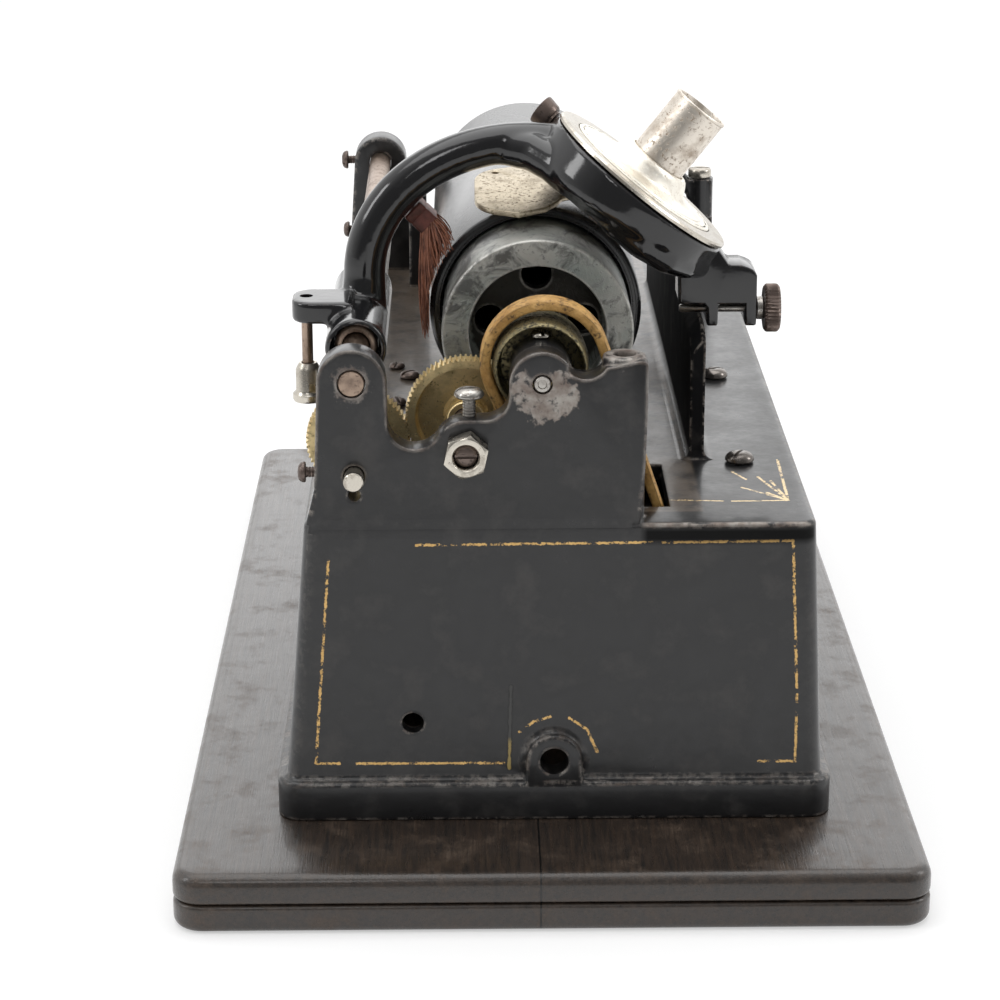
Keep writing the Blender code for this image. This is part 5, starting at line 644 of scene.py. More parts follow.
class Paint:
    """A material while it is drawn: most methods add nodes and return the socket that they end in."""

    def __init__(self, name, colour, roughness, metallic=0.0, coat=0.0):
        self.material = bpy.data.materials.new(name)
        self.material.use_nodes = True
        self.tree = self.material.node_tree
        self.shader = self.tree.nodes["Principled BSDF"]
        self.shader.inputs["Base Color"].default_value = (*colour, 1)
        self.shader.inputs["Roughness"].default_value = roughness
        self.shader.inputs["Metallic"].default_value = metallic
        self.shader.inputs["Coat Weight"].default_value = coat
        self.place = self.tree.nodes.new("ShaderNodeTexCoord").outputs["Object"]

    def set(self, name, socket):
        """Feeds one of the shader's sockets."""
        self.tree.links.new(socket, self.shader.inputs[name])

    def fed(self, name):
        """What feeds one of the shader's sockets."""
        return self.shader.inputs[name].links[0].from_socket

    def feed(self, node, name, value):
        """Gives a node's socket a colour, a plain value or another socket."""
        if isinstance(value, bpy.types.NodeSocket):
            self.tree.links.new(value, node.inputs[name])
        elif isinstance(value, tuple):
            node.inputs[name].default_value = (*value, 1)
        else:
            node.inputs[name].default_value = value

    def mapped(self, scale=(1, 1, 1), place=(0, 0, 0)):
        """Object coordinates, stretched and shifted."""
        node = self.tree.nodes.new("ShaderNodeMapping")
        node.inputs["Scale"].default_value = scale
        node.inputs["Location"].default_value = place
        self.tree.links.new(self.place, node.inputs["Vector"])
        return node.outputs["Vector"]

    def noise(self, scale, detail, rough, stretch=(1, 1, 1), shift=(0, 0, 0), warp=0.0):
        """Cloudy noise from 0 to 1."""
        node = self.tree.nodes.new("ShaderNodeTexNoise")
        self.tree.links.new(self.mapped(stretch, shift), node.inputs["Vector"])
        node.inputs["Scale"].default_value = scale
        node.inputs["Detail"].default_value = detail
        node.inputs["Roughness"].default_value = rough
        node.inputs["Distortion"].default_value = warp
        return node.outputs["Fac"]

    def cells(self, scale):
        """Distance to scattered points."""
        node = self.tree.nodes.new("ShaderNodeTexVoronoi")
        self.tree.links.new(self.mapped(), node.inputs["Vector"])
        node.inputs["Scale"].default_value = scale
        return node.outputs["Distance"]

    def bands(self, scale, distortion):
        """Even bands across Y."""
        node = self.tree.nodes.new("ShaderNodeTexWave")
        node.wave_type = "BANDS"
        node.bands_direction = "Y"
        self.tree.links.new(self.place, node.inputs["Vector"])
        node.inputs["Scale"].default_value = scale
        node.inputs["Distortion"].default_value = distortion
        return node.outputs["Fac"]

    def span(self, socket, low, high, out_low=0.0, out_high=1.0):
        """A value rescaled from one range to another and held inside it."""
        node = self.tree.nodes.new("ShaderNodeMapRange")
        node.clamp = True
        self.feed(node, "Value", socket)
        for name, value in zip(("From Min", "From Max", "To Min", "To Max"), (low, high, out_low, out_high)):
            node.inputs[name].default_value = value
        return node.outputs["Result"]

    def maths(self, operation, first, second=0.0):
        """One sum of two values."""
        node = self.tree.nodes.new("ShaderNodeMath")
        node.operation = operation
        self.feed(node, 0, first)
        self.feed(node, 1, second)
        return node.outputs["Value"]

    def product(self, first, *others):
        """Values multiplied together: where every mask of a few is on."""
        for other in others:
            first = self.maths("MULTIPLY", first, other)
        return first

    def most(self, first, *others):
        """The largest of a few values: where any mask of a few is on."""
        for other in others:
            first = self.maths("MAXIMUM", first, other)
        return first

    def mix(self, share, low, high):
        """A colour between two colours."""
        node = self.tree.nodes.new("ShaderNodeMix")
        node.data_type = "RGBA"
        for index, value in ((0, share), (6, low), (7, high)):
            self.feed(node, index, value)
        return node.outputs[2]

    def away_from(self, point):
        """Distance from a place given at the datum."""
        node = self.tree.nodes.new("ShaderNodeVectorMath")
        node.operation = "DISTANCE"
        self.tree.links.new(self.place, node.inputs[0])
        node.inputs[1].default_value = DATUM + Vector(point)
        return node.outputs["Value"]

    def height(self, axis):
        """One object coordinate, measured from the datum."""
        node = self.tree.nodes.new("ShaderNodeSeparateXYZ")
        self.tree.links.new(self.place, node.inputs[0])
        return self.maths("SUBTRACT", node.outputs["XYZ".index(axis)], DATUM["XYZ".index(axis)])

    def off(self, axis, level):
        """Distance from a level on one axis."""
        return self.maths("ABSOLUTE", self.maths("SUBTRACT", self.height(axis), level))

    def ragged(self, distance, scale, detail, reach, rough=0.7, shift=(0, 0, 0)):
        """A distance with a frayed edge."""
        cloud = self.noise(scale, detail, rough, shift=shift)
        return self.maths("ADD", distance, self.span(cloud, 0.3, 0.7, -reach, reach))

    def from_stroke(self, start, end):
        """Distance from a straight stroke between two places given at the datum."""
        start, end = DATUM + Vector(start), DATUM + Vector(end)
        run = end - start
        nodes = []
        for operation in ("SUBTRACT", "DOT_PRODUCT", "SCALE", "DISTANCE"):
            nodes.append(self.tree.nodes.new("ShaderNodeVectorMath"))
            nodes[-1].operation = operation
        self.tree.links.new(self.place, nodes[0].inputs[0])
        nodes[0].inputs[1].default_value = start
        self.tree.links.new(nodes[0].outputs["Vector"], nodes[1].inputs[0])
        nodes[1].inputs[1].default_value = run / run.length_squared
        share = self.span(nodes[1].outputs["Value"], 0, 1)
        nodes[2].inputs[0].default_value = run
        self.tree.links.new(share, nodes[2].inputs["Scale"])
        self.tree.links.new(nodes[0].outputs["Vector"], nodes[3].inputs[0])
        self.tree.links.new(nodes[2].outputs["Vector"], nodes[3].inputs[1])
        return nodes[3].outputs["Value"]

    def edges(self, radius, low=0.04, high=0.35):
        """How near a sharp edge the surface is."""
        soft = self.tree.nodes.new("ShaderNodeBevel")
        soft.samples = 4
        soft.inputs["Radius"].default_value = radius
        true = self.tree.nodes.new("ShaderNodeNewGeometry")
        node = self.tree.nodes.new("ShaderNodeVectorMath")
        node.operation = "DISTANCE"
        self.tree.links.new(soft.outputs["Normal"], node.inputs[0])
        self.tree.links.new(true.outputs["Normal"], node.inputs[1])
        return self.span(node.outputs["Value"], low, high)

    def bump(self, height, distance, strength, under=None):
        """Gives the shader a bumped normal, over another normal if one is given."""
        node = self.tree.nodes.new("ShaderNodeBump")
        node.inputs["Strength"].default_value = strength
        node.inputs["Distance"].default_value = distance
        self.tree.links.new(height, node.inputs["Height"])
        if under is not None:
            self.tree.links.new(under, node.inputs["Normal"])
        self.set("Normal", node.outputs["Normal"])

    def soft_normal(self, radius):
        """The normal of a surface whose edges are rounded."""
        node = self.tree.nodes.new("ShaderNodeBevel")
        node.samples = 6
        node.inputs["Radius"].default_value = radius
        return node.outputs["Normal"]


def black_japan(name):
    """Japan on cast iron: deep black, under a thin coat."""
    paint = Paint(name, BLACK, 0.30, coat=JAPAN_COAT)
    paint.shader.inputs["Coat Roughness"].default_value = 0.12
    paint.shader.inputs["Specular IOR Level"].default_value = 0.5
    return paint


def worn_black(paint, edge, chip, extra_wear=None, where=None):
    """Black japan with chipped edges and dull stains, and bare iron where extra wear asks for it."""
    grain = paint.noise(420, 6, 0.62)
    patch = paint.noise(95, 5, 0.6, shift=(3, 1, 2))
    chips = paint.product(paint.edges(edge), paint.span(grain, chip - 0.06, chip + 0.04))
    if where is not None:
        chips = paint.product(chips, where)
    if extra_wear is not None:
        chips = paint.most(chips, extra_wear)
    brown = paint.span(paint.noise(240, 5, 0.6, shift=(5, 5, 1)), 0.35, 0.65)
    black = paint.mix(paint.span(patch, 0.52, 0.72), BLACK, DULL_BLACK)
    paint.set("Base Color", paint.mix(chips, black, paint.mix(brown, RUST, BARE_IRON)))
    rough = paint.maths("ADD", paint.span(patch, 0.3, 0.8, 0.24, 0.44), paint.span(grain, 0.3, 0.8, 0, 0.10))
    paint.set("Roughness", paint.most(rough, paint.span(chips, 0, 1, 0, 0.52)))
    paint.set("Metallic", paint.span(chips, 0, 1, 0, 0.55))
    paint.set("Coat Weight", paint.span(chips, 0, 1, JAPAN_COAT, 0))
    return chips


def pinstripe(paint, strokes, half, break_share):
    """Gold strokes with wear along them, as a mask."""
    far = None
    for start, end in strokes:
        near = paint.from_stroke(start, end)
        far = near if far is None else paint.maths("MINIMUM", far, near)
    edge = paint.ragged(far, 1500, 4, STROKE_FRAY)
    line = paint.span(edge, half, half + STROKE_EDGE, 1, 0)
    worn = paint.span(paint.noise(330, 5, 0.75, shift=(7, 3, 9)), break_share - 0.03, break_share + 0.03)
    return paint.product(line, worn)


def bearing_rubs(paint):
    """Where the shaft, the pad and the rod's end have rubbed the near wall bare, as a mask."""
    shaft = paint.ragged(paint.away_from(SHAFT_RUB), 190, 5, 0.0038, rough=0.65)
    kept_black = paint.span(paint.away_from(BLACK_SPOT), 0.0026, 0.0040)
    rub = paint.product(paint.span(shaft, 0.0062, 0.0076, 1, 0), kept_black)
    pad = paint.ragged(paint.away_from((RIGHT_PAD_X, RIGHT_PAD_Y, RIGHT_PAD_TOP)), 420, 5, 0.0020)
    rub = paint.most(rub, paint.span(pad, 0.0046, 0.0060, 0.9, 0))
    boss = paint.ragged(paint.away_from((ROD_X, 0, ROD_RISE)), 420, 5, 0.0018)
    rub = paint.most(rub, paint.span(boss, 0.0038, 0.0050, 0.55, 0))
    return paint.product(rub, paint.span(paint.noise(380, 6, 0.7, shift=(9, 2, 4)), 0.34, 0.46))


def rubbed_and_highlit_lines(paint, right_of_wall):
    """Thin bare lines on the wall's rim and the deck's front lip, and a flange-top band that is partly wear,
    partly painted highlight, as a mask.
    """
    rim = paint.product(paint.edges(0.0010, 0.08, 0.40), paint.span(paint.noise(150, 4, 0.6), 0.34, 0.46),
                        paint.span(paint.height("Z"), RIM_LOW, RIM_HIGH),
                        paint.span(paint.height("Y"), RIM_NEAR, RIM_FAR, 1, 0))
    # painted highlight, partly wear: a pale bare-iron band along the top of the foot flange
    foot = paint.product(paint.span(paint.off("Z", FLANGE_TOP_Z), 0.0004, 0.0010, 1, 0),
                         paint.span(paint.noise(210, 5, 0.7, shift=(1, 7, 3)), 0.50, 0.60, 0, 0.42))
    lip = paint.product(paint.span(paint.off("Z", DECK_Z - LIP_DEPTH / 2), LIP_DEPTH / 2, LIP_DEPTH, 1, 0),
                        paint.span(paint.height("Y"), 0.0002, 0.0008, 1, 0),
                        paint.span(paint.noise(130, 5, 0.65, shift=(8, 1, 1)), 0.36, 0.46), right_of_wall)
    return paint.most(rim, lip, foot)


def gilding(paint, chips, on_front):
    """The pinstripe on the front and the fan on the deck's corner: their mask and their gold."""
    stripe = paint.product(pinstripe(paint, FRONT_STROKES, FRONT_HALF, FRONT_BREAK), on_front)
    on_top = paint.span(paint.height("Z"), DECK_Z - 0.0020, DECK_Z - 0.0015)
    fan = paint.product(pinstripe(paint, FAN_STROKES, FAN_HALF, FAN_BREAK), on_top)
    gilt = paint.product(paint.most(stripe, fan), paint.span(chips, 0.2, 0.5, 1, 0))
    gold = paint.mix(paint.span(paint.noise(700, 4, 0.6), 0.35, 0.7), GOLD, PALE_GOLD)
    return gilt, paint.mix(fan, gold, FAN_GOLD)


def deck_marks(paint, colour):
    """A colour with the brown bed beside the rail and the deck's dull scuffs over it."""
    deck = paint.product(paint.span(paint.height("Z"), DECK_Z - 0.0008, DECK_Z + 0.0002),
                         paint.span(paint.height("Z"), DECK_Z + 0.0010, DECK_Z + 0.0004, 0, 1))
    bed = paint.product(deck, paint.span(paint.height("X"), RAIL_LEFT, RAIL_LEFT + 0.0010, 1, 0),
                        paint.span(paint.height("Y"), WALL_FAR + 0.0005, WALL_FAR + 0.0015))
    stain = paint.span(paint.noise(140, 6, 0.7, shift=(2, 8, 5)), 0.30, 0.52)
    colour = paint.mix(paint.product(bed, stain), colour, BED_BROWN)
    scuff = paint.span(paint.noise(90, 6, 0.7, stretch=(2.5, 1, 1), shift=(2, 3, 5)), 0.50, 0.66, 0, 0.75)
    return paint.mix(paint.product(paint.maths("SUBTRACT", deck, bed), scuff), colour, DULL_BLACK)


def casting_relief(paint, chips, bead, fold):
    """Uneven thick japan with sunk chips, a run of gold standing proud and a dip under the deck's lip."""
    lumps = paint.maths("ADD", paint.span(paint.noise(70, 3, 0.5), 0, 1, 0, 1),
                        paint.span(paint.noise(900, 3, 0.6), 0, 1, 0, 0.10))
    lumps = paint.maths("ADD", lumps, paint.span(chips, 0, 1, 0, -0.12))
    lumps = paint.maths("SUBTRACT", lumps, paint.product(fold, 0.35))
    lumps = paint.maths("ADD", lumps, paint.product(bead, 0.5))
    paint.bump(lumps, 0.00060, 0.55, paint.soft_normal(0.0016))


def make_body_finish():
    """The casting's japan, with its pinstripe, the corner fan, the rubbed places round the bearings and a
    painted shadow under the deck's lip.
    """
    paint = black_japan("body_japan")
    right_of_wall = paint.span(paint.height("X"), WALL_RIGHT - 0.0010, WALL_RIGHT + 0.0010)
    edge_wear = paint.most(right_of_wall, paint.span(paint.off("Z", DECK_Z), 0.0022, 0.0035))
    # rub also carries the painted highlight along the flange's top
    rub = paint.most(bearing_rubs(paint), rubbed_and_highlit_lines(paint, right_of_wall))
    chips = worn_black(paint, 0.0011, 0.52, rub, edge_wear)
    on_front = paint.span(paint.height("Y"), 0.0010, 0.0020, 1, 0)
    crack = paint.ragged(paint.from_stroke(CRACK_TOP, CRACK_FOOT), 500, 4, 0.0002)
    bead = paint.product(paint.span(crack, 0.0003, 0.0005, 1, 0), on_front)
    # painted shadow: a near-black band just under the deck's front lip, right of the wall
    painted_shadow_under_lip = paint.product(paint.span(paint.off("Z", DECK_Z - 0.0032), 0.0010, 0.0030, 0.9, 0), on_front,
                              right_of_wall)
    crack_and_painted_shadow = paint.most(paint.product(paint.span(crack, 0.0006, 0.0009, 1, 0), on_front), painted_shadow_under_lip)
    colour = deck_marks(paint, paint.fed("Base Color"))
    gilt, gold = gilding(paint, chips, on_front)
    colour = paint.mix(crack_and_painted_shadow, paint.mix(gilt, colour, gold), CRACK_AND_SHADOW_BLACK)
    run_gold = paint.mix(paint.span(paint.height("Z"), GILT_LOW, GILT_HIGH), OLD_GOLD, DUSTY_BLACK)
    paint.set("Base Color", paint.mix(bead, colour, run_gold))
    fold = paint.product(paint.span(paint.off("Z", DECK_Z - 0.0012), 0, 0.0026, 1, 0),
                         paint.span(right_of_wall, 0, 1, 1, 0), on_front)
    casting_relief(paint, chips, bead, fold)
    rail_side = paint.product(paint.span(paint.height("X"), RAIL_LEFT - 0.0009, RAIL_LEFT - 0.0005),
                              paint.span(paint.height("Z"), DECK_Z + 0.0010, DECK_Z + 0.0030))
    # the painted shadow under the lip also loses its coat and shine here
    quiet = paint.most(rail_side, painted_shadow_under_lip)
    paint.set("Coat Weight", paint.product(paint.fed("Coat Weight"), paint.span(quiet, 0, 1, 1, 0)))
    paint.set("Specular IOR Level", paint.span(quiet, 0, 1, 0.42, 0.06))
    paint.set("Roughness", paint.most(paint.fed("Roughness"), paint.span(rail_side, 0, 1, 0, 0.72)))
    return paint.material


def make_gloss_finish():
    """The thick glossy japan of the arm, with small chips."""
    paint = black_japan("arm_japan")
    chips = worn_black(paint, 0.0006, 0.60)
    gloss = paint.span(paint.noise(160, 5, 0.6), 0.3, 0.8, 0.08, 0.18)
    paint.set("Roughness", paint.most(gloss, paint.span(chips, 0, 1, 0, 0.5)))
    paint.set("Base Color", paint.mix(chips, BLACK, RUST))
    paint.bump(paint.maths("ADD", paint.noise(150, 3, 0.5), paint.span(chips, 0, 1, 0, -0.2)), 0.00025, 0.5)
    return paint.material


def make_small_black_finish():
    """Japan on the small castings."""
    paint = black_japan("small_japan")
    chips = worn_black(paint, 0.0007, 0.52)
    paint.bump(paint.maths("ADD", paint.noise(300, 3, 0.5), paint.span(chips, 0, 1, 0, -0.25)), 0.0002, 0.5)
    return paint.material


def make_wood_finish():
    """Black-stained wood with its grain along the machine, dull scuffs and a joint down the middle."""
    paint = Paint("black_wood", WOOD_BLACK, 0.36, coat=0.45)
    paint.shader.inputs["Coat Roughness"].default_value = 0.16
    grain = paint.noise(150, 6, 0.7, stretch=(5.0, 0.35, 5.0), warp=0.4)
    fine = paint.noise(700, 4, 0.7, stretch=(3.0, 0.08, 3.0))
    wear = paint.span(paint.noise(60, 6, 0.75, shift=(4, 1, 0)), 0.50, 0.70)
    edge = paint.product(paint.edges(0.0022, 0.05, 0.5), paint.span(paint.noise(210, 5, 0.7), 0.42, 0.62))
    worn = paint.most(paint.product(wear, 0.75), edge)
    dark = paint.mix(paint.span(grain, 0.35, 0.7), WOOD_BLACK, WOOD_BROWN)
    pale = paint.mix(paint.span(fine, 0.35, 0.7), WOOD_BROWN, WOOD_SCUFF)
    joint = paint.span(paint.off("X", JOINT_X), 0.00012, 0.00030, 1, 0)
    paint.set("Base Color", paint.mix(joint, paint.mix(worn, dark, pale), JOINT_BLACK))
    paint.set("Roughness", paint.maths("ADD", paint.span(worn, 0, 1, 0.25, 0.50),
                                       paint.span(fine, 0.3, 0.7, 0, 0.10)))
    paint.set("Coat Weight", paint.span(worn, 0, 1, 0.48, 0))
    relief = paint.maths("ADD", paint.product(grain, 0.5), paint.product(fine, 0.5))
    relief = paint.maths("SUBTRACT", relief, paint.product(joint, 1.2))
    relief = paint.maths("ADD", relief, paint.span(paint.noise(50, 3, 0.5, shift=(1, 4, 2)), 0, 1, 0, 1.6))
    paint.bump(relief, 0.00045, 0.6)
    return paint.material


def metal(name, colour, stain, roughness, spots, pits, metallic=1.0):
    """An old plated or bare metal with stains, spots and fine scratches."""
    paint = Paint(name, colour, roughness, metallic)
    cloud = paint.noise(180, 6, 0.65)
    speck = paint.span(paint.noise(900, 5, 0.75, shift=(2, 6, 1)), spots, spots + 0.10)
    share = paint.most(paint.span(cloud, 0.48, 0.74, 0, 0.75), speck)
    paint.set("Base Color", paint.mix(share, colour, stain))
    paint.set("Roughness", paint.span(share, 0, 1, roughness, min(roughness + 0.30, 0.8)))
    paint.set("Metallic", paint.span(share, 0, 1, metallic, metallic * 0.72))
    relief = paint.maths("ADD", paint.product(paint.noise(2200, 3, 0.6), 0.35), paint.product(speck, -pits))
    paint.bump(relief, 0.00008, 0.6)
    return paint


def make_brass_finish():
    """Greasy brass, olive in its hollows."""
    return metal("old_brass", (0.84, 0.67, 0.36), (0.27, 0.215, 0.110), 0.40, 0.56, 0.5, 0.9).material


def make_cover_finish():
    """Pale nickel of the cover, with a dark broken line where its rim was sealed."""
    paint = metal("cover_nickel", (0.95, 0.91, 0.82), (0.62, 0.55, 0.45), 0.40, 0.56, 0.6)
    face = HEAD_CENTRE + HEAD_NORMAL * COVER_RISE
    seam = paint.maths("ABSOLUTE", paint.maths("SUBTRACT", paint.away_from(face), SEAM_RADIUS))
    line = paint.product(paint.span(paint.ragged(seam, 1300, 4, 0.00022), 0.00012, 0.00028, 1, 0),
                         paint.span(paint.noise(620, 4, 0.7, shift=(6, 2, 7)), 0.47, 0.52))
    paint.set("Base Color", paint.mix(line, paint.fed("Base Color"), (0.030, 0.026, 0.020)))
    paint.set("Roughness", paint.span(line, 0, 1, 0.40, 0.75))
    return paint.material


def make_zinc_finish():
    """Dull grey-green alloy with black grease smeared over it, a painted shadow inside its mouth and a
    rubbed inner lip.
    """
    paint = Paint("grey_alloy", (0.17, 0.18, 0.172), 0.42, 0.75)
    smear = paint.span(paint.noise(120, 6, 0.7, stretch=(1, 0.6, 1), warp=0.8), 0.46, 0.60)
    streak = paint.span(paint.noise(420, 5, 0.7, shift=(3, 3, 8)), 0.56, 0.66, 0, 0.8)
    grease = paint.most(smear, streak)
    cloud = paint.span(paint.noise(60, 3, 0.5), 0.35, 0.65)
    tint = paint.mix(cloud, (0.30, 0.335, 0.315), (0.47, 0.47, 0.44))
    colour = paint.mix(paint.product(grease, 0.85), tint, (0.020, 0.019, 0.018))
    from_axis = paint.maths("SQRT", paint.maths("ADD", paint.maths("POWER", paint.height("X"), 2.0),
                                                paint.maths("POWER", paint.height("Z"), 2.0)))
    # painted shadow: everything inside the mouth's radius is darkened to near-black
    mouth = paint.ragged(from_axis, 260, 5, 0.0007, shift=(4, 4, 1))
    inside = paint.span(mouth, RECESS_RADIUS - 0.0006, RECESS_RADIUS + 0.0004, 0.9, 0)
    colour = paint.mix(inside, colour, (0.024, 0.022, 0.018))
    bright = paint.product(paint.edges(0.0012, 0.05, 0.4), paint.span(paint.noise(300, 4, 0.6), 0.35, 0.6))
    paint.set("Base Color", paint.mix(bright, colour, (0.62, 0.60, 0.56)))
    paint.set("Roughness", paint.span(grease, 0, 1, 0.46, 0.30))
    paint.set("Metallic", paint.span(grease, 0, 1, 0.75, 0.2))
    paint.bump(paint.maths("ADD", grease, paint.noise(800, 4, 0.6)), 0.00018, 0.7)
    return paint.material


def make_wax_finish():
    """Black wax with a dry sheen and a very fine groove round it."""
    paint = Paint("black_wax", (0.016, 0.016, 0.017), 0.27, coat=0.7)
    paint.shader.inputs["Coat Roughness"].default_value = 0.22
    bloom = paint.span(paint.noise(55, 5, 0.6, stretch=(1, 0.4, 1)), 0.42, 0.72)
    paint.set("Base Color", paint.mix(bloom, (0.013, 0.013, 0.014), (0.040, 0.040, 0.041)))
    paint.set("Roughness", paint.maths("ADD", paint.span(bloom, 0, 1, 0.20, 0.34),
                                       paint.span(paint.noise(500, 4, 0.6), 0.3, 0.7, 0, 0.06)))
    groove = paint.maths("ADD", paint.product(paint.bands(900, 0.2), 0.12),
                         paint.product(paint.noise(120, 4, 0.5), 0.5))
    paint.bump(groove, 0.00010, 0.45)
    return paint.material


def make_belt_finish():
    """Tan leather, oiled dark along its edges and in patches."""
    paint = Paint("tan_leather", (0.50, 0.29, 0.085), 0.62)
    cloud = paint.span(paint.noise(170, 6, 0.7), 0.40, 0.62)
    dark = paint.span(paint.noise(420, 6, 0.75, shift=(3, 1, 6)), 0.52, 0.64)
    colour = paint.mix(cloud, (0.60, 0.36, 0.12), (0.40, 0.215, 0.060))
    oiled = paint.most(paint.product(paint.edges(0.0008, 0.05, 0.6), 0.7), dark)
    paint.set("Base Color", paint.mix(oiled, colour, (0.085, 0.050, 0.022)))
    paint.set("Roughness", paint.span(cloud, 0, 1, 0.50, 0.72))
    pores = paint.product(paint.cells(1600), 0.6)
    paint.bump(paint.maths("ADD", pores, paint.noise(350, 5, 0.7)), 0.00022, 0.7)
    return paint.material


def make_leaf_finish():
    """Warm pitted nickel of the bare weight."""
    return metal("warm_nickel", (0.55, 0.475, 0.355), (0.18, 0.135, 0.08), 0.30, 0.53, 1.0, 0.95).material


def make_bristle_finish():
    """Dark brown natural bristle."""
    paint = Paint("brown_bristle", (0.055, 0.034, 0.024), 0.48)
    along = paint.noise(900, 4, 0.7, stretch=(1, 1, 0.25))
    paint.set("Base Color", paint.mix(paint.span(along, 0.35, 0.65), (0.115, 0.042, 0.026),
                                      (0.42, 0.170, 0.100)))
    paint.set("Roughness", paint.span(along, 0.3, 0.7, 0.38, 0.60))
    paint.bump(along, 0.00005, 0.5)
    return paint.material


def plain_finish(name, colour, other, roughness, metallic, scale=300):
    """A quiet finish for what is hidden inside: two tones, an even grain and a little relief."""
    paint = Paint(name, colour, roughness, metallic)
    cloud = paint.noise(scale, 5, 0.65)
    paint.set("Base Color", paint.mix(paint.span(cloud, 0.35, 0.68), colour, other))
    paint.set("Roughness", paint.span(cloud, 0.3, 0.7, roughness, min(roughness + 0.18, 1)))
    paint.bump(cloud, 0.0001, 0.5)
    return paint.material


# Plinth and casting

def board_rings(low, high, low_round, high_round):
    """The edge of a board from its underside to its top, with a quarter round on each."""
    levels = [(low + low_round * (1 - math.cos(angle)), low_round * (1 - math.sin(angle)))
              for angle in quarter_turn(6)]
    levels += [(high - high_round * (1 - math.sin(angle)), high_round * (1 - math.cos(angle)))
               for angle in quarter_turn(6)]
    rings = []
    for z, inset in levels:
        plan = rounded_plan(PLINTH_LEFT + inset, PLINTH_RIGHT - inset, PLINTH_NEAR + inset,
                            PLINTH_FAR - inset, PLINTH_CORNER - inset, 10)
        rings.append([(x, y, z) for x, y in plan])
    return rings


def make_plinth(wood):
    """Two boards with a groove between them."""
    low = BOARD_TOP_Z - TOP_BOARD
    top = lofted("top_board", board_rings(low, BOARD_TOP_Z, GROOVE_ROUND, TOP_ROUND))
    finished(top, "root", wood, "black_wood", "base_top_board")
    foot = low - BOARD_GAP - LOWER_BOARD
    lower = lofted("lower_board", board_rings(foot, low - BOARD_GAP, LOWER_ROUND, GROOVE_ROUND))
    finished(lower, "root", wood, "black_wood", "base_lower_board")


def body_plan(z, inset, reach=0.0):
    """The casting's outline at a height: its sides lean in towards the deck."""
    rise = min(max((z - FLANGE_TOP_Z) / (DECK_Z - FLANGE_TOP_Z), 0), 1)
    left = BODY_LEFT_FOOT + (BODY_LEFT_TOP - BODY_LEFT_FOOT) * rise + inset - reach
    right = BODY_RIGHT_FOOT + (BODY_RIGHT_TOP - BODY_RIGHT_FOOT) * rise - inset + reach
    plan = rounded_plan(left, right, inset - reach - BODY_STEP, BODY_FAR - inset + reach,
                        max(BODY_CORNER - inset + reach, BODY_LEAST_CORNER))
    return [(x, y, z) for x, y in plan]


def body_shell():
    """The hollow box under the deck, with its foot flange and rounded deck edge."""
    fillet = FLANGE_REACH - FLANGE_ROUND
    levels = [(FOOT_Z, FLANGE_REACH)]
    levels += [(FLANGE_TOP_Z - FLANGE_ROUND * (1 - math.sin(angle)),
                FLANGE_REACH - FLANGE_ROUND * (1 - math.cos(angle))) for angle in quarter_turn(4)]
    levels += [(FLANGE_TOP_Z + fillet * (1 - math.cos(angle)), fillet * (1 - math.sin(angle)))
               for angle in quarter_turn(5)[1:]]
    levels.append((BODY_WAIST_Z, 0.0))
    levels += [(DECK_Z - DECK_ROUND * (1 - math.sin(angle)), -DECK_ROUND * (1 - math.cos(angle)))
               for angle in quarter_turn(5)]
    shell = lofted("body_casting_looks", [body_plan(z, 0, reach) for z, reach in levels])
    inside = (FOOT_Z - OVERRUN, FLANGE_TOP_Z, DECK_Z - DECK_THICK)
    return less(shell, lofted("hollow", [body_plan(z, BODY_WALL) for z in inside]))


def near_wall_outline():
    """The near wall's scalloped top: rod boss, valley, nut boss, bearing boss and saddle."""
    outline = WALL_LEFT_EDGE + arc((ROD_X, ROD_RISE), UPRIGHT_RADIUS, 180, 0, 22)
    outline += arc(VALLEY_PLACE, VALLEY_RADIUS, 180, 330, 14)
    outline += arc((INTER_X, INTER_Z), STUD_BOSS_RADIUS, 148, 90, 7)
    rise = -INTER_X - SHOULDER_RUN - SHAFT_BOSS_RADIUS
    outline += arc((INTER_X + SHOULDER_RUN, SHOULDER_Z + rise), rise, 270, 360, 7)
    outline += arc((0, 0), SHAFT_BOSS_RADIUS, 180, 36, 16)
    outline += arc(SADDLE_PLACE, SADDLE_RADIUS, 222, 330, 10)
    return outline + WALL_RIGHT_EDGE


def thick_outline():
    """The wall's thicker part above the gears' shelf, a little inside its outline."""
    right = THICK_RIGHT - THICK_INSET
    outline = arc((0, 0), SHAFT_BOSS_RADIUS - THICK_INSET, 180, 36, 16)
    outline += arc(SADDLE_PLACE, SADDLE_RADIUS + THICK_INSET, 222, 330, 10)
    return outline + [(right, THICK_TOP_Z), (right, THICK_FOOT_Z),
                      (THICK_INSET - SHAFT_BOSS_RADIUS, THICK_FOOT_Z)]


def down_post(name, radius, low, high, x, y, steps=SMALL):
    """An upright round post, or a cutter of that shape."""
    return put(lathe(name, [(radius, low), (radius, high)], steps), Matrix.Translation((x, y, 0)))


def hole(radius, near, far, x, z, steps=SMALL):
    """A cutter along Y."""
    return on_axis(lathe("hole", [(radius, near), (radius, far)], steps), x, z)


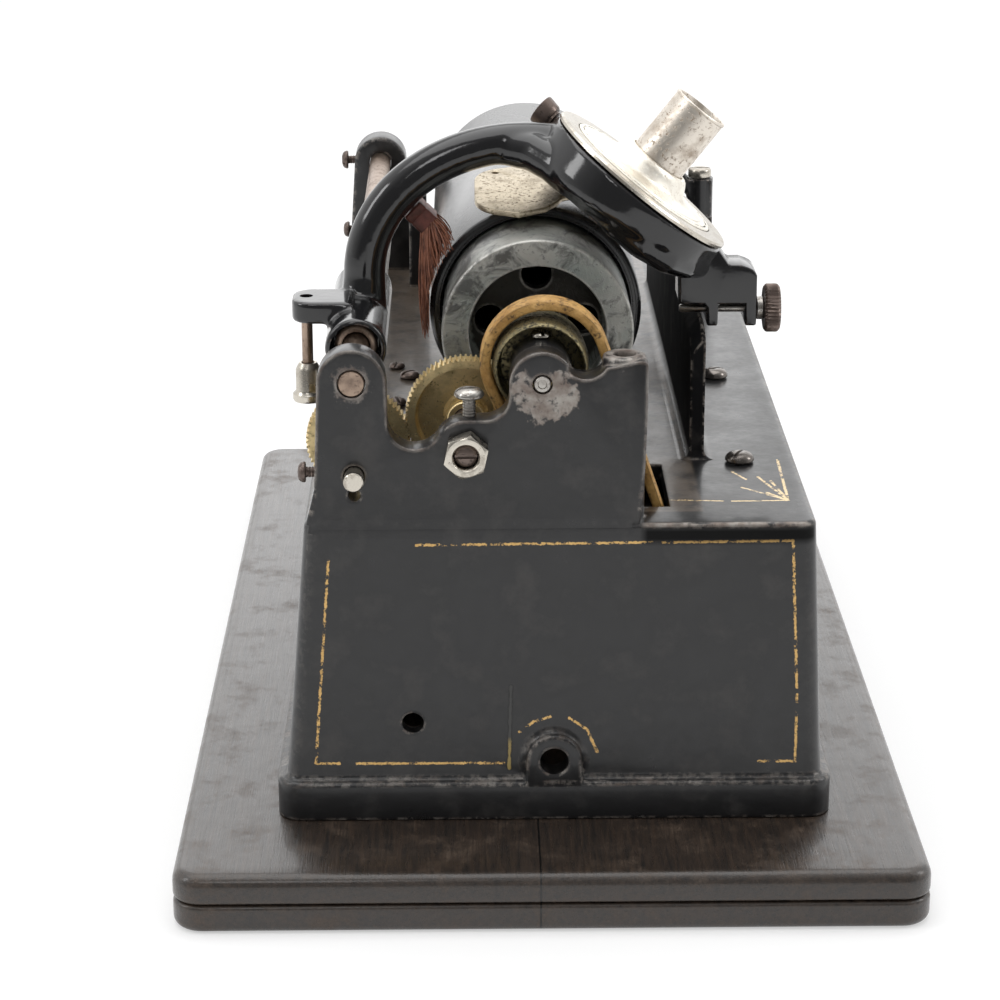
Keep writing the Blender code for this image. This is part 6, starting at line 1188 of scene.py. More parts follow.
def rail_section(y, drop):
    """The rail's section at one place along it."""
    low_side, high_side = RAIL_TOP - RAIL_SLOPE - drop, RAIL_TOP - drop
    outline = [(RAIL_LEFT - RAIL_FILLET, DECK_FOOT_Z)]
    outline += arc((RAIL_LEFT - RAIL_FILLET, DECK_Z + RAIL_FILLET), RAIL_FILLET, 270, 360, 6)
    outline += [(RAIL_LEFT, low_side), (RAIL_LEFT + 0.0006, low_side + 0.0011)]
    outline += [(RAIL_RIGHT - 0.0008, high_side), (RAIL_RIGHT, high_side - 0.0007)]
    outline += arc((RAIL_RIGHT + RAIL_FILLET, DECK_Z + RAIL_FILLET), RAIL_FILLET, 180, 270, 6)
    outline += [(RAIL_RIGHT + RAIL_FILLET, DECK_FOOT_Z)]
    return [(x, y, z) for x, z in outline]


def rail():
    """The straight-edge rail, with a sloped top, a dropped nose and a fillet on each side of its foot."""
    places = [(RAIL_NEAR, RAIL_NOSE_DROP), (RAIL_NEAR + 0.0015, RAIL_NOSE_DROP * 0.62),
              (RAIL_NEAR + RAIL_NOSE_RUN, 0.0), (RAIL_FAR, 0.0)]
    return lofted("rail", [rail_section(y, drop) for y, drop in places])


def bearing_boss():
    """The shaft's boss behind the near wall."""
    near = WALL_FAR - BODY_STEP
    profile = [(BEARING_RADIUS, near), (BEARING_RADIUS, BEARING_FAR - 0.0010),
               (BEARING_RADIUS - 0.0003, BEARING_FAR - 0.0003), (BEARING_RADIUS - 0.0010, BEARING_FAR)]
    return on_axis(lathe("bearing", profile, MEDIUM))


def right_pad():
    """The round drilled pad at the wall's right end."""
    profile = [(RIGHT_PAD_RADIUS, DECK_FOOT_Z), (RIGHT_PAD_RADIUS, RIGHT_PAD_TOP - 0.0009),
               (RIGHT_PAD_RADIUS - 0.0003, RIGHT_PAD_TOP - 0.0003),
               (RIGHT_PAD_RADIUS - 0.0010, RIGHT_PAD_TOP)]
    return put(lathe("pad", profile, MEDIUM), Matrix.Translation((RIGHT_PAD_X, RIGHT_PAD_Y, 0)))


def far_upright():
    """The upright that holds the rod's far end."""
    outline = [(ROD_X - UPRIGHT_RADIUS - UPRIGHT_LEFT_SPREAD, DECK_FOOT_Z)]
    outline += arc((ROD_X, ROD_RISE), UPRIGHT_RADIUS, 180, 0, 22)
    outline += [(ROD_X + UPRIGHT_RADIUS + UPRIGHT_RIGHT_SPREAD, DECK_FOOT_Z)]
    return eased(slab("upright", outline, UPRIGHT_NEAR, ROD_FAR), WALL_EASE, 4)


def cable_boss():
    """The arch round the cable hole, and the flare that leads it out of the front wall."""
    middle, foot = CABLE_HOLE[0], FLANGE_TOP_Z - OVERRUN
    reach = CABLE_BOSS_RADIUS + CABLE_FOOT_SPREAD
    outline = [(middle - reach, foot)] + arc(CABLE_HOLE, CABLE_BOSS_RADIUS, 180, 0, 20)
    outline += [(middle + reach, foot)]
    boss = eased(slab("cable_arch", outline, -FLANGE_REACH - BODY_STEP, BODY_WALL / 2), 0.0009)
    profile = [(CABLE_BOSS_RADIUS * 0.9, BODY_WALL / 2), (CABLE_BOSS_RADIUS + CABLE_FLARE, BODY_WALL / 2)]
    profile += [(CABLE_BOSS_RADIUS + CABLE_FLARE * (1 - math.sin(angle)),
                 -BODY_STEP - CABLE_FLARE_DEPTH * (1 - math.cos(angle))) for angle in quarter_turn(5)]
    return [boss, on_axis(lathe("cable_flare", profile, MEDIUM), *CABLE_HOLE)]


def fold_and_lip():
    """The small wedge where the wall meets the deck, and the raised lip along the deck's front edge."""
    section = [(FOLD_FAR, DECK_Z + FOLD_RISE), (0.0, DECK_Z + FOLD_RISE), (-BODY_STEP, DECK_Z - FOLD_DROP),
               (FOLD_FAR, DECK_Z - FOLD_DROP)]
    left_end = [(FOLD_LEFT_TOP if z > DECK_Z else FOLD_LEFT_FOOT, y, z) for y, z in section]
    fold = lofted("fold", [left_end, [(WALL_RIGHT - 0.0012, y, z) for y, z in section]])
    lip = box_piece("lip", (WALL_RIGHT - LIP_END, -BODY_STEP - LIP_REACH, DECK_Z - LIP_DEPTH),
                    (BODY_RIGHT_TOP - LIP_END, LIP_FAR, DECK_Z - 0.0001))
    return [fold, eased(lip, 0.0003)]


def casting_cuts():
    """Cutters for the motor's pit and for every hole of the casting."""
    wall_end, rod_end, rod_hole = WALL_FAR + OVERRUN, ROD_FAR + OVERRUN, ROD_RADIUS + CLEAR
    return [box_piece("pit", (PIT_LEFT, PIT_NEAR, DECK_Z - DECK_THICK - OVERRUN),
                      (PIT_RIGHT, PIT_FAR, DECK_Z + CLEAR)),
            hole(CABLE_HOLE_RADIUS, -FLANGE_REACH - OVERRUN, BODY_WALL + OVERRUN, *CABLE_HOLE),
            hole(OIL_HOLE_RADIUS, -OVERRUN, BODY_WALL + OVERRUN, *OIL_HOLE),
            hole(SHAFT_END_RADIUS, -OVERRUN, SHAFT_END_FAR, 0, 0),
            hole(BEARING_BORE, BEARING_BORE_NEAR, BEARING_FAR + OVERRUN, 0, 0),
            hole(rod_hole, -OVERRUN, wall_end, ROD_X, ROD_RISE),
            hole(rod_hole, UPRIGHT_NEAR - OVERRUN, rod_end, ROD_X, ROD_RISE),
            hole(STUD_HOLE_RADIUS, -OVERRUN, wall_end, INTER_X, INTER_Z),
            hole(FEED_HOLE_RADIUS, -OVERRUN, wall_end, FEED_X, FEED_Z),
            hole(DOWEL_HOLE_RADIUS, -OVERRUN, wall_end, FEED_X, FEED_Z - DOWEL_DROP),
            hole(FEED_HOLE_RADIUS, UPRIGHT_NEAR - OVERRUN, rod_end, FEED_X, FEED_Z),
            down_post("pad_hole", RIGHT_PAD_HOLE, RIGHT_PAD_TOP - RIGHT_PAD_DEPTH, RIGHT_PAD_TOP + OVERRUN,
                      RIGHT_PAD_X, RIGHT_PAD_Y)]


def make_casting(finish):
    """The whole iron casting, fused from its bosses, walls, rail and posts, and drilled."""
    body = body_shell()
    wall = eased(slab("wall", near_wall_outline(), 0, WALL_FAR), WALL_EASE, 4)
    thick = eased(slab("thick", thick_outline(), WALL_FAR - BODY_STEP, THICK_WALL_FAR), WALL_EASE * 0.7)
    gate_post = down_post("gate_post", HINGE_RADIUS, DECK_FOOT_Z, GATE_POST_TOP, HINGE_X, HINGE_Y)
    stop = eased(box_piece("stop", (GATE_LEFT, STOP_NEAR, DECK_FOOT_Z), (STOP_RIGHT, STOP_FAR, STOP_TOP)),
                 0.0006)
    body = plus(body, wall, thick, bearing_boss(), right_pad(), far_upright(), rail(), gate_post, stop,
                *cable_boss(), *fold_and_lip())
    body = less(body, *casting_cuts())
    finished(body, "root", finish, "black_japan", "body_casting", smooth=30)


# Turned and small pieces

def round_screw(name, radius, height, turn_deg, place, direction=(0, 0, 1), shank=0.0):
    """A round-head screw with a slot, and with a threaded end where a shank is asked for."""
    screw = lathe(name, [(radius * share, height * rise) for share, rise in SCREW_SHARES], MEDIUM)
    slot = box_piece("slot", (-radius * 1.2, -SLOT_HALF, height - SLOT_DEPTH),
                     (radius * 1.2, SLOT_HALF, height * 1.5))
    screw = less(screw, slot)
    if shank:
        stem = lathe("stem", thread_profile(shank * 0.45, -SHANK_REACH, 0.0002), SMALL)
        screw = joined(name, [screw, stem])
    screw = eased(screw, 0.00012, 2, 45)
    return put(screw, toward(direction, place) @ Matrix.Rotation(math.radians(turn_deg), 4, "Z"))


def thread_profile(radius, low, high):
    """The zigzag edge of a fine thread between two heights."""
    points = []
    count = max(int((high - low) / THREAD_PITCH), 1)
    for turn in range(count):
        foot = low + (high - low) * turn / count
        points += [(radius * 0.90, foot), (radius, foot + (high - low) / count / 2)]
    return points + [(radius * 0.90, high)]


def star_rings(radius, depth, teeth, levels):
    """Rings with a knurled edge: (height, share of the radius) levels."""
    rings = []
    for height, share in levels:
        ring = []
        for step in range(teeth * 2):
            angle = math.pi * step / teeth
            reach = (radius - (depth if step % 2 else 0)) * share
            ring.append((reach * math.cos(angle), reach * math.sin(angle), height))
        rings.append(ring)
    return rings


def make_screws(steel, brown, nickel, dark):
    """Every slotted screw and cap that shows."""
    head = DECK_Z + CLEAR
    for node, y, turn in (("motor_hanger_screw_near", 0.0510, 62), ("motor_hanger_screw_far", 0.1340, 18)):
        screw = round_screw(node + "_looks", 0.0040, 0.0027, turn, (HANGER_X, y, head))
        finished(screw, "root", dark, "brown_steel", node)
    for node, x, y, turn in (("bed_screw_1", -0.0364, 0.1352, 35), ("bed_screw_2", -0.0400, 0.1069, 110)):
        screw = round_screw(node + "_looks", 0.0031, 0.0020, turn, (x, y, head))
        finished(screw, "root", brown, "brown_steel", node)
    small = round_screw("bed_screw_small_looks", 0.0024, 0.0016, 80, (-0.0405, 0.1460, head))
    finished(small, "root", brown, "brown_steel")
    oil = round_screw("oil_screw_looks", 0.0028, 0.0018, 100, (0, 0.0168, BEARING_RADIUS + 0.0002))
    finished(oil, "root", nickel, "nickel", "bearing_oil_screw")
    lock = round_screw("stud_lock_screw_looks", 0.0039, 0.0024, 12, (-0.0186, 0.0046, SHOULDER_Z + 0.0052),
                       shank=0.0039)
    finished(lock, "root", steel, "steel", "stud_lock_screw")
    for node, y, z, radius, height, turn, body in (
            ("side_lock_screw_near", 0.0040, FEED_Z, 0.0027, 0.0021, 40, "root"),
            ("side_lock_screw_far", 0.2760, FEED_Z, 0.0027, 0.0021, 40, "root"),
            ("rod_thumb_screw", 0.2760, ROD_RISE, 0.0031, 0.0022, 70, "rod_screw")):
        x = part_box(node)[0].x - DATUM.x + height
        screw = round_screw(node + "_looks", radius, height, turn, (x, y, z), (-1, 0, 0), 0.0031)
        finished(screw, body, brown, "brown_steel", node)


def make_back_rod(copper):
    """The rod that the carriage slides on."""
    rod = lathe("back_rod_looks", turned_bar(ROD_RADIUS, 0.0001, ROD_FAR - 0.0001, ROD_EASE), MEDIUM)
    finished(on_axis(rod, ROD_X, ROD_RISE), "root", copper, "coppered_steel", "back_rod")


def make_lock_nut(nickel):
    """The hexagon nut on the front, with turned corners and a countersunk bore."""
    half = 0.0103 / 2
    corner = half / math.cos(math.pi / 6)
    front, back = -CLEAR - 0.0052, -CLEAR
    nut = lathe("stud_lock_nut_looks", [(corner, front), (corner, back)], 6)
    cone = [(half - 0.0002, front), (corner + 0.0002, front + 0.0007), (corner + 0.0002, back - 0.0004),
            (half + 0.0001, back)]
    with_part(nut, lathe("cone", cone, MEDIUM), "INTERSECT")
    bore = [(STUD_HOLE_RADIUS + 0.0005, front - 0.0001), (STUD_HOLE_RADIUS, front + 0.0006),
            (STUD_HOLE_RADIUS, back + OVERRUN)]
    nut = eased(less(nut, lathe("nut_bore", bore, MEDIUM)), 0.00018, 2, 25)
    turn = Matrix.Rotation(math.radians(12), 4, "Y")
    put(nut, Matrix.Translation((INTER_X, 0, INTER_Z)) @ turn @ ALONG_Y)
    finished(nut, "root", nickel, "nickel", "stud_lock_nut")


def make_stud(brown):
    """The intermediate gear's stud, with its threaded end, collar and slot."""
    profile = [(0.0019, -0.0044)] + thread_profile(0.0029, -0.0040, 0.0080)
    profile += [(0.0029, 0.0083), (0.0052, 0.0083), (0.0052, 0.0109), (0.0031, 0.0109), (0.0031, 0.0392)]
    stud = on_axis(lathe("stud_looks", profile, SMALL), INTER_X, INTER_Z)
    slot = box_piece("stud_slot", (INTER_X - 0.0040, -0.0050, INTER_Z - SLOT_HALF),
                     (INTER_X + 0.0040, -0.0036, INTER_Z + SLOT_HALF))
    finished(less(stud, slot), "root", brown, "steel", "intermediate_stud")


def make_feed_pin(nickel):
    """The near centre pin of the feed screw."""
    profile = [(0.00225, -0.0055), (0.00255, -0.0052), (0.00255, 0.0090), (0.0006, 0.0110)]
    pin = on_axis(lathe("feed_pin_looks", profile, MEDIUM), FEED_X, FEED_Z)
    finished(pin, "root", nickel, "steel", "feed_centre_pin_near")


def gear_ring(teeth, first):
    """The toothed edge of a gear in front view."""
    points = []
    for tooth in range(teeth):
        for share, module_share in TOOTH_SHARES:
            angle = first + (tooth + share) * 2 * math.pi / teeth
            reach = MODULE * (teeth / 2 + module_share)
            points.append((reach * math.cos(angle), reach * math.sin(angle)))
    return points


def make_intermediate_gear(brass, first):
    """The dished gear between the pinion and the feed gear."""
    blank = slab("intermediate_gear_looks", gear_ring(INTER_TEETH, first), GEAR_NEAR, GEAR_FAR)
    rim = MODULE * (INTER_TEETH / 2 - RIM_SHARE)
    profile = [(0.0052, GEAR_NEAR - 0.001), (rim - 0.0018, GEAR_NEAR - 0.001),
               (rim - 0.0018, GEAR_NEAR + 0.0024), (rim - 0.0026, GEAR_NEAR + 0.0032),
               (0.0060, GEAR_NEAR + 0.0032), (0.0052, GEAR_NEAR + 0.0024)]
    dish = on_axis(lathe("dish", profile, MEDIUM, True))
    profile = [(GEAR_HUB - 0.0003, GEAR_NEAR - 0.0025), (GEAR_HUB, GEAR_NEAR - 0.0022),
               (GEAR_HUB, GEAR_FAR - 0.0010)]
    hub = on_axis(lathe("hub", profile, MEDIUM))
    bore = hole(GEAR_BORE, GEAR_NEAR - OVERRUN * 2, GEAR_FAR + OVERRUN, 0, 0)
    gear = less(plus(less(blank, dish), hub), bore)
    put(gear, Matrix.Translation((INTER_X, 0, INTER_Z)))
    finished(gear, "intermediate", brass, "old_brass", "intermediate_gear", smooth=30)


def make_feed_gear(brass, first):
    """The gear on the feed screw."""
    gear = slab("feed_gear_looks", gear_ring(FEED_TEETH, first), GEAR_NEAR, GEAR_FAR)
    gear = less(gear, hole(FEED_GEAR_BORE, GEAR_NEAR - OVERRUN, GEAR_FAR + OVERRUN, 0, 0))
    put(gear, Matrix.Translation((FEED_X, 0, FEED_Z)))
    finished(gear, "feed", brass, "old_brass", "feed_gear", smooth=30)


def make_gears(brass):
    """The intermediate gear and the feed gear, in mesh with the pinion that stays from the model."""
    inter_pitch = 2 * math.pi / INTER_TEETH
    first = math.atan2(INTER_Z, INTER_X) + math.pi + inter_pitch / 2
    make_intermediate_gear(brass, first)
    toward_feed = math.atan2(FEED_Z - INTER_Z, FEED_X - INTER_X)
    phase = ((toward_feed - first) / inter_pitch) % 1
    make_feed_gear(brass, toward_feed + math.pi - ((0.5 - phase) % 1) * 2 * math.pi / FEED_TEETH)


def make_mandrel(zinc):
    """The hollow tapered mandrel, with its hub and its drilled web."""
    near, far, bore, inside, hub = MANDREL_NEAR, MANDREL_FAR, SHAFT_BORE, MANDREL_INSIDE, MANDREL_HUB
    tail = MANDREL_RADIUS - MANDREL_TAPER
    profile = [(MANDREL_MOUTH + 0.0004, near), (MANDREL_RADIUS - 0.0005, near),
               (MANDREL_RADIUS - 0.0001, near + 0.0004), (MANDREL_RADIUS, near + 0.0010),
               (tail, far - 0.0010), (tail - 0.0003, far - 0.0003), (tail - 0.0009, far), (0.0100, far),
               (bore, far), (bore, far - 0.0040), (0.0195, far - 0.0040), (inside, WEB_FAR),
               (bore, WEB_FAR), (bore, HUB_NEAR), (hub - 0.0004, HUB_NEAR), (hub, HUB_NEAR + 0.0004),
               (hub, WEB_NEAR - 0.0004), (hub + 0.0004, WEB_NEAR), (inside - 0.0006, WEB_NEAR),
               (inside, WEB_NEAR - 0.0006), (inside, near + 0.0080), (inside - 0.0006, near + 0.0072),
               (MANDREL_MOUTH + 0.0003, near + 0.0055), (MANDREL_MOUTH, near + 0.0050),
               (MANDREL_MOUTH, near + 0.0008), (MANDREL_MOUTH + 0.00015, near + 0.0002)]
    mandrel = on_axis(lathe("mandrel_looks", profile, ROUND, True))
    for step in range(4):
        angle = math.pi / 2 * (1 + step)
        mandrel = less(mandrel, hole(WEB_HOLE_RADIUS, WEB_NEAR - OVERRUN, WEB_FAR + OVERRUN,
                                     WEB_HOLE_REACH * math.cos(angle), WEB_HOLE_REACH * math.sin(angle)))
    finished(mandrel, "mandrel_group", zinc, "zinc", "mandrel", smooth=32)


def make_wax(finish):
    """The wax cylinder, bored to the mandrel's taper, with a groove in its near end."""
    near, far, radius = WAX_NEAR, WAX_FAR, WAX_RADIUS
    near_bore, far_bore = [MANDREL_RADIUS - MANDREL_TAPER * (y - MANDREL_NEAR) / (MANDREL_FAR - MANDREL_NEAR)
                           + CLEAR for y in (near, far)]
    profile = [(near_bore + 0.0006, near), (radius - 0.0024, near), (radius - 0.0022, near + 0.0002),
               (radius - 0.0015, near + 0.0002), (radius - 0.0013, near), (radius - 0.0008, near + 0.0001),
               (radius - 0.0003, near + 0.0005), (radius, near + 0.0012), (radius, far - 0.0012),
               (radius - 0.0003, far - 0.0005), (radius - 0.0008, far), (far_bore, far),
               (near_bore, near + 0.0012)]
    cylinder = on_axis(lathe("wax_looks", profile, ROUND, True))
    finished(cylinder, "mandrel_group", finish, "black_wax", "wax_cylinder")


def make_pulley(brass):
    """The crowned drive pulley, with its web at the far side."""
    near, far, radius = PULLEY_NEAR, PULLEY_FAR, PULLEY_RADIUS
    profile = [(radius - 0.0014, near + 0.0002), (radius - 0.0012, near), (radius - 0.0010, near),
               (radius - 0.0005, near + 0.0006), (radius - 0.0002, near + 0.0040),
               (radius, (near + far) / 2), (radius - 0.0002, far - 0.0040),
               (radius - 0.0005, far - 0.0006), (radius - 0.0012, far),
               (SHAFT_BORE, far), (SHAFT_BORE, PULLEY_WEB), (radius - 0.0023, PULLEY_WEB),
               (radius - 0.0015, PULLEY_WEB - 0.0008)]
    pulley = on_axis(lathe("drive_pulley_looks", profile, ROUND, True))
    finished(pulley, "mandrel_group", brass, "old_brass", "drive_pulley")


def make_shaft(steel):
    """The mandrel's shaft, with its centred near end."""
    profile = [(0.0010, 0.0004), (0.0012, 0.0), (0.0019, 0.0), (0.0022, 0.0003), (0.0022, 0.0205),
               (0.0030, 0.0205), (0.0030, 0.2400), (0.0022, 0.2400), (0.0022, 0.2487)]
    shaft = on_axis(lathe("shaft_looks", profile, MEDIUM))
    finished(shaft, "mandrel_group", steel, "steel", "mandrel_shaft")


def make_belt(leather):
    """The endless leather belt round the drive pulley and down to the motor's."""
    low = Vector((MOTOR_X, MOTOR_Z))
    run = low - BELT_TOP
    along = math.atan2(run.y, run.x)
    lean = math.acos((BELT_TOP_REACH - BELT_LOW_REACH) / run.length)
    stations = [(BELT_TOP, BELT_TOP_REACH, along + lean + (2 * math.pi - 2 * lean) * step / 40)
                for step in range(41)]
    stations += [(low, BELT_LOW_REACH, along - lean + 2 * lean * step / 28) for step in range(29)]
    half, thick, ease = BELT_HALF, BELT_THICK, BELT_EASE
    rings = []
    random.seed(11)
    for centre, reach, angle in stations:
        out = Vector((math.cos(angle), math.sin(angle)))
        fray = random.uniform(-0.00012, 0.00012)
        section = [(ease, -half), (0, -half + 0.0005), (0, half - 0.0005), (ease, half),
                   (thick - ease, half + fray), (thick, half - 0.0006), (thick, -half + 0.0006),
                   (thick - ease, -half + fray)]
        spots = [(centre + out * (reach + rise), across) for rise, across in section]
        rings.append([(spot.x, BELT_Y + across, spot.y) for spot, across in spots])
    belt = lofted("drive_belt_looks", rings, True)
    finished(belt, "root", leather, "tan_leather", "drive_belt", smooth=50)


def arm_line():
    """The arm's centre line: up from its root, round its shoulder and down to the ring."""
    rise = ARM_KNEE + ARM_RISE
    fall = ARM_END + ARM_FALL
    points = [ARM_ROOT, ARM_ROOT.lerp(ARM_KNEE, 0.5)]
    for step in range(ARM_STEPS + 1):
        t = step / ARM_STEPS
        points.append(ARM_KNEE * (1 - t) ** 3 + rise * 3 * t * (1 - t) ** 2 + fall * 3 * t ** 2 * (1 - t)
                      + ARM_END * t ** 3)
    last = (points[-1] - points[-2]).normalized()
    return points + [points[-1] + last * ARM_REACH_IN]


# Carriage and arm

def tube_rings(points, radii):
    """Round sections along a line of points."""
    rings = []
    side = ACROSS
    angles = [2 * math.pi * step / TUBE_SIDES for step in range(TUBE_SIDES)]
    for index, point in enumerate(points):
        along = (points[min(index + 1, len(points) - 1)] - points[max(index - 1, 0)]).normalized()
        side = (side - along * side.dot(along)).normalized()
        up = along.cross(side)
        rings.append([point + (side * math.cos(a) + up * math.sin(a)) * radii[index] for a in angles])
    return rings


def ring_rings():
    """The ring's sections: its depth grows toward the arm, where it takes the arm's load."""
    levels = ((0.0258, 1.0), (0.0270, 0.955), (0.0281, 0.84), (0.0287, 0.68), (0.0287, 0.07), (0.0281, 0.0))
    along = Vector((math.cos(HEAD_TILT), 0, -math.sin(HEAD_TILT)))
    rings = []
    for radius, share in levels:
        ring = []
        for step in range(ROUND):
            angle = 2 * math.pi * step / ROUND
            depth = RING_DEPTH + RING_EXTRA * (0.5 - 0.5 * math.cos(angle)) ** 1.5
            out = along * math.cos(angle) + ACROSS * math.sin(angle)
            ring.append(HEAD_CENTRE + out * radius - HEAD_NORMAL * depth * share)
        rings.append(ring)
    return rings


def lug():
    """The lug beside the sleeve that the lift rod hangs in."""
    middle_x, middle_y = LUG_PLACE
    reach = LUG_HALF + LUG_ROUND
    plan = [(LUG_RIGHT, middle_y - reach), (LUG_RIGHT, middle_y + reach)]
    plan += arc((middle_x, middle_y + LUG_HALF), LUG_ROUND, 90, 180, 6)
    plan += arc((middle_x, middle_y - LUG_HALF), LUG_ROUND, 180, 270, 6)
    return lofted("lug", [[(x, y, z) for x, y in plan] for z in (LUG_LOW, LUG_HIGH)])


def make_arm(japan):
    """The arm casting: sleeve on the rod, lug, bowed arm and ring, melted together and bored."""
    radii = [ARM_RADIUS - ARM_TAPER * step / ARM_STEPS for step in range(ARM_STEPS + 1)]
    arm = lofted("arm", tube_rings(arm_line(), ARM_ROOT_RADII + radii + [ARM_END_RADIUS]))
    sleeve = lathe("sleeve", turned_bar(SLEEVE_RADIUS, SLEEVE_NEAR, SLEEVE_FAR, SLEEVE_EASE), MEDIUM)
    sleeve = on_axis(sleeve, ROD_X, ROD_RISE)
    ring = lofted("ring", ring_rings())
    bow = lofted("bow", tube_rings(BOW_POINTS, BOW_RADII))
    arm = joined("carriage_arm_looks", [arm, sleeve, ring, bow, lug()])
    arm = applied(arm, "REMESH", mode="VOXEL", voxel_size=0.00055)
    arm = applied(arm, "SMOOTH", factor=0.6, iterations=16)
    near, far = SLEEVE_NEAR - OVERRUN, SLEEVE_FAR + OVERRUN
    ring_cut = lathe("ring_cut", [(RING_BORE, -RING_DEPTH - 0.010), (RING_BORE, OVERRUN * 2)])
    arm = less(arm, hole(SLEEVE_BORE, near, far, ROD_X, ROD_RISE, MEDIUM),
               hole(SLEEVE_RECESS, near, SLEEVE_RECESS_FAR, ROD_X, ROD_RISE, MEDIUM),
               down_post("lug_hole", 0.0018, LUG_LOW - OVERRUN, LUG_HIGH + OVERRUN, *LIFT_ROD_PLACE),
               on_head(ring_cut))
    finished(arm, "arm", japan, "black_japan", "carriage_arm", smooth=40)


def make_guide_block(japan):
    """The forked block under the ring that the guide screw goes through."""
    outline = [(0.0389, 0.0052), (0.0395, 0.0040), (0.0460, 0.0040), (0.0468, 0.0030), (0.0468, -0.0021),
               (0.0499, -0.0021), (0.0499, 0.0040), (0.0573, 0.0040), (0.0573, -0.0021), (0.0604, -0.0021),
               (0.0604, 0.0120), (0.0596, 0.0135), (0.0580, 0.0143), (0.0560, 0.0150), (0.0527, 0.0150),
               (0.0500, 0.0190), (0.0430, 0.0235), (0.0400, 0.0215), (0.0389, 0.0150)]
    block = eased(slab("guide_block", outline, BLOCK_NEAR, BLOCK_FAR), 0.0007)
    finished(block, "arm", japan, "black_japan")


def make_bushing(copper):
    """The bushing between the rod and the arm's sleeve."""
    profile = [(0.0050, 0.0365), (0.0056, 0.0369), (0.0056, 0.0990), (0.0050, 0.09975), (0.0038, 0.09975),
               (0.0038, 0.0365)]
    bush = on_axis(lathe("carriage_bushing_looks", profile, MEDIUM, True), ROD_X, ROD_RISE)
    finished(bush, "carriage", copper, "coppered_steel", "carriage_bushing")


def make_lift_rod(copper, nickel):
    """The thin rod that hangs in the lug, with its nickel clamp."""
    place = Matrix.Translation((*LIFT_ROD_PLACE, 0))
    low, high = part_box("lift_rod")
    rod = lathe("lift_rod_looks", turned_bar(0.0015, low.z - DATUM.z, high.z - DATUM.z, 0.0004), SMALL)
    finished(put(rod, place), "lift_rod_group", copper, "coppered_steel", "lift_rod")
    profile = [(0.0026, -0.0196), (0.0040, -0.0192), (0.0043, -0.0186), (0.0043, -0.0172), (0.0036, -0.0166),
               (0.0034, -0.0160), (0.0034, -0.0104), (0.0030, -0.0096), (0.0024, -0.0085), (0.0018, -0.0085),
               (0.0018, -0.0196)]
    clamp = lathe("lift_rod_clamp_looks", profile, MEDIUM, True)
    clamp = less(clamp, box_piece("clamp_slot", (0.0000, -0.0004, -0.0210), (0.0060, 0.0004, -0.0110)))
    finished(put(eased(clamp, 0.00015, 2, 40), place), "lift_rod_group", nickel, "nickel", "lift_rod_clamp")


def make_guide_screw(steel, brown):
    """The knurled thumb screw through the guide block, with its round rod."""
    place = toward((1, 0, 0), (0, HEAD_CENTRE.y, GUIDE_Z))
    rod = lathe("guide_rod", [(0.0008, 0.0396), (0.0011, 0.0400), (0.0011, 0.0640)], SMALL)
    profile = [(0.0028, 0.0607), (0.0032, 0.0611), (0.0032, 0.0625), (0.0027, 0.0629)]
    rod = joined("guide_rod", [rod, lathe("guide_collar", profile, MEDIUM)])
    finished(put(rod, place), "guide_screw", steel, "steel", "guide_thumb_screw")
    levels = [(0.0629, 0.88), (0.0634, 0.97), (0.0638, 1.0), (0.0664, 1.0), (0.0668, 0.97), (0.0673, 0.88)]
    knob = lofted("guide_knob", star_rings(0.0067, 0.00042, 38, levels))
    knob = less(knob, lathe("knob_dish", [(0.0040, 0.0668), (0.0046, 0.0680)], MEDIUM))
    finished(put(knob, place), "guide_screw", brown, "brown_steel")


def make_cup(nickel):
    """The sound box's flanged cup, seated in the ring."""
    top = CUP_SEAT + CUP_FLANGE_THICK
    profile = [(CUP_INSIDE, top), (CUP_FLANGE - 0.0005, top), (CUP_FLANGE, top - 0.0005),
               (CUP_FLANGE, CUP_SEAT), (CUP_RADIUS, CUP_SEAT), (CUP_RADIUS, CUP_FOOT + 0.0010),
               (CUP_RADIUS - 0.0003, CUP_FOOT + 0.0003), (CUP_RADIUS - 0.0010, CUP_FOOT),
               (0.0209, CUP_FOOT), (0.0209, -0.0044), (0.0170, -0.0044), (0.0170, -0.0022),
               (CUP_INSIDE, -0.0022)]
    cup = on_head(lathe("reproducer_body_looks", profile, ROUND, True))
    finished(cup, "arm", nickel, "nickel", "reproducer_body")


def make_cover(nickel):
    """The cover over the diaphragm, which rises to a cone at the tube."""
    low = CUP_SEAT + CUP_FLANGE_THICK - 0.0006
    top = CUP_SEAT + CUP_FLANGE_THICK + 0.0004
    profile = [(0.0071, low), (COVER_RADIUS - 0.0005, low), (COVER_RADIUS, low + 0.0002),
               (COVER_RADIUS, top - 0.0003), (COVER_RADIUS - 0.0004, top), (0.0196, top),
               (0.0193, top + 0.0003), (0.0150, top + 0.0006), (0.0128, top + 0.0011),
               (0.0118, top + 0.0020), (0.0106, top + 0.0042), (0.0098, top + 0.0054),
               (0.0092, top + 0.0058), (0.0084, top + 0.0058), (0.0083, top + 0.0050),
               (0.0071, top + 0.0020)]
    cover = on_head(lathe("reproducer_cover_looks", profile, ROUND, True))
    finished(cover, "arm", nickel, "nickel", "reproducer_cover")


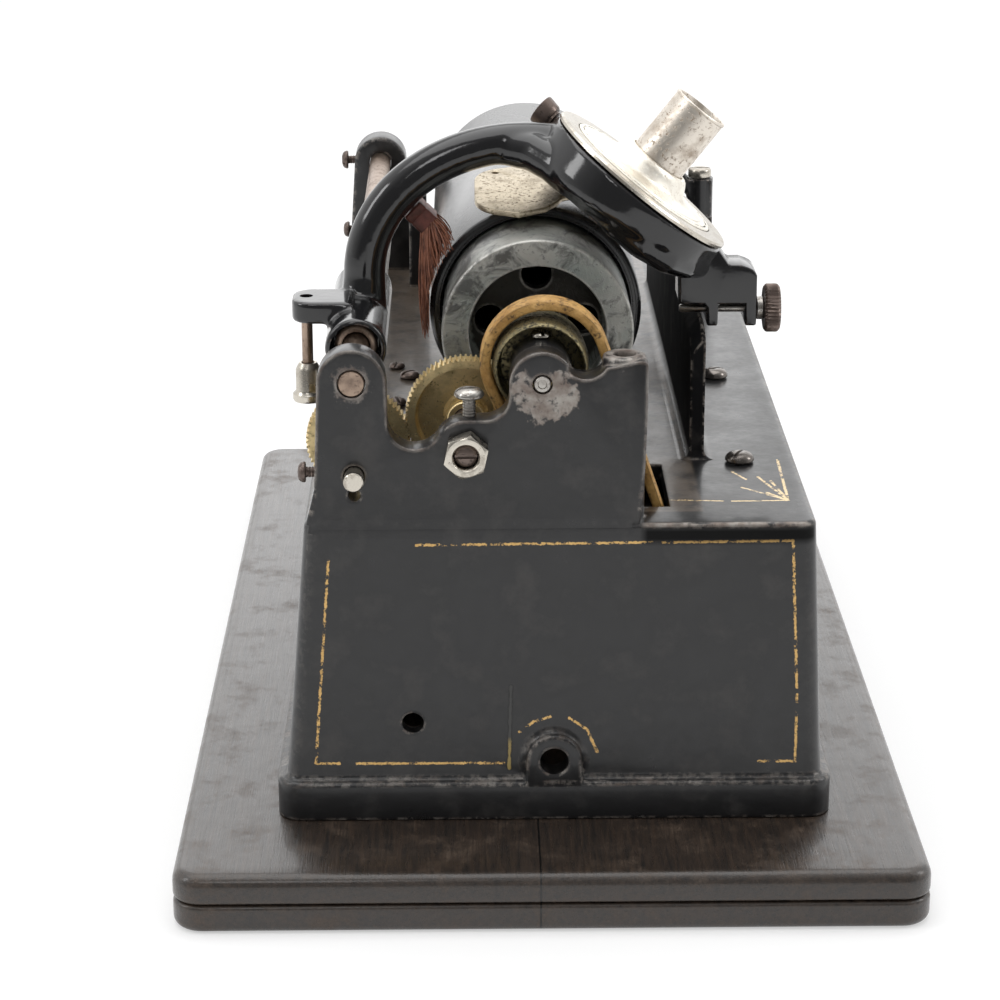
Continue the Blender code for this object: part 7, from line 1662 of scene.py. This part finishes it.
def make_tube(nickel):
    """The upright sound tube, with a bead at its mouth."""
    bead = TUBE_RADIUS + TUBE_BEAD
    profile = [(TUBE_RADIUS + 0.0001, TUBE_LOW), (TUBE_RADIUS, TUBE_HIGH - 0.0008),
               (bead, TUBE_HIGH - 0.0006), (bead, TUBE_HIGH - 0.0002), (TUBE_RADIUS, TUBE_HIGH),
               (TUBE_BORE + 0.0001, TUBE_HIGH), (TUBE_BORE, TUBE_HIGH - 0.0003), (TUBE_BORE, TUBE_LOW)]
    tube = on_head(lathe("sound_tube_looks", profile, ROUND, True))
    finished(tube, "arm", nickel, "nickel", "sound_tube")


def make_clamp_knob(brown):
    """The knob that clamps the sound box, with a coarse knurl and a domed top."""
    tangent = Vector((-math.cos(HEAD_TILT), 0, math.sin(HEAD_TILT)))
    angle = math.radians(20)
    out = (tangent * math.cos(angle) + ACROSS * math.sin(angle)).normalized()
    seat = HEAD_CENTRE - HEAD_NORMAL * RING_DEPTH * 0.32 + out * RING_RADIUS
    stem = [(0.0014, -0.0024), (0.0014, 0.0005), (0.0026, 0.0008), (0.0026, 0.0018)]
    levels = [(0.0016, 0.80), (0.0021, 0.88), (0.0034, 0.93), (0.0046, 0.98), (0.0052, 1.0), (0.0057, 1.0),
              (0.0058, 0.96)]
    knob = lofted("knob", star_rings(0.0042, 0.00008, 30, levels))
    knob = less(knob, lathe("knob_hollow", [(0.0010, 0.0044), (0.0028, 0.0046), (0.0036, 0.0062)], MEDIUM))
    knob = joined("clamp_knob_looks", [knob, lathe("knob_stem", stem, SMALL)])
    finished(put(knob, toward(out, seat)), "clamp_knob", brown, "brown_steel", "reproducer_clamp_knob")


def make_leaf(nickel):
    """The bare weight under the sound box: a rounded plate that narrows to a hinged neck."""
    right, half, neck = LEAF_RIGHT, LEAF_HALF, LEAF_NECK
    end = right + LEAF_RUN
    corner_x, corner_y = LEAF_CORNER - LEAF_LEFT, half - LEAF_CORNER_INSET
    edge = [(0.0002, half), (right * 0.62, half * 0.78), (right * 0.90, half * 0.52), (right, neck),
            (right + LEAF_RUN * 0.5, neck * 0.66), (end, LEAF_NECK_END)]
    outline = arc((corner_x, corner_y), LEAF_CORNER, 100, 180, 9)
    outline += arc((corner_x, -corner_y), LEAF_CORNER, 180, 260, 9)
    outline += [(x, -y) for x, y in edge] + edge[::-1]
    plate = [[(x, y, z) for x, y in outline] for z in (-LEAF_HALF_THICK, LEAF_HALF_THICK)]
    leaf = lofted("weight_leaf_looks", plate)
    leaf = less(leaf, down_post("leaf_hole", 0.0009, -0.0030, 0.0030, -LEAF_LEFT * 0.50, half * 0.70))
    leaf = eased(leaf, 0.00035, 3, 40)
    eye = on_axis(lathe("eye", turned_bar(0.0021, -0.0050, 0.0050, 0.0004), SMALL), end, 0.0004)
    pin = on_axis(lathe("pin", [(0.0009, -0.0218), (0.0009, 0.0218)], SMALL), end, 0.0004)
    leaf = joined("weight_leaf_looks", [leaf, eye, pin])
    put(leaf, Matrix.Translation(LEAF_PLACE) @ Matrix.Rotation(LEAF_LEAN, 4, "X"))
    finished(leaf, "weight", nickel, "nickel", "weight_leaf")


def brush_place():
    """The brush's own frame: +Z down its ferrule, from the top."""
    down = (FERRULE_FOOT - FERRULE_TOP).normalized()
    wide = (ACROSS - down * down.y).normalized()
    return Matrix.Translation(FERRULE_TOP) @ Matrix((wide.cross(down), wide, down)).transposed().to_4x4()


def make_ferrule(finish):
    """The small red-brown ferrule, with its stem."""
    length = (FERRULE_FOOT - FERRULE_TOP).length
    plan = rounded_plan(-0.0031, 0.0031, -0.0045, 0.0045, 0.0009, 5)
    levels = [(0.0, 0.90), (0.0005, 1.0), (0.0022, 1.0), (0.0026, 0.95), (0.0030, 1.0), (length, 1.0)]
    ferrule = lofted("ferrule", [[(x * s, y * s, z) for x, y in plan] for z, s in levels])
    stem = lathe("stem", [(0.0012, -0.0022), (0.0012, 0.0010)], SMALL)
    ferrule = put(joined("brush_ferrule_looks", [ferrule, stem]), brush_place())
    finished(ferrule, "arm", finish, "red_brown_ferrule", "brush_ferrule")


def one_strand():
    """One bristle of unit length, bowed a little and pointed."""
    rings = []
    for along, radius, bow in ((0, 0.00020, 0), (0.25, 0.00021, 0.030), (0.5, 0.00020, 0.045),
                               (0.75, 0.00016, 0.034), (1, 0.00008, 0)):
        rings.append([(radius * math.cos(angle), bow * 0.02 + radius * math.sin(angle), along)
                      for angle in (0, math.pi / 2, math.pi, 3 * math.pi / 2)])
    return lofted("strand", rings)


def make_bristles(finish):
    """A fan of bristles that sweeps the wax: one strand, copied and aimed."""
    strand = one_strand()
    length = (FERRULE_FOOT - FERRULE_TOP).length
    frame_turn = brush_place()
    columns = STRANDS // STRAND_ROWS
    random.seed(7)
    strands = []
    for index in range(STRANDS):
        share = index % STRAND_ROWS / (STRAND_ROWS - 1)
        deep = (index // STRAND_ROWS / (columns - 1) - 0.5) * STRAND_WIDTH
        root = frame_turn @ Vector(((share - 0.5) * STRAND_SPREAD, deep, length - 0.0008))
        sweep = (STRAND_END_DEG - STRAND_START_DEG) * (0.08 + 0.88 * share)
        angle = math.radians(STRAND_START_DEG + sweep + random.uniform(-3.2, 3.2))
        reach = random.uniform(*STRAND_REACHES)
        side = HEAD_CENTRE.y + deep * STRAND_FAN + random.uniform(-0.0012, 0.0012)
        run = Vector((reach * math.cos(angle), side, reach * math.sin(angle))) - root
        copy = bpy.data.objects.new("strand_copy", strand.data.copy())
        bpy.context.collection.objects.link(copy)
        spin = Matrix.Rotation(random.uniform(0, 2 * math.pi), 4, "Z")
        copy.data.transform(toward(run.normalized(), root) @ spin @ Matrix.Diagonal((1, 1, run.length, 1)))
        strands.append(copy)
    bpy.data.objects.remove(strand)
    brush = joined("brush_bristles_looks", strands)
    finished(brush, "arm", finish, "brown_bristle", "brush_bristles", smooth=80)


def make_gate(japan, steel):
    """The far gate with its boss and hub, and the centre pin that it carries."""
    outline = arc((GATE_LEFT + GATE_TIP_RADIUS, 0), GATE_TIP_RADIUS, 90, 270, 12)
    outline += [(-0.0090, -0.0050), (-0.0060, -0.0060), (0.0060, -0.0060), (0.0090, -0.0050),
                (0.0520, -0.0050), (0.0550, -0.0070), (0.0560, -0.0100), (0.0560, -0.0150),
                (0.0640, -0.0150), (0.0640, -0.0024), (0.0560, -0.0024), (0.0520, 0.0040),
                (0.0480, 0.0050), (0.0090, 0.0050), (0.0060, 0.0060), (-0.0060, 0.0060), (-0.0090, 0.0050)]
    gate = eased(slab("end_gate_looks", outline, GATE_NEAR, GATE_FAR), 0.0008)
    boss = on_axis(lathe("boss", turned_bar(0.0075, GATE_NEAR - 0.0020, GATE_FAR + 0.0020, 0.0007), MEDIUM))
    hub = down_post("hub", HINGE_RADIUS, -0.0157, -0.0023, HINGE_X, HINGE_Y, MEDIUM)
    gate = less(plus(gate, boss, hub), hole(0.0025, GATE_NEAR - 0.0040, GATE_FAR + 0.0040, 0, 0),
                down_post("hinge_bore", 0.0023, -0.0180, -0.0003, HINGE_X, HINGE_Y))
    finished(gate, "gate", japan, "black_japan", "end_gate", smooth=32)
    profile = [(0.0005, 0.2490), (0.0022, 0.2520), (0.0022, 0.2660), (0.0033, 0.2660), (0.0036, 0.2663),
               (0.0036, 0.2675), (0.0033, 0.2678)]
    pin = on_axis(lathe("gate_centre_pin_looks", profile, MEDIUM))
    pin = less(pin, box_piece("pin_slot", (-0.0040, 0.2670, -0.0004), (0.0040, 0.2690, 0.0004)))
    finished(pin, "gate", steel, "steel", "gate_centre_pin")


def make_hinge_cap(nickel):
    """The gate's hinge pin, with its slotted cap."""
    profile = [(0.0020, -0.0270), (0.0020, -0.0020), (0.0037, -0.0020), (0.0039, -0.0017), (0.0039, 0.0002),
               (0.0036, 0.0008), (0.0028, 0.0010)]
    cap = lathe("gate_hinge_pin_looks", profile, MEDIUM)
    cap = less(cap, box_piece("cap_slot", (-0.0045, -0.0005, 0.0000), (0.0045, 0.0005, 0.0020)))
    cap = put(eased(cap, 0.00012, 2, 45), Matrix.Translation((HINGE_X, HINGE_Y, 0)))
    finished(cap, "root", nickel, "nickel", "gate_hinge_pin")


def dress_inside(finishes, greasy_nodes, greasy):
    """Gives the model's own nodes that still show a finish by the slot that each is made of."""
    slots = {entry["node"]: entry["material_slot"] for entry in frame["record"]["subparts"]}
    for node, thing in frame["nodes"].items():
        if thing.hide_render:
            continue
        thing.data.materials.clear()
        thing.data.materials.append(greasy if node in greasy_nodes else finishes[slots[node]])


# Light, floor and camera

def make_stage():
    """A pale floor that keeps the shadow and looks white to the camera."""
    begin()
    bpy.ops.mesh.primitive_plane_add(
        size=FLOOR_SIZE, location=(0, FLOOR_SIZE * FLOOR_SHIFT_SHARE, cad_low.z - FLOOR_GAP))
    floor = started("floor")
    paint = Paint("pale_floor", FLOOR_TONES[0], 0.9)
    paint.set("Base Color", paint.mix(paint.noise(3, 2, 0.5), FLOOR_TONES[0], FLOOR_TONES[1]))
    rays = paint.tree.nodes.new("ShaderNodeLightPath")
    seen = paint.most(*[rays.outputs[f"Is {kind} Ray"] for kind in ("Camera", "Glossy", "Transmission")])
    glow = paint.span(paint.away_from(FLOOR_MIDDLE), GLOW_START, GLOW_END, 0, GLOW_FAR)
    paint.shader.inputs["Emission Color"].default_value = (1, 1, 1, 1)
    paint.set("Emission Strength", paint.product(seen, glow))
    floor.data.materials.append(paint.material)


def make_world():
    """A white room behind and above, and a dimmer one in front, so that black keeps its depth."""
    world = bpy.data.worlds.new("pale_room")
    bpy.context.scene.world = world
    world.use_nodes = True
    tree = world.node_tree
    back = tree.nodes["Background"]
    rays = tree.nodes.new("ShaderNodeLightPath")
    place = tree.nodes.new("ShaderNodeTexCoord")
    parts = tree.nodes.new("ShaderNodeSeparateXYZ")
    tree.links.new(place.outputs["Generated"], parts.inputs[0])
    front = tree.nodes.new("ShaderNodeMapRange")
    tree.links.new(parts.outputs["Y"], front.inputs["Value"])
    for name, value in (("From Min", FRONT_GLOSS_RANGE[0]), ("From Max", FRONT_GLOSS_RANGE[1]),
                        ("To Min", FRONT_GLOSS), ("To Max", 1.0)):
        front.inputs[name].default_value = value
    seen = tree.nodes.new("ShaderNodeMath")
    seen.operation = "MAXIMUM"
    tree.links.new(rays.outputs["Is Camera Ray"], seen.inputs[0])
    tree.links.new(rays.outputs["Is Transmission Ray"], seen.inputs[1])
    either = tree.nodes.new("ShaderNodeMix")
    either.data_type = "FLOAT"
    tree.links.new(rays.outputs["Is Glossy Ray"], either.inputs[0])
    either.inputs[2].default_value = FILL_LEVEL
    tree.links.new(front.outputs["Result"], either.inputs[3])
    level = tree.nodes.new("ShaderNodeMix")
    level.data_type = "FLOAT"
    tree.links.new(seen.outputs[0], level.inputs[0])
    tree.links.new(either.outputs[0], level.inputs[2])
    level.inputs[3].default_value = 1.0
    tree.links.new(level.outputs[0], back.inputs["Strength"])
    back.inputs["Color"].default_value = (1, 1, 1, 1)


def add_softbox(name, place, size, power):
    """A large soft lamp aimed at the machine."""
    begin()
    bpy.ops.object.light_add(type="AREA", location=place)
    lamp = bpy.context.active_object
    lamp.name = name
    lamp.data.shape = "RECTANGLE"
    lamp.data.size, lamp.data.size_y = size
    lamp.data.energy = power
    lamp.rotation_euler = (Vector(LAMP_AIM) - Vector(place)).to_track_quat("-Z", "Y").to_euler()


def make_lamps():
    """A wide box overhead, one behind and smaller ones at the sides and in front, at a plain level."""
    for name, place, size, power in LAMPS:
        add_softbox(name, place, size, power)


def make_camera():
    """The photograph's own view."""
    begin()
    bpy.ops.object.camera_add()
    camera = bpy.context.active_object
    camera.name = "photo_camera"
    camera.data.lens = CAMERA_LENS
    camera.data.sensor_width = SENSOR
    camera.data.clip_start = CLIP_START
    camera.data.dof.use_dof = False
    camera.matrix_world = (Matrix.Translation(DATUM + CAMERA_PLACE) @ Matrix.Rotation(-CAMERA_YAW, 4, "Z")
                           @ Matrix.Rotation(math.pi / 2 - CAMERA_PITCH, 4, "X")
                           @ Matrix.Rotation(CAMERA_ROLL, 4, "Z"))
    bpy.context.scene.camera = camera


def make_inside_finishes():
    """Quiet finishes for what is mostly hidden inside."""
    return {
        "mica": plain_finish("mica", (0.42, 0.37, 0.28), (0.30, 0.25, 0.17), 0.25, 0.0, 500),
        "gasket_rubber": plain_finish("gasket_rubber", (0.035, 0.033, 0.031), (0.060, 0.055, 0.050), 0.75,
                                      0.0, 600),
        "copper_winding": plain_finish("copper_winding", (0.26, 0.10, 0.045), (0.12, 0.045, 0.022), 0.40,
                                       0.6, 900),
        "carbon": plain_finish("carbon", (0.030, 0.030, 0.032), (0.050, 0.050, 0.052), 0.55, 0.0, 900),
        "raw_iron": plain_finish("raw_iron", (0.070, 0.066, 0.062), (0.120, 0.105, 0.092), 0.55, 0.5, 400),
    }


def main():
    """Makes every finish, every piece, the light and the camera."""
    small = make_small_black_finish()
    wood = make_wood_finish()
    brass = make_brass_finish()
    zinc = make_zinc_finish()
    wax = make_wax_finish()
    leather = make_belt_finish()
    bristle = make_bristle_finish()
    nickel = metal("nickel", (0.60, 0.56, 0.49), (0.20, 0.16, 0.12), 0.24, 0.60, 0.5).material
    tube_nickel = metal("tube_nickel", (0.76, 0.70, 0.62), (0.34, 0.26, 0.19), 0.36, 0.55, 0.7).material
    steel = metal("bright_steel", (0.46, 0.44, 0.41), (0.15, 0.12, 0.10), 0.28, 0.55, 0.5).material
    dark = metal("dark_steel", (0.19, 0.17, 0.155), (0.055, 0.048, 0.043), 0.17, 0.60, 0.4, 0.85).material
    brown = metal("brown_steel", (0.17, 0.13, 0.112), (0.060, 0.046, 0.040), 0.30, 0.55, 0.6, 0.7).material
    copper = metal("coppered_steel", (0.38, 0.285, 0.22), (0.14, 0.100, 0.080), 0.30, 0.55, 0.5).material
    greasy = metal("greasy_brass", (0.21, 0.175, 0.090), (0.040, 0.037, 0.026), 0.30, 0.48, 0.8,
                   0.7).material
    ferrule = plain_finish("red_brown_ferrule", (0.145, 0.042, 0.030), (0.060, 0.024, 0.018), 0.45, 0.2)
    finishes = {"black_japan": small, "black_wood": wood, "nickel": nickel, "steel": steel,
                "old_brass": brass, "coppered_steel": copper, "brown_steel": brown, "zinc": zinc,
                "black_wax": wax, "tan_leather": leather, "red_brown_ferrule": ferrule,
                "brown_bristle": bristle, **make_inside_finishes()}
    make_plinth(wood)
    make_casting(make_body_finish())
    make_screws(steel, brown, nickel, dark)
    make_back_rod(copper)
    make_lock_nut(nickel)
    make_stud(brown)
    make_feed_pin(nickel)
    make_gears(brass)
    make_mandrel(zinc)
    make_wax(wax)
    make_pulley(greasy)
    make_shaft(steel)
    make_belt(leather)
    gloss = make_gloss_finish()
    make_arm(gloss)
    make_guide_block(gloss)
    make_bushing(copper)
    make_lift_rod(copper, nickel)
    make_guide_screw(steel, brown)
    make_cup(nickel)
    make_cover(make_cover_finish())
    make_tube(tube_nickel)
    make_clamp_knob(brown)
    make_leaf(make_leaf_finish())
    make_ferrule(ferrule)
    make_bristles(bristle)
    make_gate(small, steel)
    make_hinge_cap(nickel)
    dress_inside(finishes, ("half_nut", "mandrel_pinion"), greasy)
    make_stage()
    make_world()
    make_lamps()
    make_camera()
    bpy.context.scene.view_settings.view_transform = "Standard"


main()
